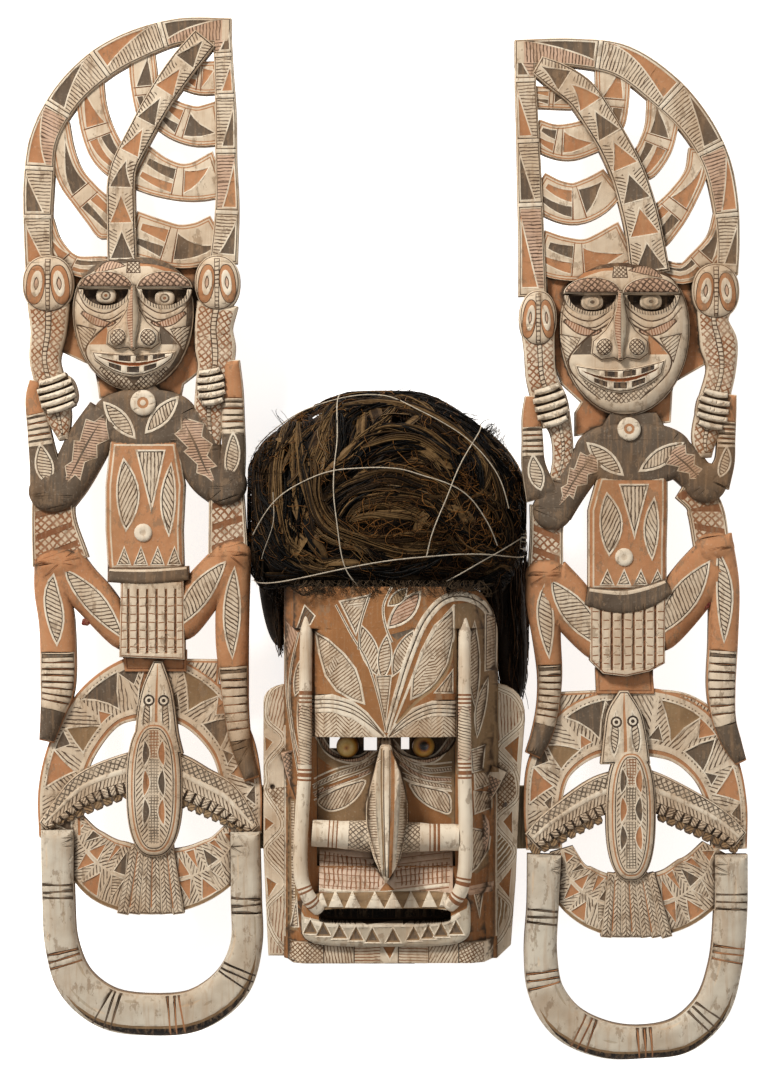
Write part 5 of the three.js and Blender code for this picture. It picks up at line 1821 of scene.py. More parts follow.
    def mouth(self, left: bool) -> None:
        """Lips with two rows of teeth and a red line between them.

        Args:
            left: true for the board at the viewer's left.
        """
        lift = 0.0 if left else 0.06
        half = 0.7
        upper = [(u, -1.03 - (0.05 if left else 0.12) * math.cos(math.pi * u / 1.5) + lift * u) for u in
                 np.linspace(-half, half, 9)]
        lower = [(u, -1.06 - 0.4 * math.cos(math.pi * u / 1.5) ** 0.8 - (0.0 if left else 0.06)) for u in
                 np.linspace(half * 0.92, -half * 0.92, 9)]
        edge = self.patch(*upper, *lower)
        motifs = [Motif(inset(edge, 1.2), Paint.LINE, None, -0.5),
                  Motif(inset(edge, 2.0), Paint.CHALK, None, 0.2)]

        def between(u: float, share: float) -> Tuple[float, float]:
            """A place between the upper and the lower edge of the mouth.

            Args:
                u: place across the face, as a share of its half width.
                share: share of the way from the lower to the upper edge.

            Returns:
                The place in millimetres.
            """
            high = float(np.interp(u, [p[0] for p in upper], [p[1] for p in upper])) - 0.03
            low = float(np.interp(u, [p[0] for p in lower[::-1]], [p[1] for p in lower[::-1]])) + 0.035
            return u, high + (low - high) * share
        for row, starts in ((0.04, (-0.42, -0.14, 0.14, 0.42)), (0.62, (-0.3, 0.0, 0.28))):
            for k, u in enumerate(starts):
                w, end = 0.1, row + 0.3
                tooth = [between(u - w, row), between(u + w, row), between(u + w, end), between(u - w, end)]
                fill = Paint.GREY if (k == 0 and row < 0.1) else Paint.INK
                motifs.append(Motif(self.patch(*tooth), fill, None, -0.9))
        self.shape(edge, 98.5, 3.5, 5, Paint.CREAM, motifs)
        line_top = [between(u, 0.37 + 0.03 * (1 - abs(u) / 0.6)) for u in np.linspace(-0.6, 0.6, 8)]
        line_low = [between(u, 0.5 + 0.1 * (1 - abs(u) / 0.6)) for u in np.linspace(0.54, -0.54, 8)]
        lips = self.patch(*line_top, *line_low)
        self.forms.append(Form(lips, 96.4, -0.6, 1.2, Paint.RED, Build.SUNK))

    def build(self) -> bpy.types.Object:
        """Carves the whole board as one closed skin.

        Returns:
            The new object, in metres.
        """
        self.frames()
        self.ribs()
        self.plate()
        self.fish()
        self.hands()
        self.chest()
        self.arms()
        self.torso()
        self.legs()
        self.disc()
        self.bird()
        self.ring()
        self.head()
        sheet = CarvedSheet(self.plan.name + "_skin", self.forms, lambda x, y: np.full(len(x), self.rear),
                            self.grid, seed=self.plan.seed)
        return sheet.build()


def ribbon(stops: Sequence[Sequence[float]], width: float, paint: Paint, lift: float = 0.4,
           hatch: Optional[Hatch] = None, taper: float = 0.35) -> Motif:
    """A painted band along a curve, narrower toward its ends.

    Args:
        stops: places along the curve.
        width: width in millimetres.
        paint: paint to use.
        lift: relief in millimetres.
        hatch: lines over the paint.
        taper: width at the ends as a share of the width at the middle.

    Returns:
        The motif of the band.
    """
    last = max(len(stops) - 1, 1)
    stations = []
    for k, (x, y) in enumerate(stops):
        swell = taper + (1 - taper) * math.sin(math.pi * (k + 0.35) / (last + 0.7)) ** 0.5
        stations.append((x, y, width * swell))
    return Motif(Band(stations).outline(5.0), paint, hatch, lift)


def bent(start: Sequence[float], pull: Sequence[float], end: Sequence[float],
         count: int = 6) -> List[Sequence[float]]:
    """Points on a simple bend between two places, pulled toward a third."""
    s, p, e = np.array(start, float), np.array(pull, float), np.array(end, float)
    return [tuple((1 - t) ** 2 * s + 2 * t * (1 - t) * p + t * t * e) for t in np.linspace(0, 1, count + 1)]


def chevrons(area: Points, axis: Sequence[float], count: int, spacing: float = 2.8,
             ground: Paint = Paint.CREAM, steep: float = 42.0) -> List[Motif]:
    """Splits an area across its length into cells whose lines lean this way and that.

    Args:
        area: closed outline, one point in each row.
        axis: direction of its length.
        count: number of cells.
        spacing: distance between lines in millimetres.
        ground: paint under the lines.
        steep: lean of the lines in degrees.

    Returns:
        The ground and one motif for each cell.
    """
    low, high = area.min(0), area.max(0)
    out = [Motif(area, ground)]
    dx, dy = axis
    for k in range(count):
        if abs(dx) > abs(dy):
            a, b = low[0] + (high[0] - low[0]) * k / count, low[0] + (high[0] - low[0]) * (k + 1) / count
            cell = clip(area, 0, a, b)
        else:
            a, b = low[1] + (high[1] - low[1]) * k / count, low[1] + (high[1] - low[1]) * (k + 1) / count
            cell = clip(area, 1, a, b)
        if len(cell) > 2:
            out.append(Motif(cell, ground, Hatch(steep if k % 2 else 180 - steep, spacing), -0.1))
    return out


def clip(area: Points, axis: int, low: float, high: float) -> Points:
    """The part of a closed outline between two limits on one axis.

    Args:
        area: closed outline, one point in each row.
        axis: 0 to cut across x and 1 to cut across y.
        low: lower limit.
        high: upper limit.

    Returns:
        The outline that is left, which may have no points.
    """
    for limit, sign in ((low, 1.0), (high, -1.0)):
        out = []
        for a, b in zip(area, np.roll(area, -1, 0)):
            da, db = sign * (a[axis] - limit), sign * (b[axis] - limit)
            if da >= 0:
                out.append(a)
            if (da >= 0) != (db >= 0):
                out.append(a + (b - a) * da / (da - db))
        area = np.array(out)
        if len(area) < 3:
            return area
    return area


@dataclass
class FaceBlock:
    """The hollow carved block: flanges, forehead, sockets, nose, toothed mouth and chin.

    Args:
        body_x: places across the block where its front bends.
        body_z: height of the front at those places.
        flange_rear: height of the back of the flanges.
        room_x: places across the hollow behind the face where its floor bends.
        room_z: height of the hollow's floor at those places.
        grid: distance between surface points.
        forms: carved forms made so far, lowest and broadest first.
        extra: motifs that lie over whatever form is on top.
    """

    body_x: Tuple[float, ...] = (-94.0, -80.5, -68.5, 69.5, 81.5, 103.5)
    body_z: Tuple[float, ...] = (86.0, 120.0, 131.0, 131.0, 120.0, 86.0)
    flange_rear: float = 68.0
    room_x: Tuple[float, ...] = (-80.5, -60.5, 65.5, 89.5)
    room_z: Tuple[float, ...] = (66, 106, 106, 66)
    grid: float = 2.1
    forms: List[Form] = field(default_factory=list)
    extra: List[Motif] = field(default_factory=list)

    def shape(self, outline: Points, front: float, drop: float, reach: float, paint: Paint,
              shape: Optional[Callable[[Points, Points], Points]] = None,
              build: Build = Build.RAISED) -> Form:
        """Adds a form and returns it.

        Args:
            outline: closed outline, one point in each row.
            front: height of the form's front.
            drop: how far the front falls toward its edge.
            reach: width over which it falls.
            paint: paint to use.
            shape: height of the front at given x and y, where it isn't even.
            build: whether the form stands up or is cut in.

        Returns:
            The new form.
        """
        form = Form(outline, front, drop, reach, paint, build, [], shape)
        self.forms.append(form)
        return form

    def block(self) -> None:
        """Flanges, trough-shaped body, forehead and crown."""
        flange = [(-108, -384.5), (102.5, -387), (115.5, -374.5), (120, -314.5), (123.5, -229),
                  (128.5, -167.5)]
        flange += bent((128.5, -167.5), (130, -138), (103.5, -134))[1:]
        flange += bent((-88, -134), (-112.5, -136), (-112.5, -150.5))
        flange += [(-112.5, -287)]
        self.shape(polygon(*flange), 86, 1.5, 2, Paint.CREAM)
        body = polygon((-93.5, -386), (103.4, -386), (103.4, -84), (99, -66), (88, -50), (74, -43.4),
                       (-93.5, -43.4))
        self.shape(body, 132, 1.2, 2.5, Paint.SIENNA, lambda x, y: np.interp(x, self.body_x, self.body_z))
        self.shape(polygon((-84.5, -82), (89.5, -82), (84, -62), (72, -43.6), (-84.5, -43.6)), 150, 1.5, 3,
                   Paint.SIENNA,
                   lambda x, y: np.interp(x, (-84.5, -76.5, -60.5, 61.5, 77.5, 89.5),
                                          (114, 140, 150, 150, 140, 114)))
        self.shape(polygon((-64.5, -180), (65.5, -180), (65.5, -43.6), (-64.5, -43.6)), 155, 0.8, 2,
                   Paint.SIENNA,
                   lambda x, y: np.interp(x, (-64.5, -60, -50.5, -3.5, 51.5, 61, 65.5),
                                          (141, 149, 154, 157, 154, 149, 141)))
        self.shape(polygon((-62.5, -298), (63.5, -298), (63.5, -180.6), (-62.5, -180.6)), 122, -0.8, 4,
                   Paint.EARTH,
                   lambda x, y: 122 + 3.0 * np.exp(-((x / 34.0) ** 2)), Build.SUNK)

    def sockets(self) -> None:
        """Sunk eye sockets under the straight brow, painted near black as the shade in them."""
        for (x, y), half in (((-34.5, -182), 27.0), ((33.5, -182), 31.0)):
            arc = [(x - math.cos(math.pi * k / 18) * half, y + 1.6 - math.sin(math.pi * k / 18) * 21.5)
                   for k in range(19)]
            # Painted shade: the sockets are near black.
            self.shape(np.array(arc), 113, -1.2, 3, Paint.INK, None, Build.SUNK)

    def nose(self) -> None:
        """The long spindle of the nose, with its own stripes and ladders."""
        plan = polygon((0.5, -311), (13.5, -289.5), (20.5, -264), (20.5, -241), (13.5, -211.5), (4, -187.5),
                       (-5, -187.5), (-10.5, -211.5), (-18, -241), (-18, -266.5), (-10.5, -289.5))

        def height(x: Points, y: Points) -> Points:
            """Side view of the ridge, cut by the roof of the nose.

            Args:
                x: first coordinates.
                y: second coordinates.

            Returns:
                One height for each place.
            """
            side = np.interp(-y, (178, 238, 296, 313), (155, 170, 177.5, 168))
            roof = np.interp(x, (-23, -12.5, 1, 14.5, 23.5), (136, 160, 184, 160, 136))
            return np.minimum(side, roof)
        bridge = self.shape(polygon((-6.5, -196.5), (7.5, -196.5), (3, -175.5), (-2, -175.5)), 150, 2.0, 2.5,
                            Paint.CREAM,
                            lambda x, y: np.interp(-y, (174, 189), (131, 158)) - 0.8 * np.abs(x - 0.5))
        bridge.add(ribbon([(-1, -176.5), (-4.5, -196.5)], 1.5, Paint.CHALK, 0.4, None, 1.0),
                   ribbon([(2, -176.5), (5.5, -196.5)], 1.5, Paint.CHALK, 0.4, None, 1.0))
        form = self.shape(plan, 160, 2.2, 2.5, Paint.CREAM, height)
        form.add(Motif(pointed((-10.5, -216.5), (-2.5, -303.5), 4.6, 5.5), Paint.CREAM, Hatch(8, 2.4), -0.2),
                 Motif(pointed((14.5, -216.5), (7.5, -303.5), 4.4, -5.5), Paint.CREAM, Hatch(-8, 2.4), -0.2),
                 ribbon([(-5.5, -187.5), (-6.5, -218.5), (-6.5, -252.5), (-2, -301.5)], 3.6, Paint.GREY, 0.2),
                 ribbon([(-3.5, -189.5), (-3.5, -235.5), (-1, -303.5)], 1.6, Paint.EARTH, -0.4, None, 0.9),
                 ribbon([(0.5, -186), (1, -235.5), (1, -306.5)], 4.0, Paint.CHALK, 0.6, None, 0.9),
                 ribbon([(6.5, -191), (6.5, -235.5), (4, -305)], 3.4, Paint.SIENNA, -0.4, None, 0.9),
                 ribbon([(11, -203), (11.5, -238.5), (7.5, -300)], 2.6, Paint.CHALK, 0.3, None, 0.7))
        for stops in ([(-14, -218.5), (-16, -255.5), (-3, -303.5)], [(17, -218.5), (19, -255.5), (9.5, -300)],
                      [(-1.5, -191), (-1.5, -238.5), (0, -303.5)], [(4, -191), (4, -238.5), (2.5, -305)]):
            form.add(ribbon(stops, 1.1, Paint.UMBER, -0.3, None, 1.0))

    def mouth(self) -> None:
        """Upper lip, toothed lips round a dark slot, and the chin band."""
        lip = self.shape(polygon((-60.5, -328), (61.5, -328), (61.5, -283.5), (-60.5, -283.5)), 141, 1.2, 2,
                         Paint.BLUSH,
                         lambda x, y: np.interp(-y, (284, 316, 328), (124, 139, 141.5)))
        grid = Hatch(90, 4.1, False, Paint.RUST)
        lip.add(Motif(polygon((-57.5, -284.5), (-16, -292.5), (0.5, -312), (-9, -318), (-59, -318.5)),
                      Paint.BLUSH, grid, 0.2),
                Motif(polygon((8, -303.5), (16.5, -298), (56.5, -294), (57.5, -312), (14, -315)),
                      Paint.BLUSH, grid, 0.2),
                Motif(polygon((-7.5, -322.5), (0.5, -312), (9.5, -319.5)), Paint.SIENNA, None, -0.3),
                ribbon([(-65, -318), (-5.5, -321), (57.5, -313.5)], 2.6, Paint.CHALK, 0.6, None, 1.0),
                ribbon([(-63.5, -321), (-5.5, -323), (57.5, -316.5)], 1.1, Paint.RUST, -0.3, None, 1.0))
        for y in range(708, 880, 31):
            lip.add(ribbon([self.place(372, y), self.place(540, y + 14), self.place(700, y + 22)], 0.55,
                           Paint.RUST, -0.2, None, 1.0),
                    ribbon([self.place(785, y + 22), self.place(900, y + 8), self.place(1078, y - 12)], 0.55,
                           Paint.RUST, -0.2, None, 1.0))
        centre = (0.5, -345)
        lips = self.shape(oval(centre[0], centre[1], 77, 25.5, 0, 4.5, 90), 143, 4, 5, Paint.GREY)
        lips.add(ribbon([(-73.5, -346.5), (-53.5, -350), (1, -350), (55.5, -347.5), (67.5, -340.5)], 4,
                        Paint.CHALK, 0.8, None, 1.0))
        for a, b, c, d in (((-80, -331.5), (-60, -335), (-58.5, -346), (-73.5, -342.5)),
                           ((55.5, -330.5), (75.5, -323.5), (73.5, -335), (55.5, -344))):
            lips.add(Motif(polygon(a, b, c, d), Paint.SIENNA, None, -0.3))
        self.shape(polygon((-90.5, -386), (99.5, -386), (99.5, -367), (-90.5, -367)), 136, 1, 2, Paint.CREAM,
                   lambda x, y: np.interp(x, (-90.5, -84.5, -74.5, 77.5, 89.5, 99.5),
                                          (92, 127, 136, 136, 127, 92)))
        self.shape(oval(-0.5, -342.5, 60, 7.3, 0, 5, 80), 98, 0, 0.5, Paint.SHADOW, None, Build.SUNK)
        lips.add(Motif(polygon(self.place(345, 905), self.place(1105, 895), self.place(1120, 990),
                               self.place(330, 1000)),
                       Paint.EARTH, None, -0.7))
        for x, half in ((395, 26), (470, 38), (560, 40), (680, 46), (775, 44), (872, 40), (968, 38),
                        (1052, 30)):
            y = 985 - abs(x - 730) * 0.03
            tooth = polygon(self.place(x - half - 3, y + 3), self.place(x + half + 3, y + 3),
                            self.place(x - 4, y - 88))
            lips.add(Motif(tooth, Paint.CHALK, None, 1.3))
        for x in (335, 405, 490, 578, 665, 775, 885, 962, 1032, 1110):
            y = 1166 - abs(x - 730) ** 1.5 * 0.006
            tooth = polygon(self.place(x - 50, y + 10), self.place(x + 50, y + 10), self.place(x - 2, y - 86))
            lips.add(Motif(tooth, Paint.CHALK, None, 0.8), Motif(inset(tooth, 1.2), Paint.EARTH, None, -1.0),
                     Motif(inset(tooth, 2.6), Paint.UMBER, None, -1.3))

    @staticmethod
    def place(x: float, y: float) -> Tuple[float, float]:
        """A place on the lower face, measured from the middle of the brow's line in fine steps."""
        return (x * 0.17006 - 124.7, 2 - y * 0.17006 - 169.28)

    def jaws(self) -> None:
        """Animals' jaws that bite into the block from either side."""
        for stations, front, paint in (([(-89.5, -195, 14), (-84, -215, 14.5), (-78, -237, 10)], 106,
                                        Paint.PINK),
                                       ([(90.5, -241, 9), (96, -230, 13), (104.5, -211.5, 15.5)], 100,
                                        Paint.CHALK),
                                       ([(79.5, -252, 13), (87, -261, 15.5), (87, -279.5, 14),
                                         (81.5, -298, 7.5)], 108, Paint.PINK)):
            band = Band(stations)
            form = self.shape(band.outline(), front, 3, 5, paint)
            form.add(Motif(band.strip(0.03, 0.72, -0.8, 0.8), Paint.PINK,
                           Hatch(band.heading(0.5) + 45, 3, True, Paint.UMBER)),
                     Motif(band.strip(0.72, 0.97, -0.9, 0.9), Paint.CHALK, None, 0.3))

    def forehead_paint(self) -> None:
        """Ribbons and hatched leaves that spread from the root of the nose over the forehead."""
        add = self.extra.extend
        fine = 2.7
        add([Motif(polygon((60, -60), (104, -55), (104, -214.5), (64, -214.5), (64, -148.5)), Paint.EARTH,
                   None, -0.1)])
        left = np.array([(-64.5, -83.5), (-51.5, -90.5), (-36.5, -104), (-26, -117.5), (-21.5, -131.5),
                         (-18, -150.5), (-30.5, -146.5), (-45, -138), (-55, -124.5), (-61, -104)])
        add([Motif(left, Paint.CHALK, None, 0.6), Motif(inset(left, 2.0), Paint.UMBER, None, -0.3),
             Motif(inset(left, 2.7), Paint.CREAM, Hatch(38, fine), -0.1)])
        add([Motif(polygon((-54, -119.5), (-45.5, -106), (-41.5, -111), (-50, -124.5)), Paint.CHALK,
                   Hatch(118, 2.2), 0.2)])
        brow_l = np.array([(-67.5, -142.5), (-48, -140.5), (-29.5, -146.5), (-16, -157), (1, -178.5),
                           (0.5, -180.5), (-67.5, -180.5)])
        add([Motif(brow_l, Paint.CHALK, None, 0.5)])
        brow_r = np.array([(64.5, -146.5), (42, -146.5), (23, -153.5), (11.5, -163.5), (1.5, -177.5),
                           (2, -180.5), (64.5, -180.5)])
        add([Motif(brow_r, Paint.CHALK, None, 0.5)])
        for k in range(3):
            d = 22 * k
            add([ribbon([self.high(335, 690 + d), self.high(450, 685 + d), self.high(560, 715 + d),
                         self.high(640, 775 + d * 0.8), self.high(725, 880)], 1.0, Paint.UMBER, -0.4, None,
                        1.0)])
            add([ribbon([self.high(1110, 715 + d), self.high(980, 712 + d), self.high(880, 752 + d),
                         self.high(805, 810 + d * 0.8), self.high(752, 880)], 1.0, Paint.UMBER, -0.4, None,
                        1.0)])
        inner_l = np.array([(-67.5, -158.5), (-48, -157), (-29.5, -163), (-17.5, -171.5), (-9, -180),
                            (-67.5, -180)])
        inner_r = np.array([(64, -161), (42, -160.5), (25, -165.5), (11.5, -175.5), (7.5, -180), (64, -180)])
        add(chevrons(inner_l, (1, 0), 5, 2.6))
        add(chevrons(inner_r, (1, 0), 5, 2.6))
        for leaf, angle in ((((-22, -77.5), (-7, -125.5), 8.5), 60), (((1.5, -86), (-3, -129.5), 7), 20),
                            (((25.5, -82), (6, -125.5), 8), 130)):
            add(framed(pointed(*leaf), Paint.CREAM, Hatch(angle, fine), 1.3, 0.7))
        add(framed(polygon((-9.5, -124), (6, -123), (3, -148.5), (0, -172.5)), Paint.CREAM, Hatch(0, 3.0),
                   1.1, 0.7))
        add(framed(polygon((-42.5, -56.5), (-14, -50.5), (-26.5, -89)), Paint.CREAM, Hatch(50, fine), 1.6,
                   0.7))
        add([Motif(polygon((-37, -59), (-18.5, -56.5), (-22.5, -63.5)), Paint.CHALK, Hatch(8, 2.2), 0.1)])
        add(framed(polygon((-73.5, -59.5), (-63, -70), (-67.5, -78.5), (-82, -84)), Paint.UMBER,
                   Hatch(60, fine), 1.2, 0.6))
        add(framed(pointed((1, -82), (32.5, -47), 9.5, 1), Paint.PINK, Hatch(25, fine, False, Paint.RUST),
                   2.0, 0.8))
        add(framed(pointed((1.5, -61.5), (20, -44.5), 6, 1), Paint.WOOD, Hatch(100, fine), 1.3, 0.6))
        add([Motif(polygon((4.5, -87), (28.5, -80.5), (10.5, -92)), Paint.UMBER, None, -0.3)])
        big = np.array([(22, -146.5), (23.5, -124.5), (32, -100.5), (43.5, -78.5), (62.5, -61.5), (63, -89),
                        (56.5, -114.5), (46, -131.5), (33.5, -141.5)])
        add([Motif(big, Paint.CHALK, None, 0.6), Motif(inset(big, 1.9), Paint.UMBER, None, -0.3),
             Motif(inset(big, 2.6), Paint.CREAM, Hatch(42, fine), -0.1)])
        add([Motif(polygon((29, -134.5), (43, -104), (47, -124.5), (33.5, -138)), Paint.CREAM, Hatch(8, 2.5),
                   -0.1)])
        add(framed(polygon((43, -140), (61.5, -117.5), (61.5, -140.5)), Paint.CREAM, Hatch(70, fine), 1.2,
                   0.7))
        arch = [(1, -175.5), (11.5, -138), (23, -102.5), (37, -72), (54, -55), (72.5, -53), (91.5, -63.5),
                (99.5, -85.5), (100, -109)]
        add([ribbon(arch, 8.5, Paint.CHALK, 0.8, None, 0.35)])
        add([ribbon(arch, 1.2, Paint.UMBER, -0.5, None, 0.8)])
        inner = [(6, -172), (21.5, -133), (33.5, -102.5), (47, -78.5), (62.5, -60)]
        add([ribbon(inner, 2.6, Paint.CHALK, 0.4),
             ribbon([(9.5, -167), (29, -146.5), (45.5, -133), (57.5, -114.5), (61.5, -94)],
                                                          3.2, Paint.WOOD, -0.3)])
        for stops, width in (([(-45, -60), (-29.5, -89), (-17.5, -109), (-5.5, -146.5), (0.5, -174)], 2.4),
                             ([(-13.5, -49.5), (-22.5, -78.5), (-24.5, -100.5)], 2.0),
                             ([(6, -43), (-2, -61.5), (0.5, -80.5), (6, -94)], 2.6),
                             ([(-99, -53), (-93, -100.5), (-90.5, -148.5), (-85.5, -182.5), (-78, -221.5)],
                              2.0),
                             ([(-79, -85.5), (-87, -121), (-88, -151.5), (-81.5, -189), (-70.5, -221.5)],
                              2.4)):
            add([ribbon(stops, width, Paint.CHALK, 0.5, None, 0.7),
                 ribbon(stops, 0.8, Paint.UMBER, -0.4, None, 1.0)])
        add([Motif(polygon((-93, -75), (-80, -86), (-90, -111), (-92.5, -100.5)), Paint.PINK,
                   Hatch(110, fine), -0.1)])
        add(framed(pointed((-78.5, -111), (-83, -145), 5.5, -2), Paint.CREAM, Hatch(20, fine), 1.2, 0.6))
        add(framed(pointed((-80, -148.5), (-73.5, -206), 6.5, -3), Paint.CREAM, Hatch(5, fine), 1.2, 0.6))
        add(framed(pointed((81, -74), (82, -156), 6.5, 1), Paint.CREAM, Hatch(35, 2.5), 1.3, 0.7))
        add(framed(polygon((91, -67.5), (103, -71), (102.5, -121), (90.5, -122)), Paint.CREAM,
                   Hatch(20, fine), 1.3, 0.7))
        add(framed(pointed((94.5, -126.5), (83.5, -183), 5.5, 2), Paint.CREAM, Hatch(30, 2.5), 1.3, 0.7))
        add(framed(polygon((77, -192.5), (92, -188.5), (89.5, -212), (78.5, -214)), Paint.CREAM,
                   Hatch(10, 2.5), 1.1, 0.6))

    def cheek_paint(self) -> None:
        """Lids, streaks and leaves of the cheeks between the rods."""
        add = self.extra.extend
        for stops in ([(-61.5, -179), (-51.5, -194.5), (-36.5, -201.5), (-21, -200.5), (-5.5, -185)],
                      [(5, -185), (18, -199.5), (33.5, -203.5), (47, -199.5), (60.5, -182.5)]):
            add([ribbon(stops, 7.0, Paint.CHALK, 0.5, None, 0.8),
                 ribbon(stops, 3.6, Paint.UMBER, -0.3, None, 0.8),
                 ribbon(stops, 2.6, Paint.PINK, -0.1, Hatch(90, 2.2), 0.8)])
        add([Motif(polygon((-62, -198.5), (-45.5, -212), (-62, -223.5)), Paint.SIENNA, None, -0.3)])
        for k, stops in enumerate(([(-66, -226), (-43, -215.5), (-22.5, -208), (-5, -198)],
                                   [(-65, -233), (-41.5, -222.5), (-22.5, -215.5), (-14, -211.5)],
                                   [(60.5, -210), (38.5, -211.5), (21.5, -205.5), (9, -195.5)],
                                   [(60, -220), (38.5, -218.5), (25, -213), (14, -204.5)],
                                   [(60, -227), (42, -224), (26.5, -220), (14.5, -215)])):
            add([ribbon(stops, 5.6, Paint.CHALK, 0.4, None, 0.6),
                 ribbon(stops, 3.4, Paint.LINE, -0.3, None, 0.9),
                 ribbon(stops, 2.5, (Paint.CREAM, Paint.PINK)[k % 2], -0.1, Hatch(62 if k < 2 else 118, 2.3),
                        0.8)])
        add([ribbon([(-56.5, -227), (-39.5, -221.5), (-24.5, -216.5)], 2.4, Paint.SIENNA, -0.2)])
        for stops in ([(-65, -218.5), (-45, -210), (-22.5, -204), (-7.5, -193)],
                      [(-65, -238), (-43, -227), (-21, -220)],
                      [(60.5, -204), (38.5, -205.5), (20, -199.5), (9.5, -189.5)],
                      [(60.5, -230.5), (42, -228), (25, -223.5), (16.5, -218.5)]):
            add([ribbon(stops, 1.6, Paint.CHALK, 0.3, None, 0.8)])
        add(framed(softened((-66, -239.5), (-45, -227), (-14.5, -217), (-23.5, -235.5), (-36.5, -246.5),
                            (-52.5, -250.5)),
                   Paint.CREAM, Hatch(60, 2.5), 1.5, 0.7))
        add([Motif(polygon((18.5, -221.5), (26.5, -235.5), (60, -255.5), (60, -262.5), (22, -262.5)),
                   Paint.SIENNA, None, -0.3)])
        add(framed(softened((18.5, -221), (38.5, -226), (60, -231), (61, -254), (42, -247), (28.5, -237.5)),
                   Paint.CREAM, Hatch(120, 2.5), 1.5, 0.7))

    def flange_paint(self) -> None:
        """Triangles, chevrons and hatching on the two flanges and the block's sides."""
        flange = self.forms[0]
        side = self.forms[1]
        side.add(Motif(polygon((-90, -238.5), (-80, -238.5), (-80, -357.5), (-90, -359.5)), Paint.EARTH),
                 ribbon([(-85, -240.5), (-84.5, -296.5), (-84, -356)], 3.2, Paint.CREAM, 0.2, Hatch(8, 2.6),
                        1.0),
                 Motif(polygon((76, -286.5), (94.5, -267.5), (94.5, -318.5), (76, -320.5)), Paint.EARTH,
                       None, -0.2),
                 Motif(polygon((75.5, -321), (92, -319.5), (91, -357.5), (71, -359.5)), Paint.SIENNA, None,
                       -0.2))
        side.add(framed(polygon((80, -323.5), (90, -323), (86, -347.5)), Paint.CREAM, Hatch(60, 2.6), 1.2,
                        0.6),
                 framed(polygon((-81, -325.5), (-78.5, -354.5), (-88, -356)), Paint.CREAM, Hatch(30, 2.6),
                        1.0, 0.6))
        edge_line = [(102.4, -172), (102.8, -240), (102.4, -310), (102.6, -366)]
        leaf = np.array([(77.5, -263), (90, -266.5), (97, -274), (95.5, -285), (91, -292), (84, -301),
                         (77.5, -306)])
        side.add(Motif(polygon((70, -303), (84, -306), (97, -296), (101, -318), (70, -320)), Paint.SIENNA,
                       None, -0.1),
                 Motif(polygon((72, -317), (100, -315), (98, -324), (76, -325)), Paint.PINK, None, 0.1),
                 Motif(leaf, Paint.CHALK, None, 0.6), Motif(inset(leaf, 1.5), Paint.LINE, None, -0.2),
                 Motif(inset(leaf, 2.1), Paint.CREAM, Hatch(64, 2.6), 0.0),
                 ribbon(edge_line, 2.6, Paint.CHALK, 0.7, None, 1.0),
                 ribbon([(x - 2.6, y) for x, y in edge_line], 0.8, Paint.UMBER, -0.3, None, 1.0),
                 ribbon([(x, y) for x, y in ((-93, -172), (-92.6, -260), (-93, -366))], 2.4, Paint.CHALK,
                        0.7, None, 1.0))
        for low, high, slant in ((-180, -204, 60), (-206, -228, 120), (-230, -250, 64)):
            cell = polygon((80, low), (99, low - 3), (98, high + 2), (81, high - 2))
            side.add(Motif(cell, Paint.CHALK, None, 0.4),
                     Motif(inset(cell, 1.2), Paint.CREAM, Hatch(slant, 2.5), -0.1))
        flange.add(Motif(polygon((-110, -231), (-88.5, -228.5), (-88.5, -260), (-96, -262.5)), Paint.CREAM,
                         Hatch(52, 3.3, True)),
                   Motif(polygon((-111, -286.5), (-90, -269.5), (-90, -315), (-94, -317)), Paint.CREAM,
                         Hatch(-48, 2.9)),
                   Motif(polygon((-107.5, -339), (-97.5, -329), (-90, -330.5), (-90, -382), (-106, -382)),
                         Paint.CREAM,
                         Hatch(86, 3.1, False, Paint.RUST)),
                   Motif(polygon((97, -206.5), (121, -206.5), (121, -238.5), (101.5, -259), (97, -255.5)),
                         Paint.CREAM,
                         Hatch(48, 3.3, True)),
                   Motif(polygon((96.5, -264), (103, -262.5), (117.5, -286.5), (100, -317), (96, -313.5)),
                         Paint.EARTH,
                         Hatch(52, 3.4, False, Paint.CHALK)),
                   Motif(polygon((94, -320.5), (101.5, -320.5), (113.5, -339), (96.5, -378), (91.5, -378)),
                         Paint.EARTH,
                         Hatch(84, 3.4, False, Paint.CHALK)),
                   Motif(polygon((-107.5, -140), (-90.5, -134.5), (-90, -182.5), (-94, -182.5),
                                 (-108.5, -165.5)), Paint.CREAM,
                         Hatch(76, 3.0, False, Paint.RUST)),
                   Motif(polygon((102.5, -140), (117, -141.5), (125.5, -165.5), (103, -191)), Paint.CREAM,
                         Hatch(92, 3.0, False, Paint.RUST)))
        edges = ([(-92.5, -131.5), (-106, -140), (-109.5, -167), (-93, -185), (-110, -209.5), (-113, -230)],
                 [(-107.5, -170.5), (-94, -185), (-110, -208), (-109.5, -223.5), (-111.5, -232), (-95, -264),
                  (-111.5, -288), (-91.5, -318), (-109.5, -340.5), (-104.5, -363), (-90.5, -382)],
                 [(102.5, -138), (118.5, -146.5), (126.5, -168), (102.5, -195), (120, -216.5),
                  (122.5, -231.5)],
                 [(103, -195.5), (120, -215), (122, -238.5), (101.5, -261), (119, -288.5), (99.5, -318.5),
                  (115.5, -339), (108.5, -364.5), (90.5, -383.5)])
        for stops in edges:
            flange.add(ribbon(stops, 5.2, Paint.CHALK, 0.5, None, 0.9),
                       ribbon(stops, 3.2, Paint.EARTH, -0.2, None, 1.0),
                       ribbon(stops, 1.9, Paint.CHALK, 0.3, None, 1.0))
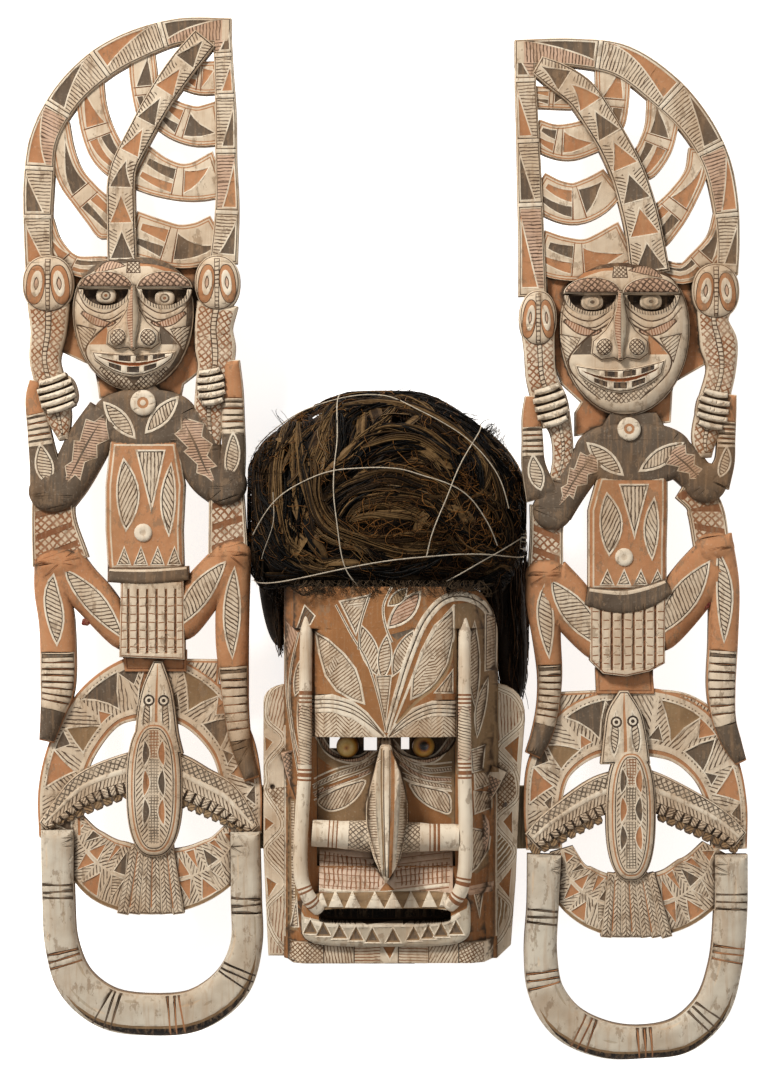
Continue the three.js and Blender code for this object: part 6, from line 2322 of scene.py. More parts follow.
        for a, b, c in (((-112, -181), (-102.5, -187.5), (-111, -198.5)),
                        ((-112, -255), (-101.5, -262.5), (-112, -272)),
                        ((-111, -310), (-99, -318), (-108.5, -333)), ((108, -193), (124, -180), (122, -209)),
                        ((107, -261), (117.5, -249), (117.5, -274.5)),
                        ((103, -318.5), (117, -301), (114.5, -333))):
            tri = polygon(a, b, c)
            flange.add(Motif(tri, Paint.CHALK, None, 0.4), Motif(inset(tri, 1.1), Paint.SIENNA, None, -0.5))
        flange.add(Motif(oval(-104, -229, 2.3, 2.3), Paint.SHADOW, None, -2.0))
        chin = [form for form in self.forms if form.front == 136][0]
        for a, b, hatch in ((205, 400, Hatch(45, 3.2, True)), (404, 560, Hatch(100, 2.8)),
                            (566, 705, Hatch(2, 2.8, False, Paint.RUST)),
                            (802, 960, Hatch(-2, 2.8, False, Paint.RUST)), (964, 1120, Hatch(62, 2.8)),
                            (1124, 1262, Hatch(118, 3.0, True))):
            chin.add(Motif(polygon(self.place(a, 1176), self.place(b, 1176), self.place(b, 1284),
                                   self.place(a, 1290)),
                           Paint.CREAM, hatch, -0.1))
            chin.add(line(self.place(a, 1172), self.place(a, 1290), 0.9))
        chin.add(Motif(polygon((-5.5, -368.5), (12.5, -368.5), (4, -384.5)), Paint.CHALK, None, 0.4),
                 Motif(polygon((-3, -369.5), (9.5, -369.5), (4, -381.5)), Paint.SIENNA, None, -0.5))

    @staticmethod
    def high(x: float, y: float) -> Tuple[float, float]:
        """A place on the forehead, in the same fine steps as the lower face."""
        return (x * 0.17006 - 124.7, 2 - y * 0.17006 - 31.28)

    def back(self, x: Points, y: Points) -> Points:
        """Height of the back: the hollow, the rim it rests on and the raised flanges.

        Args:
            x: first coordinates.
            y: second coordinates.

        Returns:
            One height for each place.
        """
        p = np.stack([x, y], 1)
        depth = depth_inside(p, self.hollow_outline())
        room = np.interp(x, self.room_x, self.room_z)
        body = depth_inside(p, self.body_outline())
        base = np.where(body > -0.15, 0.0, self.flange_rear)
        return np.where(depth > 0.2, room, base)

    @staticmethod
    def hollow_outline() -> Points:
        """Outline of the hollow behind the face."""
        return polygon((-80, -330), (87, -330), (87, -40), (-80, -40))

    @staticmethod
    def body_outline() -> Points:
        """Outline of the block without its flanges."""
        return polygon((-93, -386.5), (102.5, -386.5), (102.5, -84), (99, -66), (88, -50), (74, -42),
                       (-93, -42))

    def openings(self) -> List[Points]:
        """Openings beside the eyes."""
        return [polygon((a, low), (b, low), (b, -181.2), (a, -181.2))
                for a, b, low in ((-51.1, -41.9, -192.0), (-19.8, -7.9, -194.0), (14.2, 21.6, -193.0))]

    def build(self) -> bpy.types.Object:
        """Carves the whole block as one closed skin.

        Returns:
            The new object, in metres.
        """
        self.block()
        self.sockets()
        self.nose()
        self.mouth()
        self.jaws()
        self.forehead_paint()
        self.cheek_paint()
        self.flange_paint()
        for motif in [m for form in self.forms for m in form.motifs] + self.extra:
            if motif.hatch and motif.hatch.ink is Paint.LINE:
                motif.hatch = Hatch(motif.hatch.angle, motif.hatch.spacing, motif.hatch.crossed, Paint.BARK)
        sheet = CarvedSheet("mask_skin", self.forms, self.back, self.grid, self.openings(), seed=4.0,
                            uneven=0.3, extra=self.extra,
                            back_lines=[self.hollow_outline(), self.body_outline()], wall_rings=7)
        return sheet.build()


Dress = Callable[[float, float], Tuple[Paint, Optional[Hatch]]]


@dataclass
class Tube:
    """A closed rod along a path, with its own paint for each part of its length and girth.

    Args:
        name: name of the piece.
        path: middle line in millimetres.
        radius: radius at shares of the length.
        dress: paint and lines at a share of the length and of the way round.
        around: number of corners in a ring.
        flatten: height of the section for its width.
        seed: shifts the unevenness.
    """

    name: str
    path: Points
    radius: Callable[[Points], Points]
    dress: Dress
    around: int = 28
    flatten: float = 1.0
    seed: float = 0.0

    def frames(self) -> Tuple[Points, Points, Points]:
        """Directions ahead, to the side and upward at every point of the path.

        Returns:
            Three directions for each point of the path.
        """
        ahead = np.gradient(self.path, axis=0)
        ahead /= np.linalg.norm(ahead, axis=1, keepdims=True)
        side = np.cross(ahead, np.array([0.0, 0.0, 1.0]))
        side /= np.maximum(np.linalg.norm(side, axis=1, keepdims=True), 1e-6)
        return ahead, side, np.cross(side, ahead)

    def build(self) -> bpy.types.Object:
        """Makes the closed mesh with rounded ends.

        Returns:
            The new object, in metres.
        """
        n = len(self.path)
        run = np.concatenate([[0.0], np.cumsum(np.linalg.norm(np.diff(self.path, axis=0), axis=1))])
        share = run / run[-1]
        _, side, up = self.frames()
        r = self.radius(share)
        a = np.arange(self.around) / self.around * 2 * math.pi
        wave = 1 + 0.025 * drift(run[:, None] * 1.0, a[None, :] * 9.0 + self.seed * 5, 21.0, self.seed)
        rr = r[:, None] * wave
        ring = (self.path[:, None, :] + (np.cos(a)[None, :] * rr)[..., None] * side[:, None, :]
                + (np.sin(a)[None, :] * rr * self.flatten)[..., None] * up[:, None, :])
        verts = np.vstack([ring.reshape(-1, 3), self.path[:1], self.path[-1:]])
        faces, paint, hatch, ink = [], [], [], []
        m = self.around
        for i in range(n - 1):
            for k in range(m):
                k2 = (k + 1) % m
                middle = (share[i] + share[i + 1]) / 2
                turn = (k + 0.5) / m
                colour, lines = self.dress(middle, turn)
                spacing = lines.spacing if lines else 1.0
                u0, u1 = run[i] / spacing, run[i + 1] / spacing
                girth = 2 * math.pi * float(r[i]) / spacing
                v0, v1 = k / m * girth, (k + 1) / m * girth
                if lines and lines.angle:
                    t = math.radians(lines.angle)
                    c, s = math.cos(t), math.sin(t)
                    corners = [(u * c - v * s, u * s + v * c)
                               for u, v in ((u0, v0), (u1, v0), (u1, v1), (u0, v1))]
                else:
                    corners = [(u0, v0), (u1, v0), (u1, v1), (u0, v1)]
                style = 0.0 if not lines else (2.0 if lines.crossed else 1.0)
                at = [i * m + k, (i + 1) * m + k, (i + 1) * m + k2, i * m + k2]
                for pick in ((0, 1, 2), (0, 2, 3)):
                    faces.append([at[j] for j in pick])
                    hatch.append([(corners[j][0], corners[j][1], style) for j in pick])
                    paint.append(colour.value)
                    ink.append(lines.ink.value if lines else (0.0, 0.0, 0.0))
        for centre, base, order in ((n * m, 0, 1), (n * m + 1, (n - 1) * m, -1)):
            colour = self.dress(0.0 if order == 1 else 1.0, 0.25)[0]
            for k in range(m):
                tri = [base + k, base + (k + 1) % m, centre]
                faces.append(tri[::-order] if order == -1 else tri)
                hatch.append([(0.0, 0.0, 0.0)] * 3)
                paint.append(colour.value)
                ink.append((0.0, 0.0, 0.0))
        return make_mesh(self.name, verts, np.array(faces), np.array(paint), np.array(hatch), np.array(ink),
                         50.0)


def sweep(stops: Sequence[Sequence[float]], count: int) -> Points:
    """Evenly sampled smooth path in space through the stops.

    Args:
        stops: places in millimetres.
        count: number of points.

    Returns:
        Points in millimetres, one row each.
    """
    raw = smooth_path(stops, 16 * (len(stops) - 1))
    run = np.concatenate([[0.0], np.cumsum(np.linalg.norm(np.diff(raw, axis=0), axis=1))])
    even = np.linspace(0.0, run[-1], count)
    return np.stack([np.interp(even, run, raw[:, i]) for i in range(3)], 1)


@dataclass(frozen=True)
class RodPlan:
    """One of the two free rods before the cheeks.

    Args:
        name: name of the piece.
        stops: middle line from the forehead to the chin, in millimetres.
        marks: shares of the length where a red ring is painted.
        field_ends: shares of the length between which the rod is hatched.
    """

    name: str
    stops: Sequence[Station]
    marks: Sequence[float]
    field_ends: Tuple[float, float]


LEFT_ROD = RodPlan(
    "left_rod",
    ((-71.5, -68, 141), (-72.5, -139.5, 144), (-73, -204, 145), (-76, -307, 145), (-68.5, -326.5, 144),
     (-59.5, -337.5, 139)),
    (0.262, 0.277, 0.292, 0.515, 0.53, 0.545, 0.905, 0.918, 0.95, 0.965), (0.3, 0.5))
RIGHT_ROD = RodPlan(
    "right_rod",
    ((71.5, -68, 141), (71.5, -139.5, 144), (71.5, -204, 145), (71.5, -303.5, 145), (66.5, -322, 144),
     (56.5, -334.5, 139)),
    (0.272, 0.287, 0.3, 0.5, 0.515, 0.53, 0.545, 0.885, 0.9, 0.945, 0.96), (0.31, 0.49))


@dataclass(frozen=True)
class FaceRods:
    """The two free rods before the cheeks and the bar through the nose.

    Args:
        rods: the two rods.
        steps: points along a rod.
        mark_half: half the length of a red ring, as a share of the rod.
        bar_half: half the length of the bar.
        bar_steps: points along the bar.
        bar_level: height of the bar's middle line.
        bar_marks: shares of the bar's length where a brown ring is painted.
        bar_ring_half: half the length of a brown ring, as a share of the bar.
    """

    rods: Tuple[RodPlan, ...] = (LEFT_ROD, RIGHT_ROD)
    steps: int = 150
    mark_half: float = 0.0042
    bar_half: float = 66.5
    bar_steps: int = 110
    bar_level: float = 139.0
    bar_marks: Tuple[float, ...] = (0.115, 0.145, 0.172, 0.805, 0.835, 0.862)
    bar_ring_half: float = 0.006

    def rod_dress(self, rod: RodPlan) -> Dress:
        """White rod with red rings and a hatched field.

        Args:
            rod: the rod to dress.

        Returns:
            The rule for the rod's paint.
        """
        low, high = rod.field_ends

        def dress(share: float, turn: float) -> Tuple[Paint, Optional[Hatch]]:
            """Paint at a place on the rod.

            Args:
                share: share of the length.
                turn: share of the way round.

            Returns:
                The paint there and its lines.
            """
            if any(abs(share - mark) < self.mark_half for mark in rod.marks):
                return Paint.RUST, None
            if low < share < high:
                edge = min(share - low, high - share) / (high - low)
                if abs(turn - 0.25) > 0.05 + 0.25 * edge ** 0.5 and abs(turn - 0.25) < 0.32:
                    return Paint.PINK, Hatch(0, 2.6)
                return Paint.CREAM, Hatch(14, 2.7)
            return Paint.CHALK, None
        return dress

    def bar_dress(self, share: float, turn: float) -> Tuple[Paint, Optional[Hatch]]:
        """White ends with brown rings and crossed lines near the nose, the same all the way round.

        Args:
            share: share of the length.
            turn: share of the way round; not used.

        Returns:
            The paint there and its lines.
        """
        if any(abs(share - mark) < self.bar_ring_half for mark in self.bar_marks):
            return Paint.RUST, None
        if 0.25 < share < 0.73:
            return Paint.CREAM, Hatch(45, 3.6, True, Paint.UMBER)
        return Paint.CHALK, None

    @staticmethod
    def rod_radius(share: Points) -> Points:
        """Radius of a rod, which thickens toward the chin and is rounded at its ends."""
        swell = (5.5 + 1.3 * share) * np.clip(share / 0.06, 0.12, 1.0) ** 0.7
        return swell * np.where(share > 0.995, 0.8, 1.0)

    @staticmethod
    def bar_radius(share: Points) -> Points:
        """Radius of the bar, thickest where it passes through the nose."""
        return 12.0 + 3.0 * np.exp(-((share - 0.5) / 0.24) ** 2)

    def build(self) -> List[bpy.types.Object]:
        """Makes the rods and the bar.

        Returns:
            The two rods and the bar.
        """
        out = []
        for rod in self.rods:
            path = sweep(rod.stops, self.steps)
            out.append(Tube(rod.name, path, self.rod_radius, self.rod_dress(rod), seed=len(rod.name)).build())
        line_x = np.linspace(-self.bar_half, self.bar_half, self.bar_steps)
        sag = -269.0 - 2.0 * (line_x / self.bar_half) - 1.5 * np.cos(line_x / self.bar_half * 1.5)
        path = np.stack([line_x, sag, np.full(self.bar_steps, self.bar_level)], 1)
        out.append(Tube("nose_bar", path, self.bar_radius, self.bar_dress, 40, 1.0, 3.0).build())
        return out


class ShellTint(Enum):
    """Paints of a shell from the middle of its pupil to its foot."""

    AMBER = ((0.2, 0.05, 0.006), (0.75, 0.33, 0.05), (1.0, 0.6, 0.15), (1.0, 0.7, 0.24), (0.95, 0.46, 0.07),
             (0.5, 0.15, 0.012), (0.12, 0.04, 0.01))
    BROWN = ((0.002, 0.001, 0.001), (0.006, 0.002, 0.001), (0.42, 0.11, 0.006), (0.95, 0.42, 0.05),
             (1.0, 0.6, 0.15), (0.6, 0.22, 0.03), (0.12, 0.05, 0.01))


@dataclass(frozen=True)
class ShellEye:
    """A domed shell eye with rings of its own growth and a dark pupil.

    Args:
        name: name of the piece.
        centre: middle of the shell in millimetres.
        pupil: radius of the pupil as a share of the shell's.
        tilt: how far the pupil lies off the middle.
        tint: paints of the shell.
        radius: radius of the shell.
        base: height of its flat underside.
        rise: height of the dome over its rim.
        rings: rings of the dome.
        around: corners in a ring.
    """

    name: str
    centre: Tuple[float, float]
    pupil: float
    tilt: Tuple[float, float]
    tint: ShellTint
    radius: float = 10.4
    base: float = 113.35
    rise: float = 9.4
    rings: int = 26
    around: int = 56

    def build(self) -> bpy.types.Object:
        """Makes the closed dome, lighter with a pale painted highlight toward the upper left and darker
        toward the lower right.

        Returns:
            The new object, in metres.
        """
        rings, around, radius, base = self.rings, self.around, self.radius, self.base
        verts, dist, light = [(self.centre[0], self.centre[1], base)], [1.2], [0.0]
        profile = [(0.9, 0.0), (1.0, 2.4)]
        profile += [(math.cos(math.pi / 2 * k / rings), 2.5 + self.rise * math.sin(math.pi / 2 * k / rings))
                    for k in range(1, rings)]
        for share, height in profile:
            for k in range(around):
                a = k / around * 2 * math.pi
                x, y = math.cos(a) * share * radius, math.sin(a) * share * radius
                verts.append((self.centre[0] + x, self.centre[1] + y, base + height))
                off = math.hypot(x - self.tilt[0], y - self.tilt[1]) / radius
                dist.append(off if height > 2.5 else 1.3)
                # How far each point faces the upper left, for the painted light on the dome.
                light.append((y - x) / radius / 1.4)
        verts.append((self.centre[0], self.centre[1], base + 11.9))
        dist.append(math.hypot(*self.tilt) / radius)
        light.append(0.0)
        faces = []
        for k in range(around):
            faces.append((0, 1 + (k + 1) % around, 1 + k))
            top = 1 + (len(profile) - 1) * around
            faces.append((top + k, top + (k + 1) % around, len(verts) - 1))
            for i in range(len(profile) - 1):
                a, b = 1 + i * around + k, 1 + i * around + (k + 1) % around
                faces += [(a, b, b + around), (a, b + around, a + around)]
        verts, faces = np.array(verts), np.array(faces)
        d = np.array(dist)[faces].mean(1)
        stops = (0.0, self.pupil, self.pupil + 0.12, 0.6, 0.85, 1.0, 1.3)
        colours = np.array(self.tint.value)
        paint = np.stack([np.interp(d, stops, colours[:, i]) for i in range(3)], 1)
        # Painted light: faces toward the upper left are lighter and blend toward a pale painted highlight,
        # faces toward the lower right are darker.
        lit = np.array(light)[faces].mean(1)[:, None]
        glow = 0.45 * np.clip(lit, 0.0, 1.0) * np.clip(d[:, None] * 3.0 - 0.6, 0.0, 1.0)
        paint = paint * (0.76 + 0.24 * lit) * (1.0 - glow) + np.array([0.9, 0.72, 0.48]) * glow
        zero = np.zeros((len(faces), 3, 3))
        return make_mesh(self.name, verts, faces, paint, zero, np.zeros((len(faces), 3)), 60.0,
                         np.zeros(len(verts)))


Lock = Tuple[Sequence[Tuple[float, float]], float, float]

LOCKS: Tuple[Lock, ...] = (
    ([(-102.5, 98.5), (-113, 66.5), (-111, 29), (-98, -3), (-81, -23.5)], 0.35, 4.5),
    ([(-81, 100.5), (-77.5, 74), (-71, 40.5), (-55, 8.5), (-23, -4.5), (16.5, -14), (44.5, -12)], 0.9, 4.5),
    ([(-88.5, 103.5), (-94, 83.5), (-98, 55.5), (-96, 25.5), (-87, -4.5), (-64, -19.5)], 0.6, 4.5),
    ([(-69, 70.5), (-62.5, 40.5), (-49, 16), (-34, 3)], 0.75, 4.5),
    ([(-49, 111.5), (-58.5, 93), (-62.5, 70.5), (-68, 51.5)], 0.95, 4.5),
    ([(7, 115.5), (-10, 95), (-30.5, 72.5), (-47.5, 61)], 0.72, 6.5),
    ([(-98, 100.5), (-55, 121), (-0.5, 130.5), (46.5, 122), (91.5, 95), (118, 65)], 0.3, 4.5),
    ([(-38, 113.5), (-0.5, 117.5), (37, 108), (65.5, 89), (88, 61), (99, 29)], 0.55, 4.5),
    ([(-21, 83.5), (7, 91), (37, 87.5), (61.5, 70.5)], 0.5, 4.5),
    ([(-45.5, 29), (-26.5, 46), (14.5, 53.5), (52, 40.5), (67, 16)], 0.35, 4.5),
    ([(-38, 14), (-23, 33), (14.5, 38.5), (44.5, 27), (52, 10.5)], 0.7, 4.5),
    ([(-30.5, 18), (-8, 25.5), (22, 23.5), (41, 16)], 0.85, 4.5),
    ([(-38, 10.5), (-11.5, -3), (22, -3), (56, 4.5)], 0.6, 4.5),
    ([(65.5, 100.5), (84, 78), (93.5, 55.5), (86, 36.5), (71, 33)], 0.8, 4.5),
    ([(99, 96.5), (120, 66.5), (126.5, 33), (127.5, 3), (120, -23.5)], 0.4, 4.5),
    ([(78.5, 40.5), (99, 25.5), (107.5, 3), (99, -19.5)], 0.55, 4.5),
    ([(56, 6.5), (71, -8.5), (91.5, -16), (110.5, -19.5)], 0.3, 4.5),
    ([(-115, -33), (-68, -34), (-11.5, -29), (44.5, -33), (101, -34.5), (127.5, -23.5)], 0.08, 4.5),
    ([(-83, 6.5), (-78.5, -14), (-58.5, -24.5), (-38, -19.5)], 0.7, 4.5),
    ([(-126, 40.5), (-124.5, 14), (-118.5, -14), (-113, -34.5)], 0.2, 4.5),
)


@dataclass
class FibreWig:
    """The wig: a padded core painted near black as the shade under the fibres, thousands of fibres in
    swirling locks, and pale twine.

    Args:
        seed: start of the random draws.
        centre: middle of the dome in millimetres.
        radius: half sizes of the dome.
        fullness: power of the dome's section, squarer as it rises.
        edge: level of the wig's front edge over the forehead.
        seen: large locks seen from the front, each with its stops, its tint and its half width.
    """

    seed: int = 7
    centre: Points = field(default_factory=lambda: np.array([-1.5, 24.0, 38.0]))
    radius: Points = field(default_factory=lambda: np.array([126.0, 108.5, 121.5]))
    fullness: float = 2.45
    edge: float = -43.0
    seen: Tuple[Lock, ...] = LOCKS

    def __post_init__(self) -> None:
        """Starts the random source and the field that the fibres follow."""
        self.rng = np.random.default_rng(self.seed)
        self.flow_at, self.flow_way, self.flow_tint = self.flow()

    @staticmethod
    def lean(u: Points, v: Points) -> Points:
        """Share of the full radius in each direction: the far shoulder is lower."""
        turn = np.arctan2(v, u)
        return 1.0 - 0.1 * np.exp(-((turn - 0.84) / 0.42) ** 2) - 0.07 * np.exp(-((turn - 2.2) / 0.4) ** 2)

    def front(self, x: Points, y: Points) -> Points:
        """Height of the dome above a place.

        Args:
            x: first coordinates.
            y: second coordinates.

        Returns:
            One height for each place.
        """
        u, v = (x - self.centre[0]) / self.radius[0], (y - self.centre[1]) / self.radius[1]
        u, v = u / self.lean(u, v), v / self.lean(u, v)
        rest = np.clip(1 - np.abs(u) ** self.fullness - np.abs(v) ** self.fullness, 0.0, 1.0)
        return self.centre[2] + self.radius[2] * rest ** (1 / self.fullness)

    def unfold(self, x: Points, y: Points) -> Points:
        """Place on the opened-out dome for a place seen from the front.

        Args:
            x: first coordinates.
            y: second coordinates.

        Returns:
            Two angles for each place.
        """
        u, v = (x - self.centre[0]) / self.radius[0], (y - self.centre[1]) / self.radius[1]
        u, v = u / self.lean(u, v), v / self.lean(u, v)
        rest = np.clip(1 - np.abs(u) ** self.fullness - np.abs(v) ** self.fullness, 0.0, 1.0)
        w = rest ** (1 / self.fullness)
        flat = np.maximum(np.hypot(u, v), 1e-6)
        angle = np.arctan2(flat, w)
        return np.stack([u / flat * angle, v / flat * angle], -1)

    def fold(self, q: Points, lift: Points) -> Points:
        """Place in space for a place on the opened-out dome, raised by a lift.

        Args:
            q: places on the opened-out dome.
            lift: height of each place over the dome.

        Returns:
            Points in millimetres.
        """
        angle = np.maximum(np.linalg.norm(q, axis=-1), 1e-6)
        d = np.stack([q[..., 0] / angle * np.sin(angle), q[..., 1] / angle * np.sin(angle), np.cos(angle)],
                     -1)
        size = np.sum(np.abs(d) ** self.fullness, -1, keepdims=True) ** (1 / self.fullness)
        share = self.lean(d[..., :1], d[..., 1:2])
        p = self.centre + self.radius * d / size * np.concatenate([share, share, np.ones_like(share)], -1)
        return p + d * lift[..., None]

    def flow(self) -> Tuple[Points, Points, Points]:
        """Places, directions and tints of the locks seen in the photo.

        Returns:
            Places on the opened-out dome, directions and tints.
        """
        places, ways, tints = [], [], []
        for stops, tint, _ in self.seen:
            x, y = np.array(stops).T
            path = smooth_path(self.unfold(x, y), 8 * (len(stops) - 1))
            places.append(path)
            ways.append(np.gradient(path, axis=0))
            tints.append(np.full(len(path), tint))
        for angle in (1.62, 1.85, 2.1):
            a = np.linspace(0, 2 * math.pi, 60)
            places.append(np.stack([np.cos(a) * angle, np.sin(a) * angle], 1))
            ways.append(np.stack([-np.sin(a), np.cos(a)], 1))
            tints.append(np.full(60, 0.2))
        way = np.vstack(ways)
        return np.vstack(places), way / np.linalg.norm(way, axis=1, keepdims=True), np.concatenate(tints)

    def heading(self, q: Points, last: Optional[Points]) -> Tuple[Points, Points]:
        """Direction and tint of the locks near each place, turned to agree with the last step.

        Args:
            q: places on the opened-out dome.
            last: direction of the step before, or none at the start.

        Returns:
            Directions of length one, and tints.
        """
        gap = np.sum((q[:, None, :] - self.flow_at[None]) ** 2, -1)
        weight = 1.0 / (gap + 0.0016) ** 2
        weight /= weight.sum(1, keepdims=True)
        reference = last if last is not None else self.flow_way[np.argmin(gap, 1)]
        agree = np.sign(reference @ self.flow_way.T)
        way = (weight * agree) @ self.flow_way
        way /= np.maximum(np.linalg.norm(way, axis=1, keepdims=True), 1e-6)
        twist = (0.34 * np.sin(q[:, 0] * 5.3 + q[:, 1] * 3.1 + 0.7)
                 + 0.34 * np.sin(q[:, 1] * 7.9 - q[:, 0] * 8.7))
        along, across = way[:, 0], way[:, 1]
        way = np.stack([along * np.cos(twist) - across * np.sin(twist),
                        along * np.sin(twist) + across * np.cos(twist)], 1)
        return way, weight @ self.flow_tint

    def strands(self, name: str, paths: Points, radius: Points, paint: Points) -> bpy.types.Object:
        """Three-sided closed fibres along many paths at once.

        Args:
            name: name of the piece.
            paths: strands by points by coordinates, in millimetres.
            radius: radius at each point of each strand.
            paint: paint of each strand.

        Returns:
            The new object.
        """
        n, s, _ = paths.shape
        ahead = np.gradient(paths, axis=1)
        ahead /= np.maximum(np.linalg.norm(ahead, axis=2, keepdims=True), 1e-6)
        out = paths - self.centre
        side = np.cross(ahead, out)
        side /= np.maximum(np.linalg.norm(side, axis=2, keepdims=True), 1e-6)
        up = np.cross(side, ahead)
        turn = self.rng.uniform(0, 2 * math.pi, n)[:, None]
        rings = []
        for k in range(3):
            a = turn + k * 2 * math.pi / 3
            rings.append(paths + radius[..., None]
                         * (np.cos(a)[..., None] * side + np.sin(a)[..., None] * up))
        verts = np.stack(rings, 2).reshape(-1, 3)
        base = (np.arange(n) * s * 3)[:, None, None]
        i = (np.arange(s - 1) * 3)[None, :, None]
        faces = []
        for k in range(3):
            k2 = (k + 1) % 3
            faces.append(np.concatenate([base + i + k, base + i + 3 + k, base + i + 3 + k2], 2))
            faces.append(np.concatenate([base + i + k, base + i + 3 + k2, base + i + k2], 2))
        body = np.stack(faces, 2).reshape(-1, 3)
        first = base[:, 0] + np.array([[0, 2, 1]])
        last = base[:, 0] + (s - 1) * 3 + np.array([[0, 1, 2]])
        per = 6 * (s - 1)
        all_faces = np.vstack([body, first, last])
        all_paint = np.vstack([np.repeat(paint, per, 0), paint, paint])
        zero = np.zeros((len(all_faces), 3, 3))
        return make_mesh(name, verts, all_faces, all_paint, zero, np.zeros((len(all_faces), 3)), 180.0,
                         np.zeros(len(verts)))

    def grow(self, count: int, steps: int, step: float, spread: float) -> Tuple[Points, Points, Points]:
        """Runs fibres in clumps along the field.

        Args:
            count: number of clumps.
            steps: points along each fibre.
            step: distance between points on the opened-out dome.
            spread: widest offset of a fibre from its clump.

        Returns:
            Places on the opened-out dome for each clump, its tint and its lift.
        """
        rng = self.rng
        start = []
        while len(start) < count:
            q = rng.uniform(-2.0, 2.0, (count * 3, 2))
            p = self.fold(q, np.zeros(len(q)))
            good = (np.linalg.norm(q, axis=1) < 1.95) & (p[:, 1] > self.edge - 2) & (p[:, 2] > 6)
            start.extend(q[good])
        q = np.array(start[:count])
        path = [q]
        way = None
        tints = None
        for _ in range(steps // 2):
            way, tint = self.heading(path[-1], way)
            tints = tint if tints is None else tints
            path.append(path[-1] + way * step)
        back = None
        track = [q]
        for _ in range(steps - steps // 2 - 1):
            new, _ = self.heading(track[-1], -self.first_way(q) if back is None else back)
            back = new
            track.append(track[-1] + new * step)
        whole = np.stack(track[:0:-1] + path, 1)
        return whole, tints, rng.uniform(-0.5, spread, count)

    def first_way(self, q: Points) -> Points:
        """Direction of the field where fibres start."""
        return self.heading(q, None)[0]

    def locks(self, name: str, clumps: int, each: int, steps: int, step: float, thick: float,
              bright: float) -> bpy.types.Object:
        """One layer of clumped fibres.

        Args:
            name: name of the piece.
            clumps: number of clumps.
            each: fibres in each of them.
            steps: points along each fibre.
            step: distance between points on the opened-out dome.
            thick: radius of a fibre in millimetres.
            bright: added to the tint of every fibre.

        Returns:
            The new object, in metres.
        """
        rng = self.rng
        base, tint, lift = self.grow(clumps, steps, step, 5.6)
        steps = base.shape[1]
        q = np.repeat(base, each, 0)
        n = len(q)
        way = np.gradient(q, axis=1)
        way /= np.maximum(np.linalg.norm(way, axis=2, keepdims=True), 1e-6)
        side = np.stack([-way[..., 1], way[..., 0]], -1)
        t = np.linspace(0, 1, steps)[None, :]
        bundle = 0.35 + 0.65 * np.sin(math.pi * t) ** 0.6
        offset = rng.normal(0, 0.022, (n, 1)) * bundle
        wobble = 0.012 * np.sin(t * rng.uniform(4, 11, (n, 1)) + rng.uniform(0, 6.28, (n, 1)))
        q = q + side * (offset + wobble)[..., None]
        rise = np.repeat(lift, each)[:, None] + rng.uniform(-1.0, 1.2, (n, 1)) * bundle
        rise = (rise + 1.4 * np.sin(math.pi * t)
                + 0.8 * np.sin(t * rng.uniform(5, 14, (n, 1)) + rng.uniform(0, 6.28, (n, 1))))
        p = self.fold(q, rise)
        p = self.keep_clear(p)
        swell = 0.25 + 0.75 * np.sin(math.pi * np.clip(t, 0.02, 0.98)) ** 0.5
        radius = thick * rng.uniform(0.6, 1.25, (n, 1)) * swell
        k = (np.repeat(tint, each) * 0.55 + rng.normal(0, 0.16, n)
             + np.repeat(rng.normal(0, 0.34, clumps), each) + bright)
        return self.strands(name, p, np.broadcast_to(radius, p.shape[:2]), self.tinted(k, p))

    def tinted(self, k: Points, p: Points) -> Points:
        """Paint of strands from black-brown to tan, with painted shade low over the brow and at the sides.

        Args:
            k: tint from 0, black-brown, to 1, tan.
            p: points of the strands in millimetres.

        Returns:
            One paint for each strand.
        """
        dark, mid, tan = (np.array(v)
                          for v in ((0.001, 0.0006, 0.0003), (0.027, 0.0128, 0.0036), (0.165, 0.096, 0.038)))
        middle = p[:, p.shape[1] // 2]
        # Painted shade: strands low over the brow and low on the dome's sides are darker.
        shade = np.clip((middle[:, 1] + 42) / 20, 0.15, 1.0) * np.clip((middle[:, 2] + 5) / 55, 0.3, 1.0)
        k = np.clip(0.5 + (k - 0.46) * 1.25, 0, 1)[:, None]
        low, high = np.clip(k * 2, 0, 1), np.clip(k * 2 - 1, 0, 1)
        paint = (dark * (1 - low) + mid * low * (1 - high) + tan * high) * shade[:, None]
        grey = self.rng.random(len(k))[:, None] < 0.07
        return np.where(grey, paint * np.array([0.95, 1.05, 1.35]) + 0.006, paint)

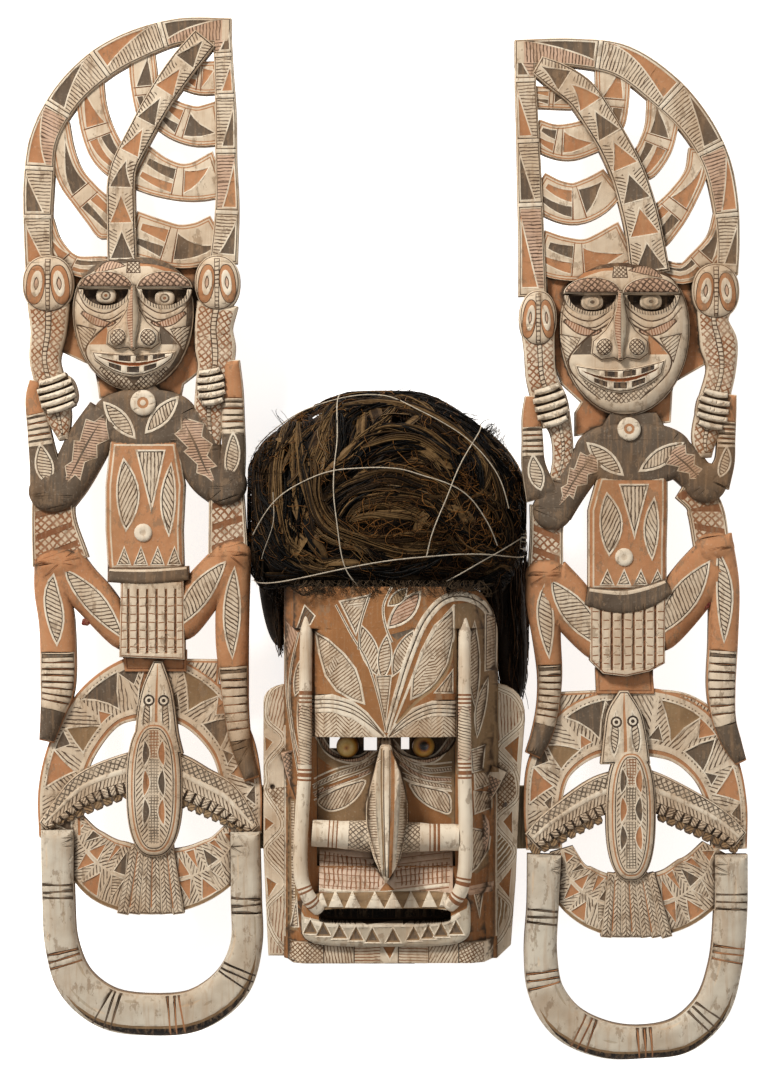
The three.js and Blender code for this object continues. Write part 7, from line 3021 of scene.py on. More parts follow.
    def large_locks(self, each: int = 25, steps: int = 25) -> bpy.types.Object:
        """The large locks seen in the photo, as round bundles that stand over the rest.

        Args:
            each: fibres in each bundle.
            steps: points along each fibre.

        Returns:
            The new object, in metres.
        """
        rng = self.rng
        paths, tints = [], []
        for stops, tint, half in self.seen:
            x, y = np.array(stops).T
            fine = smooth_path(self.unfold(x, y), 90)
            run = np.concatenate([[0], np.cumsum(np.linalg.norm(np.diff(fine, axis=0), axis=1))])
            at = np.linspace(0, run[-1], steps)
            for shift in ((0.0,) if half > 5 else (-0.035, 0.04)):
                q = np.stack([np.interp(at, run, fine[:, k]) for k in (0, 1)], 1)
                way = np.gradient(q, axis=0)
                way /= np.linalg.norm(way, axis=1, keepdims=True)
                side = np.stack([-way[:, 1], way[:, 0]], 1)
                t = np.linspace(0, 1, steps)[None, :]
                swell = (0.3 + 0.7 * np.sin(math.pi * np.clip(t, 0.02, 0.98)) ** 0.5) * half
                spin = rng.uniform(0, 2 * math.pi, (each, 1)) + rng.uniform(1.0, 5.0) * t
                out = rng.uniform(0.25, 1.0, (each, 1)) ** 0.5
                across = (np.cos(spin) * out * swell / 115.0 + shift
                          + 0.01 * np.sin(t * 9 + rng.uniform(0, 6.3)))
                rise = 4.0 + np.sin(spin) * out * swell * (0.25 if half > 5 else 0.6) + rng.uniform(-1.5, 2.0)
                rise = rise + rng.normal(0, 0.35, (each, 1))
                strand = q[None] + side[None] * across[..., None]
                paths.append(self.fold(strand, rise))
                # Painted shade on the round bundles: each strand is lighter or darker by where it lies round
                # its bundle.
                bundle_shade = 0.22 * np.cos(spin[:, steps // 2] * 2) + 0.2 * np.sin(spin[:, steps // 2])
                tints.append(tint * 0.75 + rng.normal(0.08, 0.1) + rng.normal(0, 0.14, each) + bundle_shade)
        p = self.keep_clear(np.vstack(paths))
        radius = 0.8 * rng.uniform(0.55, 1.25, (len(p), 1)) * (0.25 + 0.75 * np.sin(
            math.pi * np.clip(np.linspace(0, 1, steps), 0.02, 0.98)) ** 0.5)
        return self.strands("wig_large_locks", p, radius, self.tinted(np.concatenate(tints), p))

    def strips(self, count: int = 84, steps: int = 22, across: int = 7) -> bpy.types.Object:
        """Broad flat strips of bark fibre that curl over the locks and tuck under them.

        Args:
            count: number of strips.
            steps: points along each strip.
            across: points across each strip.

        Returns:
            The new object, in metres.
        """
        rng = self.rng
        verts, faces, paint, base = [], [], [], 0
        for k in range(count):
            if k < 44:
                stops, tint, _ = self.seen[k % len(self.seen)]
                fine = smooth_path(self.unfold(*np.array(stops).T), 60)
                q = fine[int(rng.uniform(4, 44))] + rng.normal(0, 0.05, 2)
                lean = rng.normal(0, 0.22)
            else:
                a, out = rng.uniform(0, 2 * math.pi), math.sqrt(rng.uniform(0, 1)) * 1.35
                q, tint, lean = np.array([math.cos(a) * out, math.sin(a) * out]), 0.55, rng.normal(0, 0.8)
            way = self.first_way(q[None])[0]
            angle = math.atan2(way[1], way[0]) + lean
            length = rng.uniform(0.3, 0.72)
            t = np.linspace(0, 1, steps)
            turn = (angle + rng.normal(0, 0.9) * (t - 0.3)
                    + rng.uniform(0, 0.25) * np.sin(t * rng.uniform(5, 9) + k))
            path = q + np.stack([np.cumsum(np.cos(turn)), np.cumsum(np.sin(turn))], 1) * length / steps
            half = rng.uniform(2.8, 6.8) * (0.25 + 0.75 * np.sin(math.pi * np.clip(t, 0.03, 0.97)) ** 0.5)
            rise = -2.0 + rng.uniform(5.5, 8.6) * np.sin(math.pi * t) ** 0.6 + 0.5 * np.sin(t * 13 + k)
            p = self.fold(path, rise)
            ahead = np.gradient(p, axis=0)
            ahead /= np.linalg.norm(ahead, axis=1, keepdims=True)
            up = p - self.centre
            up /= np.linalg.norm(up, axis=1, keepdims=True)
            side = np.cross(ahead, up)
            roll = (rng.normal(0, 0.35)
                    + rng.uniform(0, 0.5) * np.sin(t * rng.uniform(2, 6) + rng.uniform(0, 6)))
            side = side * np.cos(roll)[:, None] + up * np.sin(roll)[:, None]
            v = np.linspace(-1, 1, across)
            crease = rng.uniform(-0.5, 0.9) * (1 - v ** 2) + rng.normal(0, 0.28, across)
            top = (p[:, None] + side[:, None] * (half[:, None] * v)[..., None]
                   + up[:, None] * crease[None, :, None])
            low = top - up[:, None] * 0.5
            low[:, 1:-1] -= up[:, None] * 0.25
            grid = np.concatenate([top, low[:, ::-1]], 1)
            grid[[0, -1]] -= up[[0, -1]][:, None] * 1.5
            m = 2 * across
            verts.append(self.keep_clear(grid).reshape(-1, 3))
            i, j = np.meshgrid(np.arange(steps - 1), np.arange(m), indexing="ij")
            a0, b0 = base + i * m + j, base + i * m + (j + 1) % m
            faces += [np.stack([a0, b0, b0 + m, a0 + m], -1).reshape(-1, 4)]
            tone = tint * 0.4 + rng.normal(0.48, 0.24) + rng.normal(0, 0.14, m)
            cell = self.tinted(tone, np.repeat(p[None], m, 0))
            paint.append(np.tile(cell, (steps - 1, 1)))
            for row, turned in ((0, -1), (steps - 1, 1)):
                for j in range(across - 1):
                    quad = [base + row * m + j, base + row * m + j + 1, base + row * m + m - 2 - j,
                            base + row * m + m - 1 - j]
                    faces.append(np.array([quad[::turned]]))
                    paint.append(cell[:1])
            base += steps * m
        all_faces = np.vstack(faces)
        tris = np.vstack([all_faces[:, [0, 1, 2]], all_faces[:, [0, 2, 3]]])
        tint = np.tile(np.vstack(paint), (2, 1))
        zero = np.zeros((len(tris), 3, 3))
        return make_mesh("wig_bark_strips", np.vstack(verts), tris, tint, zero, np.zeros((len(tris), 3)),
                         40.0, np.zeros(base))

    def frizz(self, count: int = 980, steps: int = 12) -> bpy.types.Object:
        """Fine curly fibres tangled over the locks.

        Args:
            count: number of fibres.
            steps: points along each fibre.

        Returns:
            The new object, in metres.
        """
        rng = self.rng
        a = rng.uniform(0, 2 * math.pi, count)
        out = np.sqrt(rng.uniform(0, 1, count)) * 1.5
        q0 = np.stack([np.cos(a) * out, np.sin(a) * out], 1)
        q0[::3] = q0[::3] * 0.35 + np.array([0.33, -0.1])
        t = np.linspace(0, 1, steps)[None, :]
        turn = rng.uniform(0, 2 * math.pi, (count, 1)) + rng.normal(0, 3.4, (count, 1)) * t
        turn = turn + rng.uniform(0.1, 0.9, (count, 1)) * np.sin(t * rng.uniform(5, 16, (count, 1)))
        step = rng.uniform(0.014, 0.04, (count, 1))
        q = np.stack([q0[:, :1] + np.cumsum(np.cos(turn) * step, 1),
                      q0[:, 1:] + np.cumsum(np.sin(turn) * step, 1)], -1)
        lift = rng.uniform(3.5, 7.5, (count, 1)) + 1.6 * np.sin(t * rng.uniform(3, 9, (count, 1)))
        p = self.keep_clear(self.fold(q, lift))
        radius = np.broadcast_to(0.34 * rng.uniform(0.6, 1.3, (count, 1)), p.shape[:2]) * (1.05 - 0.6 * t)
        warm = self.tinted(rng.uniform(0.25, 1.0, count), p) * np.array([1.25, 0.92, 0.6])
        return self.strands("wig_frizz", p, radius, warm)

    def keep_clear(self, p: Points) -> Points:
        """Keeps fibres off the block, the boards and the ground.

        Args:
            p: points of the strands in millimetres.

        Returns:
            The same points, moved where they were too near.
        """
        low = self.edge - 1.0 + 2.5 * np.sin(p[..., 0] * 0.11) + 2.0 * np.sin(p[..., 0] * 0.29 + 1.0)
        over = (p[..., 1] < low) & (p[..., 0] > -95) & (p[..., 0] < 105)
        p[..., 1] = np.where(over, low + (p[..., 1] - low) * 0.12, p[..., 1])
        front = (p[..., 1] < self.edge + 1) & (p[..., 0] > -86) & (p[..., 0] < 92)
        p[..., 2] = np.where(front, np.maximum(p[..., 2], 152.0), p[..., 2])
        p[..., 0] = np.where(p[..., 2] > 60, np.clip(p[..., 0], -122.5, 124.5), np.clip(p[..., 0], -128, 131))
        p[..., 2] = np.maximum(p[..., 2], 1.2)
        p[..., 1] = np.minimum(p[..., 1], 136.0)
        return p

    def hanging(self) -> bpy.types.Object:
        """Locks that hang beside the block, behind the flanges.

        Returns:
            The new object, in metres.
        """
        rng = self.rng
        paths, tints = [], []
        for cx, top, foot, half, count in ((-103.5, -8.0, -106.0, 10.5, 330),
                                           (119.0, -20.0, -157.0, 14.5, 560)):
            t = np.linspace(0, 1, 12)[None, :]
            u = rng.uniform(-1, 1, (count, 1))
            start = top + rng.uniform(0, 20, (count, 1)) - rng.uniform(0, 0.45, (count, 1)) * (top - foot)
            end = np.maximum(start - rng.uniform(35, 95, (count, 1)),
                             foot + 26 * rng.uniform(0, 1, (count, 1)) ** 3 + 5 * np.sin(u * 5))
            y = start + (end - start) * t
            fall = np.clip((top - y) / (top - foot), 0, 1)
            narrow = 0.62 if cx < 0 else 0.08
            x = cx + u * half * (1 - narrow * fall ** 1.6) + (7.0 * fall ** 1.6 if cx < 0 else 0.0)
            loose = rng.uniform(0.3, 2.6, (count, 1)) * (0.4 + t)
            x = x + loose * np.sin(t * rng.uniform(3, 13, (count, 1)) + rng.uniform(0, 6.3, (count, 1)))
            x = np.maximum(x, -119.0) if cx < 0 else np.minimum(x, 134.5)
            z = (61.0 * np.sqrt(np.clip(1 - (u * 0.93) ** 2, 0.02, 1)) * rng.uniform(0.55, 1.02, (count, 1))
                 + 0 * t)
            paths.append(np.stack([x, y, z + 1.5 * np.sin(t * 5 + u * 9)], -1))
            tints.append(rng.random(count))
        t = np.linspace(0, 1, 12)[None, :]
        start = rng.uniform(88, 106, (200, 1))
        edge = np.interp(start, (88, 94, 100, 106), (-47.0, -55.0, -66.0, -86.0))
        x = start + 1.6 * np.sin(t * rng.uniform(3, 12, (200, 1)) + start)
        y = -30.0 + (edge - rng.uniform(0, 7, (200, 1)) + 30.0) * t
        z = rng.uniform(8, 118, (200, 1)) * (1 - 0.25 * t)
        paths.append(np.stack([x, y, z], -1))
        tints.append(rng.random(200))
        p = np.vstack(paths)
        k = np.concatenate(tints)[:, None]
        paint = np.array([0.008, 0.005, 0.003]) * (1 - k ** 3) + np.array([0.1, 0.05, 0.022]) * k ** 3
        t = np.linspace(0, 1, 12)[None, :]
        swell = 0.3 + 0.7 * np.sin(math.pi * np.clip(t, 0.03, 0.97)) ** 0.5
        radius = 0.62 * rng.uniform(0.7, 1.3, (len(p), 1)) * swell
        p[..., 2] = np.clip(p[..., 2], 1.2, 120.0)
        return self.strands("wig_hanging_locks", p, radius, paint)

    def stray(self) -> bpy.types.Object:
        """Single thin fibres that stand off the outline and over the brow.

        Returns:
            The new object, in metres.
        """
        rng = self.rng
        count = 640
        a = rng.uniform(0, 2 * math.pi, count)
        radius = rng.uniform(1.1, 1.75, count)
        q0 = np.stack([np.cos(a) * radius, np.sin(a) * radius], 1)
        way = self.first_way(q0)
        t = np.linspace(0, 1, 10)[None, :, None]
        curl = rng.uniform(-0.1, 0.1, (count, 1, 2))
        q = q0[:, None] + way[:, None] * rng.uniform(0.08, 0.28, (count, 1, 1)) * t + curl * t ** 2
        lift = 2.5 + rng.uniform(1.0, 10.0, (count, 1)) * t[..., 0] ** 1.3
        p = self.fold(q, lift)
        edge = rng.uniform(-80, 88, (210, 1))
        s = np.linspace(0, 1, 10)[None, :]
        x = edge + rng.uniform(-14, 14, (210, 1)) * s + 3 * np.sin(s * 7 + edge)
        y = -38 - rng.uniform(6, 17, (210, 1)) * np.sin(s * 2.4)
        z = 156.0 + rng.uniform(0.5, 4.5, (210, 1)) * np.sin(math.pi * s)
        thin = len(p) + len(x)
        p = np.vstack([self.keep_clear(p), np.stack([x, y, z], -1), self.wisps(s)])
        n = len(p)
        k = rng.random((n, 1))
        paint = np.array([0.02, 0.013, 0.009]) * (1 - k) + np.array([0.1, 0.065, 0.035]) * k
        paint[thin:] *= 0.25
        stout = np.where(np.arange(n) < thin, 0.27, 0.5)[:, None]
        radius = np.broadcast_to(stout * rng.uniform(0.7, 1.3, (n, 1)), p.shape[:2]) * (1.05 - 0.7 * s)
        return self.strands("wig_stray_fibres", p, radius, paint)

    def wisps(self, s: Points) -> Points:
        """Dark hairs that stand off the top outline, with the tuft at the right.

        Args:
            s: shares of the length at which points lie.

        Returns:
            Points of the hairs in millimetres.
        """
        rng = self.rng
        paths = []
        for (x0, y0), (x1, y1), count in (((-14, 122), (24, 139), 6), ((30, 122), (2, 137), 5),
                                          ((-88, 98), (-101, 120), 4), ((86, 86), (101, 103), 60),
                                          ((98, 76), (107, 92), 34), ((-76, 104), (-40, 124), 12),
                                          ((50, 108), (84, 112), 14), ((-110, 56), (-119, 80), 12),
                                          ((-46, 120), (0, 133), 14), ((10, 128), (60, 120), 12),
                                          ((-102, 78), (-84, 108), 14)):
            wide = 3.0 if count < 20 else 4.2
            start = np.array([x0, y0]) + rng.normal(0, wide, (count, 2))
            end = np.array([x1, y1]) + rng.normal(0, wide * 0.7, (count, 2))
            bow = rng.normal(0, 3.0, (count, 2))
            t = s[..., None]
            flat = start[:, None] * (1 - t) + end[:, None] * t + bow[:, None] * np.sin(math.pi * t)
            z = rng.uniform(28, 62, (count, 1)) + rng.normal(0, 6, (count, 1)) * s
            paths.append(np.concatenate([flat, z[..., None]], -1))
        return np.vstack(paths)

    def core(self) -> bpy.types.Object:
        """The padding under the fibres, painted near black as the shade under them, hollow behind.

        Returns:
            The new object, in metres.
        """
        c, r = self.centre, self.radius - 3.5
        a = np.arange(120) / 120 * 2 * math.pi
        u = np.sign(np.cos(a)) * np.abs(np.cos(a)) ** (2 / self.fullness)
        v = np.sign(np.sin(a)) * np.abs(np.sin(a)) ** (2 / self.fullness)
        share = self.lean(u, v)
        outline = clip(np.stack([c[0] + u * share * r[0], c[1] + v * share * r[1]], 1), 1, self.edge - 0.2,
                       400)
        outline = polygon(*[tuple(p) for p in outline])

        def height(x: Points, y: Points) -> Points:
            """Front of the padding, with the waves of the locks."""
            return self.front(x, y) - 4.5 + 2.0 * drift(x, y, 38.0, 2.0)
        forms = [Form(outline, 60, 0, 1, Paint.SHADOW, Build.RAISED, [], height),
                 Form(oval(-105.5, -56, 11, 45, 0.16, 2.3), 55, 9, 9, Paint.SHADOW),
                 Form(oval(117.5, -86, 13.5, 67, 0.03, 2.6), 56, 9, 9, Paint.SHADOW)]

        def back(x: Points, y: Points) -> Points:
            """Hollow behind, open toward the block.

            Args:
                x: first coordinates.
                y: second coordinates.

            Returns:
                One height for each place.
            """
            u, v = (x - 3.5) / 88.0, (y - 4.0) / 88.0
            rest = np.clip(1 - np.abs(u) ** 2.4 - np.abs(v) ** 2.4, 0.0, 1.0)
            return np.maximum(0.0, -6.0 + 114.0 * rest ** (1 / 2.4))
        return CarvedSheet("wig_core", forms, back, 4.2, seed=6.0, uneven=0.8, wall_rings=4).build()

    def twine(self) -> bpy.types.Object:
        """Pale twine wound over the wig, with its knot at the right.

        Returns:
            The new object, in metres.
        """
        lines = [
            ([(-115, -34.5), (-38, -24.5), (33.5, -14), (82, -12), (127.5, -15.5)], 0.85),
            ([(-114, 4.5), (-94.5, 33), (-68, 50), (-38, 59), (-0.5, 60.5), (26, 55.5), (65.5, 40.5),
              (86, 16), (95.5, -4.5)], 0.8),
            ([(-117, 80), (-96, 104), (-53, 117.5), (-4, 123.5), (26, 111.5), (67, 87.5), (93.5, 59),
              (105.5, 27)], 0.75),
            ([(-38, 126.5), (-41, 91), (-43.5, 59), (-41, 14), (-34, -23.5), (-23, -39.5)], 0.8),
            ([(84, 101.5), (67, 70.5), (50.5, 33), (39, 4.5), (34.5, -14)], 0.8),
            ([(52, -34.5), (89.5, -14), (118, 2), (131, 0)], 0.8),
            ([(89.5, 95), (114, 70.5), (125.5, 40.5), (128, 10.5), (117, 1)], 0.75),
            ([(127.5, 8.5), (127.5, -16), (120.5, -42)], 0.7),
            ([(-96, 40.5), (-96, 14), (-106.5, -16)], 0.45),
            ([(117, 1), (121.5, -9.5), (122.5, 1), (129, 5.5)], 0.7),
        ]
        verts, faces, count = [], [], 0
        for stops, full in lines:
            thick = full * 0.66
            x, y = np.array(stops).T
            q = smooth_path(self.unfold(x, y), 12 * (len(stops) - 1))
            p = self.keep_clear(self.fold(q, np.full(len(q), 8.6)))
            tube = Tube("t", p, lambda s, w=thick: np.full(len(s), w), lambda s, a: (Paint.CHALK, None), 7)
            _, side, up = tube.frames()
            m = 7
            a = np.arange(m) / m * 2 * math.pi
            twist = 1 + 0.16 * np.sin(np.arange(len(p))[:, None] * 2.1 + a[None] * 2)
            ring = (p[:, None] + (np.cos(a) * thick * twist)[..., None] * side[:, None]
                    + (np.sin(a) * thick * twist)[..., None] * up[:, None])
            verts.append(ring.reshape(-1, 3))
            verts.append(np.stack([p[0], p[-1]]))
            n = len(p)
            for i in range(n - 1):
                for k in range(m):
                    b, k2 = count + i * m, (k + 1) % m
                    faces += [(b + k, b + m + k, b + m + k2), (b + k, b + m + k2, b + k2)]
            for k in range(m):
                k2 = (k + 1) % m
                faces += [(count + k, count + k2, count + n * m),
                          (count + (n - 1) * m + k2, count + (n - 1) * m + k, count + n * m + 1)]
            count += n * m + 2
        faces = np.array(faces)
        paint = np.tile(np.array([0.52, 0.44, 0.33]), (len(faces), 1))
        zero = np.zeros((len(faces), 3, 3))
        return make_mesh("wig_twine", np.vstack(verts), faces, paint, zero, np.zeros((len(faces), 3)), 80.0,
                         np.zeros(sum(len(v) for v in verts)))

    def build(self) -> List[bpy.types.Object]:
        """Makes every part of the wig.

        Returns:
            The pieces, with the twine last.
        """
        return [self.core(),
                # The under fibres are darkened nearly to black as painted shade under the upper layers.
                self.locks("wig_under_fibres", 160, 6, 12, 0.06, 1.0, -1.1),
                self.locks("wig_locks", 155, 8, 13, 0.055, 0.8, -0.12),
                self.locks("wig_fine_fibres", 170, 5, 11, 0.05, 0.5, 0.16),
                self.large_locks(), self.strips(), self.frizz(), self.hanging(), self.stray(), self.twine()]


@dataclass(frozen=True)
class Batten:
    """A plain split-wood strip behind a flange and a board.

    Args:
        name: name of the piece.
        low: lower left rear corner in millimetres.
        high: upper right front corner.
        seed: shifts the unevenness.
        grid: distance between surface points.
    """

    name: str
    low: Station
    high: Station
    seed: float
    grid: float = 2.4

    def build(self) -> bpy.types.Object:
        """Makes a strip with whittled faces and soft edges.

        Returns:
            The new object, in metres.
        """
        x0, y0, z0 = self.low
        x1, y1, z1 = self.high
        edge = polygon((x0, y0), (x1, y0 + 0.6), (x1 - 0.4, y1), (x0 + 0.5, y1 - 0.5))
        form = Form(edge, z1, 0.9, 1.2, Paint.WOOD)
        return CarvedSheet(self.name, [form], lambda x, y: np.full(len(x), z0), self.grid, seed=self.seed,
                           uneven=0.25, wall_rings=4).build()
WAX = (0.16, 0.022, 0.014)
IRON = (0.12, 0.1, 0.085)


@dataclass
class Dab:
    """A small lump on the painted wood: red wax or the head of a nail.

    Args:
        name: name of the piece.
        place: middle in millimetres.
        wide: half width in millimetres.
        tall: height over the wood.
        paint: paint of the lump.
        seed: shift of its uneven outline.
    """

    name: str
    place: Tuple[float, float]
    wide: float
    tall: float
    paint: Tuple[float, float, float]
    seed: float = 0.0

    def ground(self, under: bpy.types.Object) -> float:
        """Height of the wood under the lump.

        Args:
            under: piece that carries the lump.

        Returns:
            The height in millimetres.
        """
        places = np.empty(len(under.data.vertices) * 3)
        under.data.vertices.foreach_get("co", places)
        p = places.reshape(-1, 3) / MM
        near = np.hypot(p[:, 0] - self.place[0], p[:, 1] - self.place[1])
        front = p[near < max(self.wide, near.min() + 1.5)]
        high = front[front[:, 2] > front[:, 2].max() - 12.0]
        return float(np.median(high[:, 2]))

    def build(self, under: bpy.types.Object) -> bpy.types.Object:
        """Makes the closed lump on top of another piece.

        Args:
            under: piece that carries the lump.

        Returns:
            The new object, in metres.
        """
        base, around, rings = self.ground(under), 30, 8
        a = np.arange(around) / around * 2 * math.pi
        edge = 1 + 0.16 * np.sin(a * 2 + self.seed) + 0.09 * np.sin(a * 5 + 2 * self.seed)
        verts = [(self.place[0], self.place[1], base - 1.5)]
        for k in range(rings + 1):
            share = math.cos(math.pi / 2 * max(k - 1, 0) / rings) * (0.96 if k == 0 else 1.0)
            rise = -1.5 if k == 0 else self.tall * math.sin(math.pi / 2 * (k - 1) / rings)
            bump = 0.16 * self.tall * np.sin(a * 3 + k + self.seed)
            for turn, wide, lift in zip(a, edge, bump):
                verts.append((self.place[0] + math.cos(turn) * wide * share * self.wide,
                              self.place[1] + math.sin(turn) * wide * share * self.wide,
                              base + rise + (lift if k > 1 else 0)))
        verts.append((self.place[0], self.place[1], base + self.tall))
        faces = []
        for k in range(around):
            n = (k + 1) % around
            faces.append((0, 1 + n, 1 + k))
            faces.append((1 + rings * around + k, 1 + rings * around + n, len(verts) - 1))
            for i in range(rings):
                low, high = 1 + i * around, 1 + (i + 1) * around
                faces += [(low + k, low + n, high + n), (low + k, high + n, high + k)]
        paint = np.tile(np.array(self.paint), (len(faces), 1))
        zero = np.zeros((len(faces), 3, 3))
        return make_mesh(self.name, np.array(verts), np.array(faces), paint, zero, np.zeros((len(faces), 3)),
                         60.0, np.zeros(len(verts)))


@dataclass
class Tree:
    """Short names for making shader nodes and joining them.

    Args:
        name: name of the material.
    """

    name: str

    def __post_init__(self) -> None:
        """Starts a material with an empty tree and one principled surface."""
        self.material = bpy.data.materials.new(self.name)
        self.material.use_nodes = True
        self.nodes = self.material.node_tree.nodes
        self.links = self.material.node_tree.links
        self.nodes.clear()
        self.surface = self.nodes.new("ShaderNodeBsdfPrincipled")
        out = self.nodes.new("ShaderNodeOutputMaterial")
        self.links.new(self.surface.outputs[0], out.inputs[0])
        place = self.nodes.new("ShaderNodeTexCoord")
        self.place = place.outputs["Object"]

    def put(self, value: object, socket: object) -> None:
        """Sets a constant or joins an output.

        Args:
            value: constant or output.
            socket: input that takes it.
        """
        if isinstance(value, (int, float, tuple)):
            socket.default_value = value
        else:
            self.links.new(value, socket)

    def math(self, kind: str, a: object, b: object = 0.0, c: object = 0.0, clamp: bool = False) -> object:
        """One arithmetic step.

        Args:
            kind: name of the operation.
            a: first value.
            b: second value.
            c: third value.
            clamp: whether the result stays between 0 and 1.

        Returns:
            The result.
        """
        node = self.nodes.new("ShaderNodeMath")
        node.operation = kind
        node.use_clamp = clamp
        for value, socket in zip((a, b, c), node.inputs):
            self.put(value, socket)
        return node.outputs[0]

    def ramp(self, value: object, low: float, high: float, to_low: float = 0.0,
             to_high: float = 1.0) -> object:
        """Maps a range smoothly onto another one.

        Args:
            value: constant or output to map.
            low: lower limit.
            high: upper limit.
            to_low: result at the lower limit.
            to_high: result at the upper limit.

        Returns:
            The mapped value.
        """
        node = self.nodes.new("ShaderNodeMapRange")
        node.interpolation_type = "SMOOTHSTEP"
        for key, v in (("Value", value), ("From Min", low), ("From Max", high), ("To Min", to_low),
                       ("To Max", to_high)):
            self.put(v, node.inputs[key])
        return node.outputs[0]

    def mix(self, share: object, a: object, b: object, kind: str = "MIX") -> object:
        """Blends two colours.

        Args:
            share: share of the second colour.
            a: first colour.
            b: second colour.
            kind: name of the way to blend.

        Returns:
            The blended colour.
        """
        node = self.nodes.new("ShaderNodeMix")
        node.data_type = "RGBA"
        node.blend_type = kind
        self.put(share, node.inputs[0])
        for value, socket in ((a, node.inputs[6]), (b, node.inputs[7])):
            self.put((*value, 1.0) if isinstance(value, tuple) and len(value) == 3 else value, socket)
        return node.outputs[2]

    def noise(self, scale: float, detail: float = 3.0, stretch: Tuple[float, float, float] = (1, 1, 1),
              rough: float = 0.55, bend: float = 0.0) -> object:
        """Noise over the object's own space, in cycles per metre.

        Args:
            scale: cycles per metre.
            detail: number of finer layers.
            stretch: scale along each axis.
            rough: strength of the finer layers.
            bend: how far the pattern is twisted.

        Returns:
            The noise, about 0.5 on average.
        """
        mapping = self.nodes.new("ShaderNodeMapping")
        self.links.new(self.place, mapping.inputs[0])
        mapping.inputs["Scale"].default_value = stretch
        node = self.nodes.new("ShaderNodeTexNoise")
        self.links.new(mapping.outputs[0], node.inputs["Vector"])
        node.inputs["Scale"].default_value = scale
        node.inputs["Detail"].default_value = detail
        node.inputs["Roughness"].default_value = rough
        node.inputs["Distortion"].default_value = bend
        return node.outputs[0]

    def layer(self, name: str) -> object:
        """Reads a stored layer of the mesh.

        Args:
            name: name of the layer.

        Returns:
            The node that reads it.
        """
        node = self.nodes.new("ShaderNodeAttribute")
        node.attribute_type = "GEOMETRY"
        node.attribute_name = name
        return node

    def finish(self, colour: object, rough: object, height: object = None, depth: float = 0.0005,
               strength: float = 0.6) -> bpy.types.Material:
        """Joins colour, roughness and bump to the surface.

        Args:
            colour: colour of the surface.
            rough: roughness of the surface.
            height: height for the bump, or none.
            depth: depth of the bump in metres.
            strength: strength of the bump.

        Returns:
            The finished material.
        """
        self.put((*colour, 1.0) if isinstance(colour, tuple) else colour, self.surface.inputs["Base Color"])
        self.put(rough, self.surface.inputs["Roughness"])
        if height is not None:
            bump = self.nodes.new("ShaderNodeBump")
            bump.inputs["Strength"].default_value = strength
            bump.inputs["Distance"].default_value = depth
            self.links.new(height, bump.inputs["Height"])
            self.links.new(bump.outputs[0], self.surface.inputs["Normal"])
        return self.material


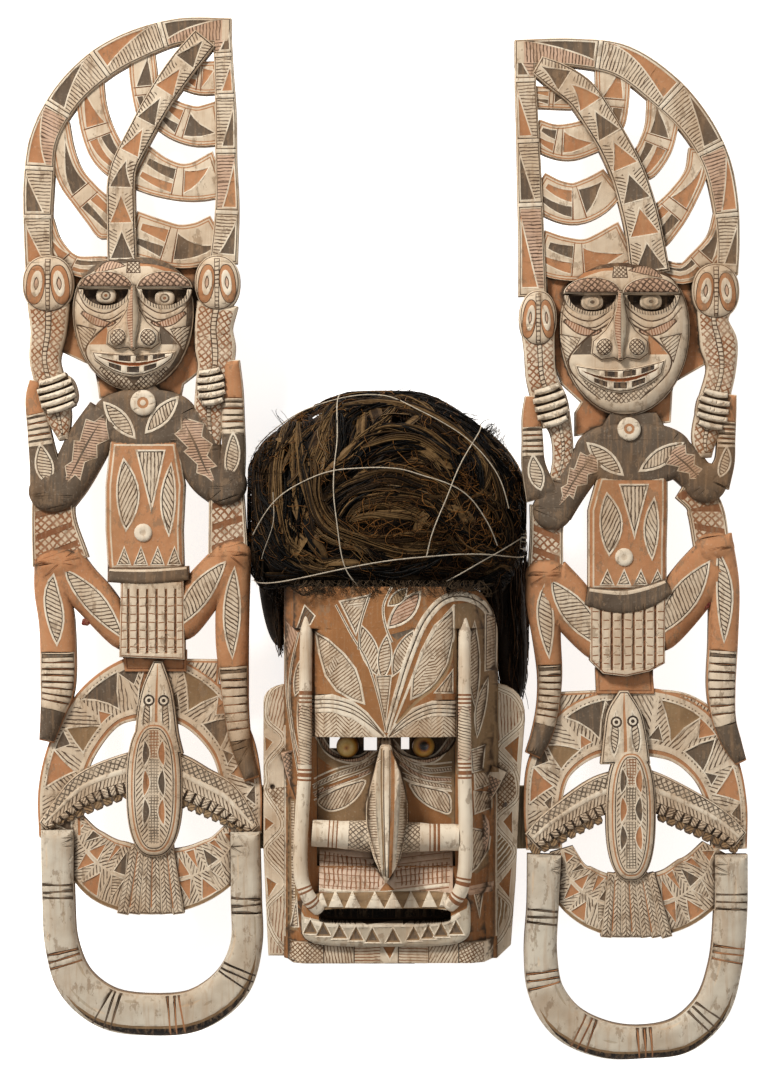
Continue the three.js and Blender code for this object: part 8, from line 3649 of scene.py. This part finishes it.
@dataclass(frozen=True)
class PaintedWood:
    """Old earth paint on carved wood, with brushed lines, wear, stains, and painted shade and soiling in the
    cuts.
    """

    name: str = "painted_wood"
    line_width: float = 0.25
    wear: float = 0.56
    # Strength of the painted shade and soiling in the hollows.
    grime: float = 1.0

    def material(self) -> bpy.types.Material:
        """Makes the material.

        Returns:
            The new material.
        """
        tree = Tree(self.name)
        paint = tree.layer("paint").outputs["Color"]
        ink = tree.layer("ink").outputs["Color"]
        split = tree.nodes.new("ShaderNodeSeparateXYZ")
        tree.links.new(tree.layer("brush").outputs["Vector"], split.inputs[0])
        u, v, style = split.outputs
        wobble = tree.math("MULTIPLY", tree.math("SUBTRACT", tree.noise(95, 2), 0.5), 0.85)
        width = tree.math("MULTIPLY_ADD", tree.noise(160, 2), 0.5, self.line_width - 0.2)

        def lines(value: object, shift: float) -> object:
            """Dark strokes where the running value passes whole numbers.

            Args:
                value: constant or output.
                shift: shift of the lines, in lines.

            Returns:
                The strength of the strokes.
            """
            run = tree.math("FRACT", tree.math("ADD", tree.math("ADD", value, wobble), shift))
            off = tree.math("MULTIPLY", tree.math("ABSOLUTE", tree.math("SUBTRACT", run, 0.5)), 2.0)
            gap = tree.math("SUBTRACT", off, width)
            return tree.ramp(gap, -0.09, 0.12, 1.0, 0.0)
        first = lines(u, 0.0)
        second = tree.math("MULTIPLY", lines(v, 0.3), tree.ramp(style, 1.4, 1.6))
        both = tree.math("MULTIPLY", tree.math("MAXIMUM", first, second), tree.ramp(style, 0.4, 0.6))
        faded = tree.ramp(tree.noise(60, 3), 0.25, 0.6, 0.5, 1.0)
        stroke = tree.math("MULTIPLY", both, faded)
        grain = tree.noise(26, 5, (9.0, 0.55, 9.0), 0.6, 0.4)
        patch = tree.noise(17, 4)
        fine = tree.noise(420, 2)
        ground = tree.mix(tree.ramp(patch, 0.36, 0.72, 0.0, 0.5), paint, (0.5, 0.35, 0.22), "MULTIPLY")
        ground = tree.mix(tree.ramp(grain, 0.48, 0.66, 0.0, 0.3), ground, (0.38, 0.22, 0.11))
        ground = tree.mix(tree.ramp(fine, 0.56, 0.8, 0.0, 0.16), ground, (0.66, 0.58, 0.46))
        chips = tree.math("MULTIPLY", tree.ramp(tree.noise(75, 5, (1.4, 0.7, 1.4), 0.7), self.wear,
                                                self.wear + 0.06), 0.55)
        ground = tree.mix(chips, ground, (0.235, 0.15, 0.085))
        inked = tree.mix(stroke, ground, ink)
        # Painted shade and soiling: the hollows of the carving are darkened unevenly toward a dark brown.
        shade_plus_dirt = tree.math("MULTIPLY", tree.layer("grime").outputs["Fac"], self.grime)
        shade_plus_dirt = tree.math("MULTIPLY", shade_plus_dirt, tree.ramp(tree.noise(48, 3), 0.2, 0.7, 0.75, 1.4), clamp=True)
        inked = tree.mix(shade_plus_dirt, inked, (0.062, 0.034, 0.016))
        stain = tree.ramp(tree.noise(11, 4, (1, 0.8, 1)), 0.5, 0.76, 0.0, 0.42)
        inked = tree.mix(stain, inked, (0.29, 0.155, 0.065))
        rough = tree.math("MULTIPLY_ADD", patch, 0.2, 0.68)
        height = tree.math("MULTIPLY_ADD", stroke, -0.55,
                           tree.math("MULTIPLY_ADD", grain, 0.5, tree.math("MULTIPLY", fine, 0.35)))
        height = tree.math("MULTIPLY_ADD", chips, -0.5, height)
        tree.surface.inputs["Specular IOR Level"].default_value = 0.32
        return tree.finish(inked, rough, height, 0.0006, 0.75)


@dataclass(frozen=True)
class ShellLook:
    """Polished shell with fine growth lines."""

    name: str = "polished_shell"

    def material(self) -> bpy.types.Material:
        """Makes the material.

        Returns:
            The new material.
        """
        tree = Tree(self.name)
        paint = tree.layer("paint").outputs["Color"]
        cloud = tree.noise(140, 4, (1, 1, 1), 0.6, 0.8)
        colour = tree.mix(tree.ramp(cloud, 0.5, 0.72, 0.0, 0.35), paint, (0.42, 0.14, 0.02))
        colour = tree.mix(tree.ramp(tree.noise(520, 2), 0.58, 0.75, 0.0, 0.25), colour, (0.85, 0.6, 0.3))
        tree.surface.inputs["Coat Weight"].default_value = 0.5
        tree.surface.inputs["Coat Roughness"].default_value = 0.08
        return tree.finish(colour, tree.math("MULTIPLY_ADD", cloud, 0.2, 0.2), cloud, 0.0002, 0.4)


@dataclass(frozen=True)
class FibreLook:
    """Dry plant fibre, each strand in its own tint."""

    name: str = "dry_fibre"
    rough: float = 0.62

    def material(self) -> bpy.types.Material:
        """Makes the material.

        Returns:
            The new material.
        """
        tree = Tree(self.name)
        paint = tree.layer("paint").outputs["Color"]
        along = tree.noise(230, 3, (1, 1, 1), 0.6)
        colour = tree.mix(tree.ramp(along, 0.35, 0.7, 0.0, 0.6), paint, (0.4, 0.33, 0.26), "MULTIPLY")
        colour = tree.mix(tree.ramp(tree.noise(640, 2), 0.56, 0.7, 0.0, 0.12), colour, (0.2, 0.12, 0.05))
        tree.surface.inputs["Specular IOR Level"].default_value = 0.1
        return tree.finish(colour, tree.math("MULTIPLY_ADD", along, 0.2, self.rough - 0.1), along, 0.0003,
                           0.5)


@dataclass(frozen=True)
class TwineLook:
    """Pale twisted plant twine."""

    name: str = "pale_twine"

    def material(self) -> bpy.types.Material:
        """Makes the material.

        Returns:
            The new material.
        """
        tree = Tree(self.name)
        paint = tree.layer("paint").outputs["Color"]
        strand = tree.noise(900, 3, (1, 1, 1), 0.7, 0.6)
        colour = tree.mix(tree.ramp(strand, 0.4, 0.65, 0.0, 0.55), paint, (0.17, 0.12, 0.07))
        return tree.finish(colour, 0.85, strand, 0.0004, 0.8)


@dataclass(frozen=True)
class PlainWood:
    """Bare split wood with long grain."""

    name: str = "bare_wood"

    def material(self) -> bpy.types.Material:
        """Makes the material.

        Returns:
            The new material.
        """
        tree = Tree(self.name)
        grain = tree.noise(30, 6, (14.0, 1.0, 14.0), 0.65, 0.5)
        colour = tree.mix(tree.ramp(grain, 0.35, 0.68), (0.5, 0.4, 0.25), (0.25, 0.17, 0.09))
        colour = tree.mix(tree.ramp(tree.noise(18, 3), 0.5, 0.75, 0.0, 0.4), colour, (0.2, 0.14, 0.08))
        return tree.finish(colour, tree.math("MULTIPLY_ADD", grain, 0.2, 0.68), grain, 0.0007, 0.7)


@dataclass(frozen=True)
class Paper:
    """Plain pale studio floor, lit a little from below."""

    name: str = "pale_floor"
    shade: Tuple[float, float, float] = (0.93, 0.93, 0.925)
    glow: float = 0.78

    def material(self) -> bpy.types.Material:
        """Makes the material.

        Returns:
            The new material.
        """
        tree = Tree(self.name)
        mottle = tree.ramp(tree.noise(3, 2), 0.3, 0.7, 0.0, 0.04)
        tree.surface.inputs["Emission Color"].default_value = (1.0, 1.0, 1.0, 1.0)
        tree.surface.inputs["Emission Strength"].default_value = self.glow
        return tree.finish(tree.mix(mottle, self.shade, (0.86, 0.86, 0.85)), 0.95)


@dataclass(frozen=True)
class Studio:
    """Floor, camera and soft lights.

    Args:
        middle: middle of the picture in metres.
        tall: height of the picture in metres.
        level: height over the floor at which the picture is that tall.
        lens: focal length in millimetres.
        sensor: height of the film in millimetres.
        reach: half the width of the floor in metres.
        glow: strength of the light from all round.
    """

    middle: Tuple[float, float]
    tall: float
    level: float = 0.088
    lens: float = 120
    sensor: float = 36
    reach: float = 6.0
    glow: float = 0.3

    def floor(self) -> bpy.types.Object:
        """A wide gently uneven sheet of paper under the mask.

        Returns:
            The new object, in metres.
        """
        steps = 60
        axis = np.linspace(-self.reach, self.reach, steps + 1)
        gx, gy = np.meshgrid(axis, axis)
        z = -0.0004 - 0.0002 * (1 + drift(gx, gy, 2.4, 1.0))
        verts = np.stack([gx.ravel(), gy.ravel(), z.ravel()], 1) / MM
        i, j = np.meshgrid(np.arange(steps), np.arange(steps))
        a = (j * (steps + 1) + i).ravel()
        faces = np.stack([a, a + 1, a + steps + 2, a + steps + 1], 1)
        return make_mesh("studio_floor", verts, faces, np.full((len(faces), 3), 0.9),
                         grime=np.zeros(len(verts)))

    def lamp(self, name: str, place: Tuple[float, float, float], size: float, power: float,
             warm: float = 0.0) -> None:
        """A soft square light that looks at the mask.

        Args:
            name: name of the light.
            place: place in metres.
            size: width in metres.
            power: power in watts.
            warm: warmth from 0, white, to 1.
        """
        data = bpy.data.lights.new(name, "AREA")
        data.energy = power
        data.size = size
        data.color = (1.0, 1.0 - 0.06 * warm, 1.0 - 0.16 * warm)
        lamp = bpy.data.objects.new(name, data)
        lamp.location = place
        lamp.rotation_euler = (Vector((0, 0, 0.08)) - Vector(place)).to_track_quat("-Z", "Y").to_euler()
        bpy.context.scene.collection.objects.link(lamp)

    def build(self) -> bpy.types.Object:
        """Sets up everything and returns the floor.

        Returns:
            The floor.
        """
        data = bpy.data.cameras.new("view")
        data.lens = self.lens
        data.clip_end = 60
        camera = bpy.data.objects.new("view", data)
        camera.location = (self.middle[0], self.middle[1], self.level + self.tall * self.lens / self.sensor)
        bpy.context.scene.collection.objects.link(camera)
        bpy.context.scene.camera = camera
        self.lamp("key", (-1.6, 2.5, 2.3), 0.7, 150, 0.3)
        self.lamp("fill", (2.4, -0.6, 2.6), 2.6, 13)
        self.lamp("low", (-1.9, -2.2, 2.0), 2.2, 10)
        world = bpy.data.worlds.new("soft_white")
        world.use_nodes = True
        back = world.node_tree.nodes["Background"]
        back.inputs[0].default_value = (1.0, 1.0, 1.0, 1.0)
        back.inputs[1].default_value = self.glow
        bpy.context.scene.world = world
        bpy.context.scene.view_settings.view_transform = "Standard"
        return self.floor()


def left_plan() -> BoardPlan:
    """The board at the viewer's left.

    Returns:
        The plan, in millimetres.
    """
    return BoardPlan(
        name="left_ear_board",
        seed=1.0,
        outer_frame=[(-142, 467.5, 24), (-189, 467.5, 24), (-230.5, 454.5, 28.5), (-262.5, 437, 29.5),
                     (-294, 407, 27.5), (-315, 368, 26), (-319.5, 329.5, 28.5), (-320.5, 288, 26.5),
                     (-319, 245, 26)],
        inner_frame=[(-151.5, 477.5, 17.5), (-149.5, 440, 17.5), (-147.5, 394, 19.5), (-147, 348, 20),
                     (-146, 305.5, 22), (-149.5, 254, 26)],
        midrib=[(-242.5, 254, 27.5), (-243.5, 297.5, 26.5), (-243.5, 327, 26), (-240.5, 343.5, 24),
                (-228.5, 368, 24), (-208.5, 404, 25), (-186.5, 436, 26), (-166, 461, 24)],
        ribs=[[(-225, 451, 24), (-223, 423.5, 26), (-219.5, 388.5, 22)],
              [(-273, 423.5, 26), (-271, 398.5, 27.5), (-265.5, 375.5, 30.5), (-256.5, 356, 32),
               (-242.5, 341.5, 31.5)],
              [(-301.5, 383, 20), (-297.5, 357, 22), (-290.5, 334, 26), (-275.5, 314, 28.5),
               (-263.5, 301, 32), (-251.5, 287, 38.5)],
              [(-313.5, 296.5, 13), (-305, 271.5, 14.5), (-287.5, 252, 18.5), (-255.5, 249.5, 23)],
              [(-186.5, 428, 27.5), (-170.5, 424.5, 30.5), (-154, 425, 30.5)],
              [(-207.5, 394, 31.5), (-191, 384.5, 35), (-173.5, 380, 37), (-152.5, 383, 40.5)],
              [(-229.5, 344, 43), (-209.5, 334, 37), (-189, 328.5, 34), (-172.5, 329.5, 37),
               (-152.5, 336, 44)],
              [(-235, 281.5, 42.5), (-212, 274.5, 40.5), (-191, 269, 40.5), (-170.5, 271.5, 40.5),
               (-152.5, 281.5, 37)]],
        back_plate=[(-303, 254), (-301.5, 173), (-272, 159.5), (-267.5, 152), (-264.5, 129), (-189, 129),
                    (-186.5, 142), (-173.5, 152), (-158, 177.5), (-158, 254)],
        face=FacePlan(centre=(-232.5, 208), half_width=56, up=51.5, down=72.5, brow=(-231.5, 230),
                      eyes=((-257, 223.5), (-203, 221)), socket_half=22, eye_half=9.5, mouth=(-227.5, 162),
                      shell_eyes=False),
        fish_heads=[(-310.5, 234, 24, 26.5), (-155, 235, 21, 26)],
        fish_bodies=[[(-310.5, 216.5, 39.5), (-310.5, 191.5, 34), (-314, 164, 28.5), (-308.5, 141, 27.5),
                      (-301.5, 113.5, 24), (-296.5, 90.5, 9)],
                     [(-155, 216.5, 38.5), (-158.5, 193.5, 35), (-157, 175, 37.5), (-157, 160, 33),
                      (-161.5, 139, 27.5), (-162.5, 108.5, 26), (-158.5, 81, 11)]],
        hands=[(-302.5, 133.5, 37, 35, 0.3), (-160.5, 140, 28, 36, 0.0)],
        chest=(-222, 110.5, 96, 54),
        neck=[(-231.5, 140, 31.5), (-225, 120, 53.5)],
        chest_disc=(-223, 124.5, 12),
        upper_arms=[[(-256.5, 116, 37), (-273.5, 88.5, 41.5), (-290.5, 56.5, 39.5), (-303, 39, 38.5)],
                    [(-189, 114, 37), (-175.5, 87.5, 42.5), (-163.5, 60, 41.5), (-150.5, 44.5, 35)]],
        forearms=[[(-322.5, 145.5, 11), (-324.5, 130, 14.5), (-319.5, 99.5, 21), (-315, 72, 26.5),
                   (-308, 42.5, 40.5)],
                  [(-141.5, 164, 14), (-140.5, 136.5, 18.5), (-140.5, 107, 21), (-140.5, 76.5, 23),
                   (-147, 48, 34)]],
        elbows=[(-305, 44.5, 24, 20), (-147.5, 50, 19.5, 19.5)],
        blocks=[[(-306, 39.5, 38.5), (-306, 16.5, 40.5), (-299.5, -22, 52.5)],
                [(-147, 48, 32), (-146, 21.5, 34), (-145, -16.5, 37)]],
        torso=[(-253.5, 90.5), (-258, 49), (-258, 7.5), (-255.5, -31), (-185.5, -31), (-186.5, 7.5),
               (-184.5, 49), (-191, 90.5)],
        navel=(-223, 5, 8.5),
        belt=[(-255.5, -34, 13), (-218.5, -35, 14.5), (-181, -32, 13)],
        skirt=[(-243.5, -38.5), (-245, -109.5), (-184.5, -112), (-185.5, -38.5)],
        pedestal=[(-242.5, -103), (-240.5, -123), (-183.5, -123), (-183.5, -103)],
        thighs=[[(-299.5, -22, 42.5), (-283, -41, 38.5), (-266.5, -58.5, 37.5), (-240.5, -91, 33)],
                [(-141.5, -16.5, 33), (-156, -33, 37), (-170.5, -51.5, 39.5), (-191, -81, 40.5)]],
        shins=[[(-303, -22, 42.5), (-307, -47.5, 34), (-303, -80, 33), (-302.5, -139.5, 31.5),
                (-307, -162.5, 23), (-312.5, -187.5, 14)],
               [(-137.5, -12.5, 27.5), (-140.5, -47.5, 30.5), (-141.5, -93.5, 30.5), (-139.5, -130.5, 26.5),
                (-137.5, -160, 23), (-133, -190.5, 19.5), (-123, -222.5, 14.5)]],
        disc=[(-299.5, -276, 40.5), (-299.5, -231.5, 41.5), (-287.5, -190.5, 44), (-258, -151.5, 50.5),
              (-216.5, -137, 62.5), (-175.5, -150, 52.5), (-144, -186.5, 42.5), (-133, -227, 37),
              (-130, -273, 31.5)],
        shoulders=[[(-185.5, -121.5, 20), (-153, -124, 24)]],
        bird_body=(-213, -230, 26, 63.5),
        bird_head=[(-209.5, -113, 8.5), (-210.5, -138, 27.5), (-211, -158, 35), (-211, -181, 40.5),
                   (-210.5, -199.5, 48)],
        wings=[[(-220.5, -215, 40.5), (-239, -217, 36), (-277.5, -231, 30.5), (-299.5, -250, 20),
                (-316, -265.5, 10)],
               [(-207.5, -215, 40.5), (-191, -219, 38.5), (-170.5, -229, 35), (-150.5, -239, 33),
                (-133, -255.5, 22), (-120, -268.5, 10)]],
        fringes=[(-233.5, -235.5, -312.5, -267.5, 9), (-191, -244.5, -124, -273, 9)],
        crescent=[(-290.5, -261, 24), (-278.5, -285, 44), (-255.5, -307, 60.5), (-216.5, -317, 60.5),
                  (-178, -311.5, 55), (-150.5, -295, 46), (-135.5, -270.5, 27.5)],
        tail=(-215, -283, -216.5, -346.5, 38, 62, 6),
        ring=[(-302.5, -268.5, 30.5), (-301.5, -333, 29.5), (-298.5, -375, 30.5), (-285.5, -410, 35),
              (-257, -433, 37.5), (-216.5, -439.5, 37.5), (-174.5, -435, 37.5), (-142, -411, 36),
              (-128.5, -375, 29.5), (-128.5, -333, 28.5), (-129.5, -270.5, 27.5)],
        outer_bars=[(-207, 469.5), (-264.5, 440), (-303.5, 395), (-321, 340.5), (-322.5, 296.5)],
        inner_bars=[(-150.5, 445.5), (-150.5, 407.5), (-150.5, 357), (-148.5, 300)],
        rib_paints=[Paint.UMBER, Paint.OCHRE, Paint.UMBER, Paint.OCHRE, Paint.OCHRE, Paint.UMBER,
                    Paint.OCHRE, Paint.UMBER],
        leaves=[(-260, 126, -229.5, 91, 8.5), (-190, 131, -221.5, 96, 8.5)],
        ring_marks=[(-301.5, -324.5, Paint.UMBER), (-296, -387, Paint.RUST), (-255.5, -432, Paint.UMBER),
                    (-194.5, -436, Paint.OCHRE), (-138, -401.5, Paint.INK), (-130, -337.5, Paint.UMBER)])


def right_plan() -> BoardPlan:
    """The board at the viewer's right.

    Returns:
        The plan, in millimetres.
    """
    return BoardPlan(
        name="right_ear_board",
        seed=2.0,
        outer_frame=[(119, 447.5, 24), (174.5, 447.5, 26.5), (217.5, 440, 30.5), (255.5, 414, 33),
                     (284, 384, 29.5), (304, 349, 26.5), (313, 311, 24), (316, 274.5, 21), (315, 243, 20)],
        inner_frame=[(128.5, 457.5, 17.5), (129, 421.5, 19.5), (131, 375.5, 21), (133, 320.5, 23),
                     (134.5, 274.5, 24), (135.5, 223, 26)],
        midrib=[(244, 243, 37), (237, 287, 34), (230.5, 313, 33), (222, 338.5, 31.5), (210, 363.5, 29.5),
                (197.5, 384.5, 29.5), (180, 409.5, 29.5), (158.5, 425, 26.5), (139.5, 436, 18.5)],
        ribs=[[(208.5, 438, 31.5), (209.5, 412.5, 32), (206.5, 379, 31.5)],
              [(257, 405, 32), (254.5, 379, 30.5), (248, 359, 31.5), (235, 339.5, 32)],
              [(289.5, 359, 19.5), (286.5, 337, 21), (275.5, 316.5, 26), (261, 297.5, 33), (244, 282.5, 46)],
              [(310.5, 302, 14.5), (306, 276, 20), (292, 256, 24), (274.5, 244, 20), (254.5, 248.5, 18.5)],
              [(135.5, 407, 20), (153, 406, 20), (172.5, 404, 17.5)],
              [(136.5, 374.5, 26), (153, 367, 30.5), (169.5, 365.5, 34), (195.5, 373, 31.5)],
              [(138.5, 323, 33), (157, 312, 37), (174.5, 308.5, 38.5), (192, 315, 37.5), (210, 328.5, 30.5)],
              [(140.5, 265, 40.5), (160.5, 258.5, 40.5), (186.5, 257, 38.5), (223, 273.5, 40.5)]],
        back_plate=[(147.5, 254), (149.5, 173), (162.5, 142), (180.5, 125.5), (174.5, 116), (174.5, 94),
                    (263.5, 107), (265.5, 143), (295, 160), (295, 254)],
        face=FacePlan(centre=(220.5, 191.5), half_width=60, up=62.5, down=79, brow=(215.5, 224.5),
                      eyes=((190, 217.5), (244, 218)), socket_half=23, eye_half=10.5, mouth=(217.5, 151),
                      shell_eyes=True),
        fish_heads=[(140.5, 202.5, 17.5, 26), (304, 227.5, 22, 26)],
        fish_bodies=[[(140.5, 196, 31.5), (142, 173, 28.5), (144, 147.5, 28.5), (153, 122.5, 31.5),
                      (161.5, 99.5, 21), (163.5, 76.5, 18.5), (157.5, 51.5, 13)],
                     [(304, 219, 37), (302, 200.5, 28.5), (307, 179.5, 35), (309.5, 156.5, 27.5),
                      (301.5, 122.5, 27.5), (294, 90.5, 23), (295, 74, 11)]],
        hands=[(152, 122.5, 33, 40, 0.25), (301.5, 119, 31, 38, -0.1)],
        chest=(228.5, 77.5, 108, 58),
        neck=[(228.5, 116, 42.5), (228.5, 90.5, 72)],
        chest_disc=(224, 100.5, 11),
        upper_arms=[[(195.5, 81, 35), (179, 61, 35), (166, 40.5, 33), (157, 24, 31.5)],
                    [(258, 83, 38.5), (276.5, 68, 35), (289.5, 54.5, 31.5), (296.5, 48, 27.5)]],
        forearms=[[(134, 131, 11), (134.5, 113.5, 17.5), (135.5, 90.5, 19.5), (136.5, 67.5, 22),
                   (145, 37, 31.5)],
                  [(318, 132.5, 11), (316, 116, 14.5), (314, 90.5, 16.5), (312.5, 70, 18.5),
                   (304, 50, 27.5)]],
        elbows=[(154, 26, 18.5, 18.5), (295, 51, 19.5, 18.5)],
        blocks=[[(149.5, 30.5, 33), (148.5, 5.5, 30.5), (147.5, -35, 33)],
                [(272.5, 45, 18.5), (292, 32.5, 31.5), (302, -12.5, 33)]],
        torso=[(195.5, 59), (186.5, 26), (186.5, -11), (186.5, -49.5), (259, -49.5), (259, -11), (260, 26),
               (260, 59)],
        navel=(219.5, -17.5, 8.5),
        belt=[(184.5, -53, 16.5), (203.5, -57, 21), (221, -58, 22), (242.5, -53, 21), (261, -44, 14.5)],
        skirt=[(188, -57), (188, -113), (200, -125), (221, -127.5), (242.5, -123), (257, -115),
               (258, -51.5)],
        pedestal=[(193.5, -119.5), (194.5, -143.5), (248, -143.5), (246, -119.5)],
        thighs=[[(149.5, -32, 38.5), (159.5, -47.5, 45), (172.5, -64, 46), (201, -99, 42.5)],
                [(303, -15.5, 38.5), (289.5, -35.5, 46), (275.5, -55, 47), (249.5, -90, 44)]],
        shins=[[(146.5, -31, 33), (146, -57, 33), (148.5, -90, 26.5), (151.5, -127, 23), (149.5, -156, 21),
                (144, -181, 19.5), (135.5, -200.5, 14.5)],
               [(303, 2, 33), (311.5, -43, 29.5), (311.5, -91, 27.5), (309.5, -139.5, 26.5),
                (312.5, -169, 22), (319.5, -189.5, 18.5), (328, -207, 11)]],
        disc=[(146.5, -287, 33), (145, -245.5, 35), (153, -208, 42.5), (184.5, -176.5, 56),
              (226.5, -169, 62.5), (272, -177.5, 60), (301.5, -207, 47), (315, -245.5, 37), (317, -287, 33)],
        shoulders=[[(158.5, -156, 27.5), (197.5, -152.5, 24)],
                   [(243.5, -151.5, 25), (274.5, -156, 26), (295, -169, 29.5)]],
        bird_body=(226, -254.5, 23, 61.5),
        bird_head=[(219.5, -140.5, 8.5), (219.5, -160, 31.5), (220.5, -180, 39.5), (221, -208, 46)],
        wings=[[(217.5, -233.5, 40.5), (197.5, -238, 36), (166, -255.5, 28.5), (148.5, -267.5, 24),
                (134.5, -279.5, 18.5)],
               [(234, -231.5, 40.5), (252.5, -236.5, 36), (293, -254.5, 28.5), (311.5, -265.5, 24),
                (327, -278.5, 18.5)]],
        fringes=[(201, -259.5, 135.5, -292.5, 8), (250.5, -257.5, 324.5, -289.5, 9)],
        crescent=[(162.5, -287, 22), (171.5, -316.5, 44), (197.5, -335.5, 53.5), (232.5, -340, 57),
                  (267, -333, 57), (291, -314.5, 53.5), (306, -287, 29.5)],
        tail=(226.5, -309, 231.5, -368, 42, 66, 7),
        ring=[(146.5, -291.5, 31.5), (145, -337.5, 29.5), (143, -383.5, 30.5), (148.5, -419.5, 33),
              (168, -447, 35), (202, -462.5, 33), (238.5, -464.5, 29.5), (273.5, -458, 33),
              (300.5, -433, 33), (313, -395.5, 30.5), (318, -346.5, 30.5), (318.5, -291.5, 30.5)],
        outer_bars=[(197.5, 453.5), (263.5, 407.5), (298.5, 357), (314, 297.5)],
        inner_bars=[(130, 421.5), (132, 366.5), (134, 306.5)],
        rib_paints=[Paint.OCHRE, Paint.UMBER, Paint.OCHRE, Paint.UMBER, Paint.UMBER, Paint.OCHRE,
                    Paint.UMBER, Paint.OCHRE],
        leaves=[(184.5, 88.5, 219.5, 57, 8.5), (275, 88.5, 232.5, 61, 8.5)],
        ring_marks=[(144.5, -349.5, Paint.UMBER), (146, -404.5, Paint.OCHRE), (183.5, -454.5, Paint.RUST),
                    (239.5, -461.5, Paint.OCHRE), (293, -440.5, Paint.UMBER), (315.5, -383, Paint.OCHRE),
                    (318, -333, Paint.UMBER)])


def settle(pieces: Iterable[bpy.types.Object], look: bpy.types.Material, node: str) -> None:
    """Gives pieces their finish, hangs them under the root body and hides the solid they stand for.

    Args:
        pieces: pieces to finish.
        look: material they get.
        node: solid they stand for.
    """
    for piece in pieces:
        piece.data.materials.append(look)
        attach(piece, "root")
        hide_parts(node)
        log.info("%s: %d faces", piece.name, len(piece.data.polygons))


def main() -> None:
    """Builds every piece in order."""
    logging.basicConfig(level=logging.INFO, format="%(message)s")
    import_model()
    painted = PaintedWood().material()
    shell = ShellLook().material()
    fibre = FibreLook().material()
    twine = TwineLook().material()
    bare = PlainWood().material()
    for plan, name, place in ((left_plan(), "left_wax_dab", (-275.5, -77)),
                              (right_plan(), "right_wax_dab", (295, -61.5))):
        board = EarBoard(plan).build()
        dab = Dab(name, place, wide=4.2, tall=1.7, paint=WAX, seed=place[0]).build(board)
        settle([board, dab], painted, plan.name)
    block = FaceBlock().build()
    nail = Dab("flange_nail", (110, -245.5), wide=2.3, tall=1.3, paint=IRON, seed=0.4).build(block)
    settle([block, nail] + FaceRods().build(), painted, "mask")
    settle([ShellEye("left_eye_shell", (-34.5, -190), 0.15, (-1.2, -1.0), ShellTint.AMBER).build()], shell,
           "left_eye")
    settle([ShellEye("right_eye_shell", (34.5, -190), 0.34, (0.4, 1.0), ShellTint.BROWN).build()], shell,
           "right_eye")
    wig = FibreWig().build()
    settle(wig[:-1], fibre, "fibre_wig")
    settle(wig[-1:], twine, "fibre_wig")
    settle([Batten("left_batten_wood", (-147.3, -287.8, 56.0), (-94.0, -229.2, 67.7), 8.0).build()], bare,
           "left_batten")
    settle([Batten("right_batten_wood", (104.0, -287.8, 56.0), (157.3, -229.2, 67.7), 9.0).build()], bare,
           "right_batten")
    floor = Studio(middle=(0.00226, -0.00168), tall=0.994).build()
    floor.data.materials.append(Paper().material())


if __name__ == "__main__":
    main()
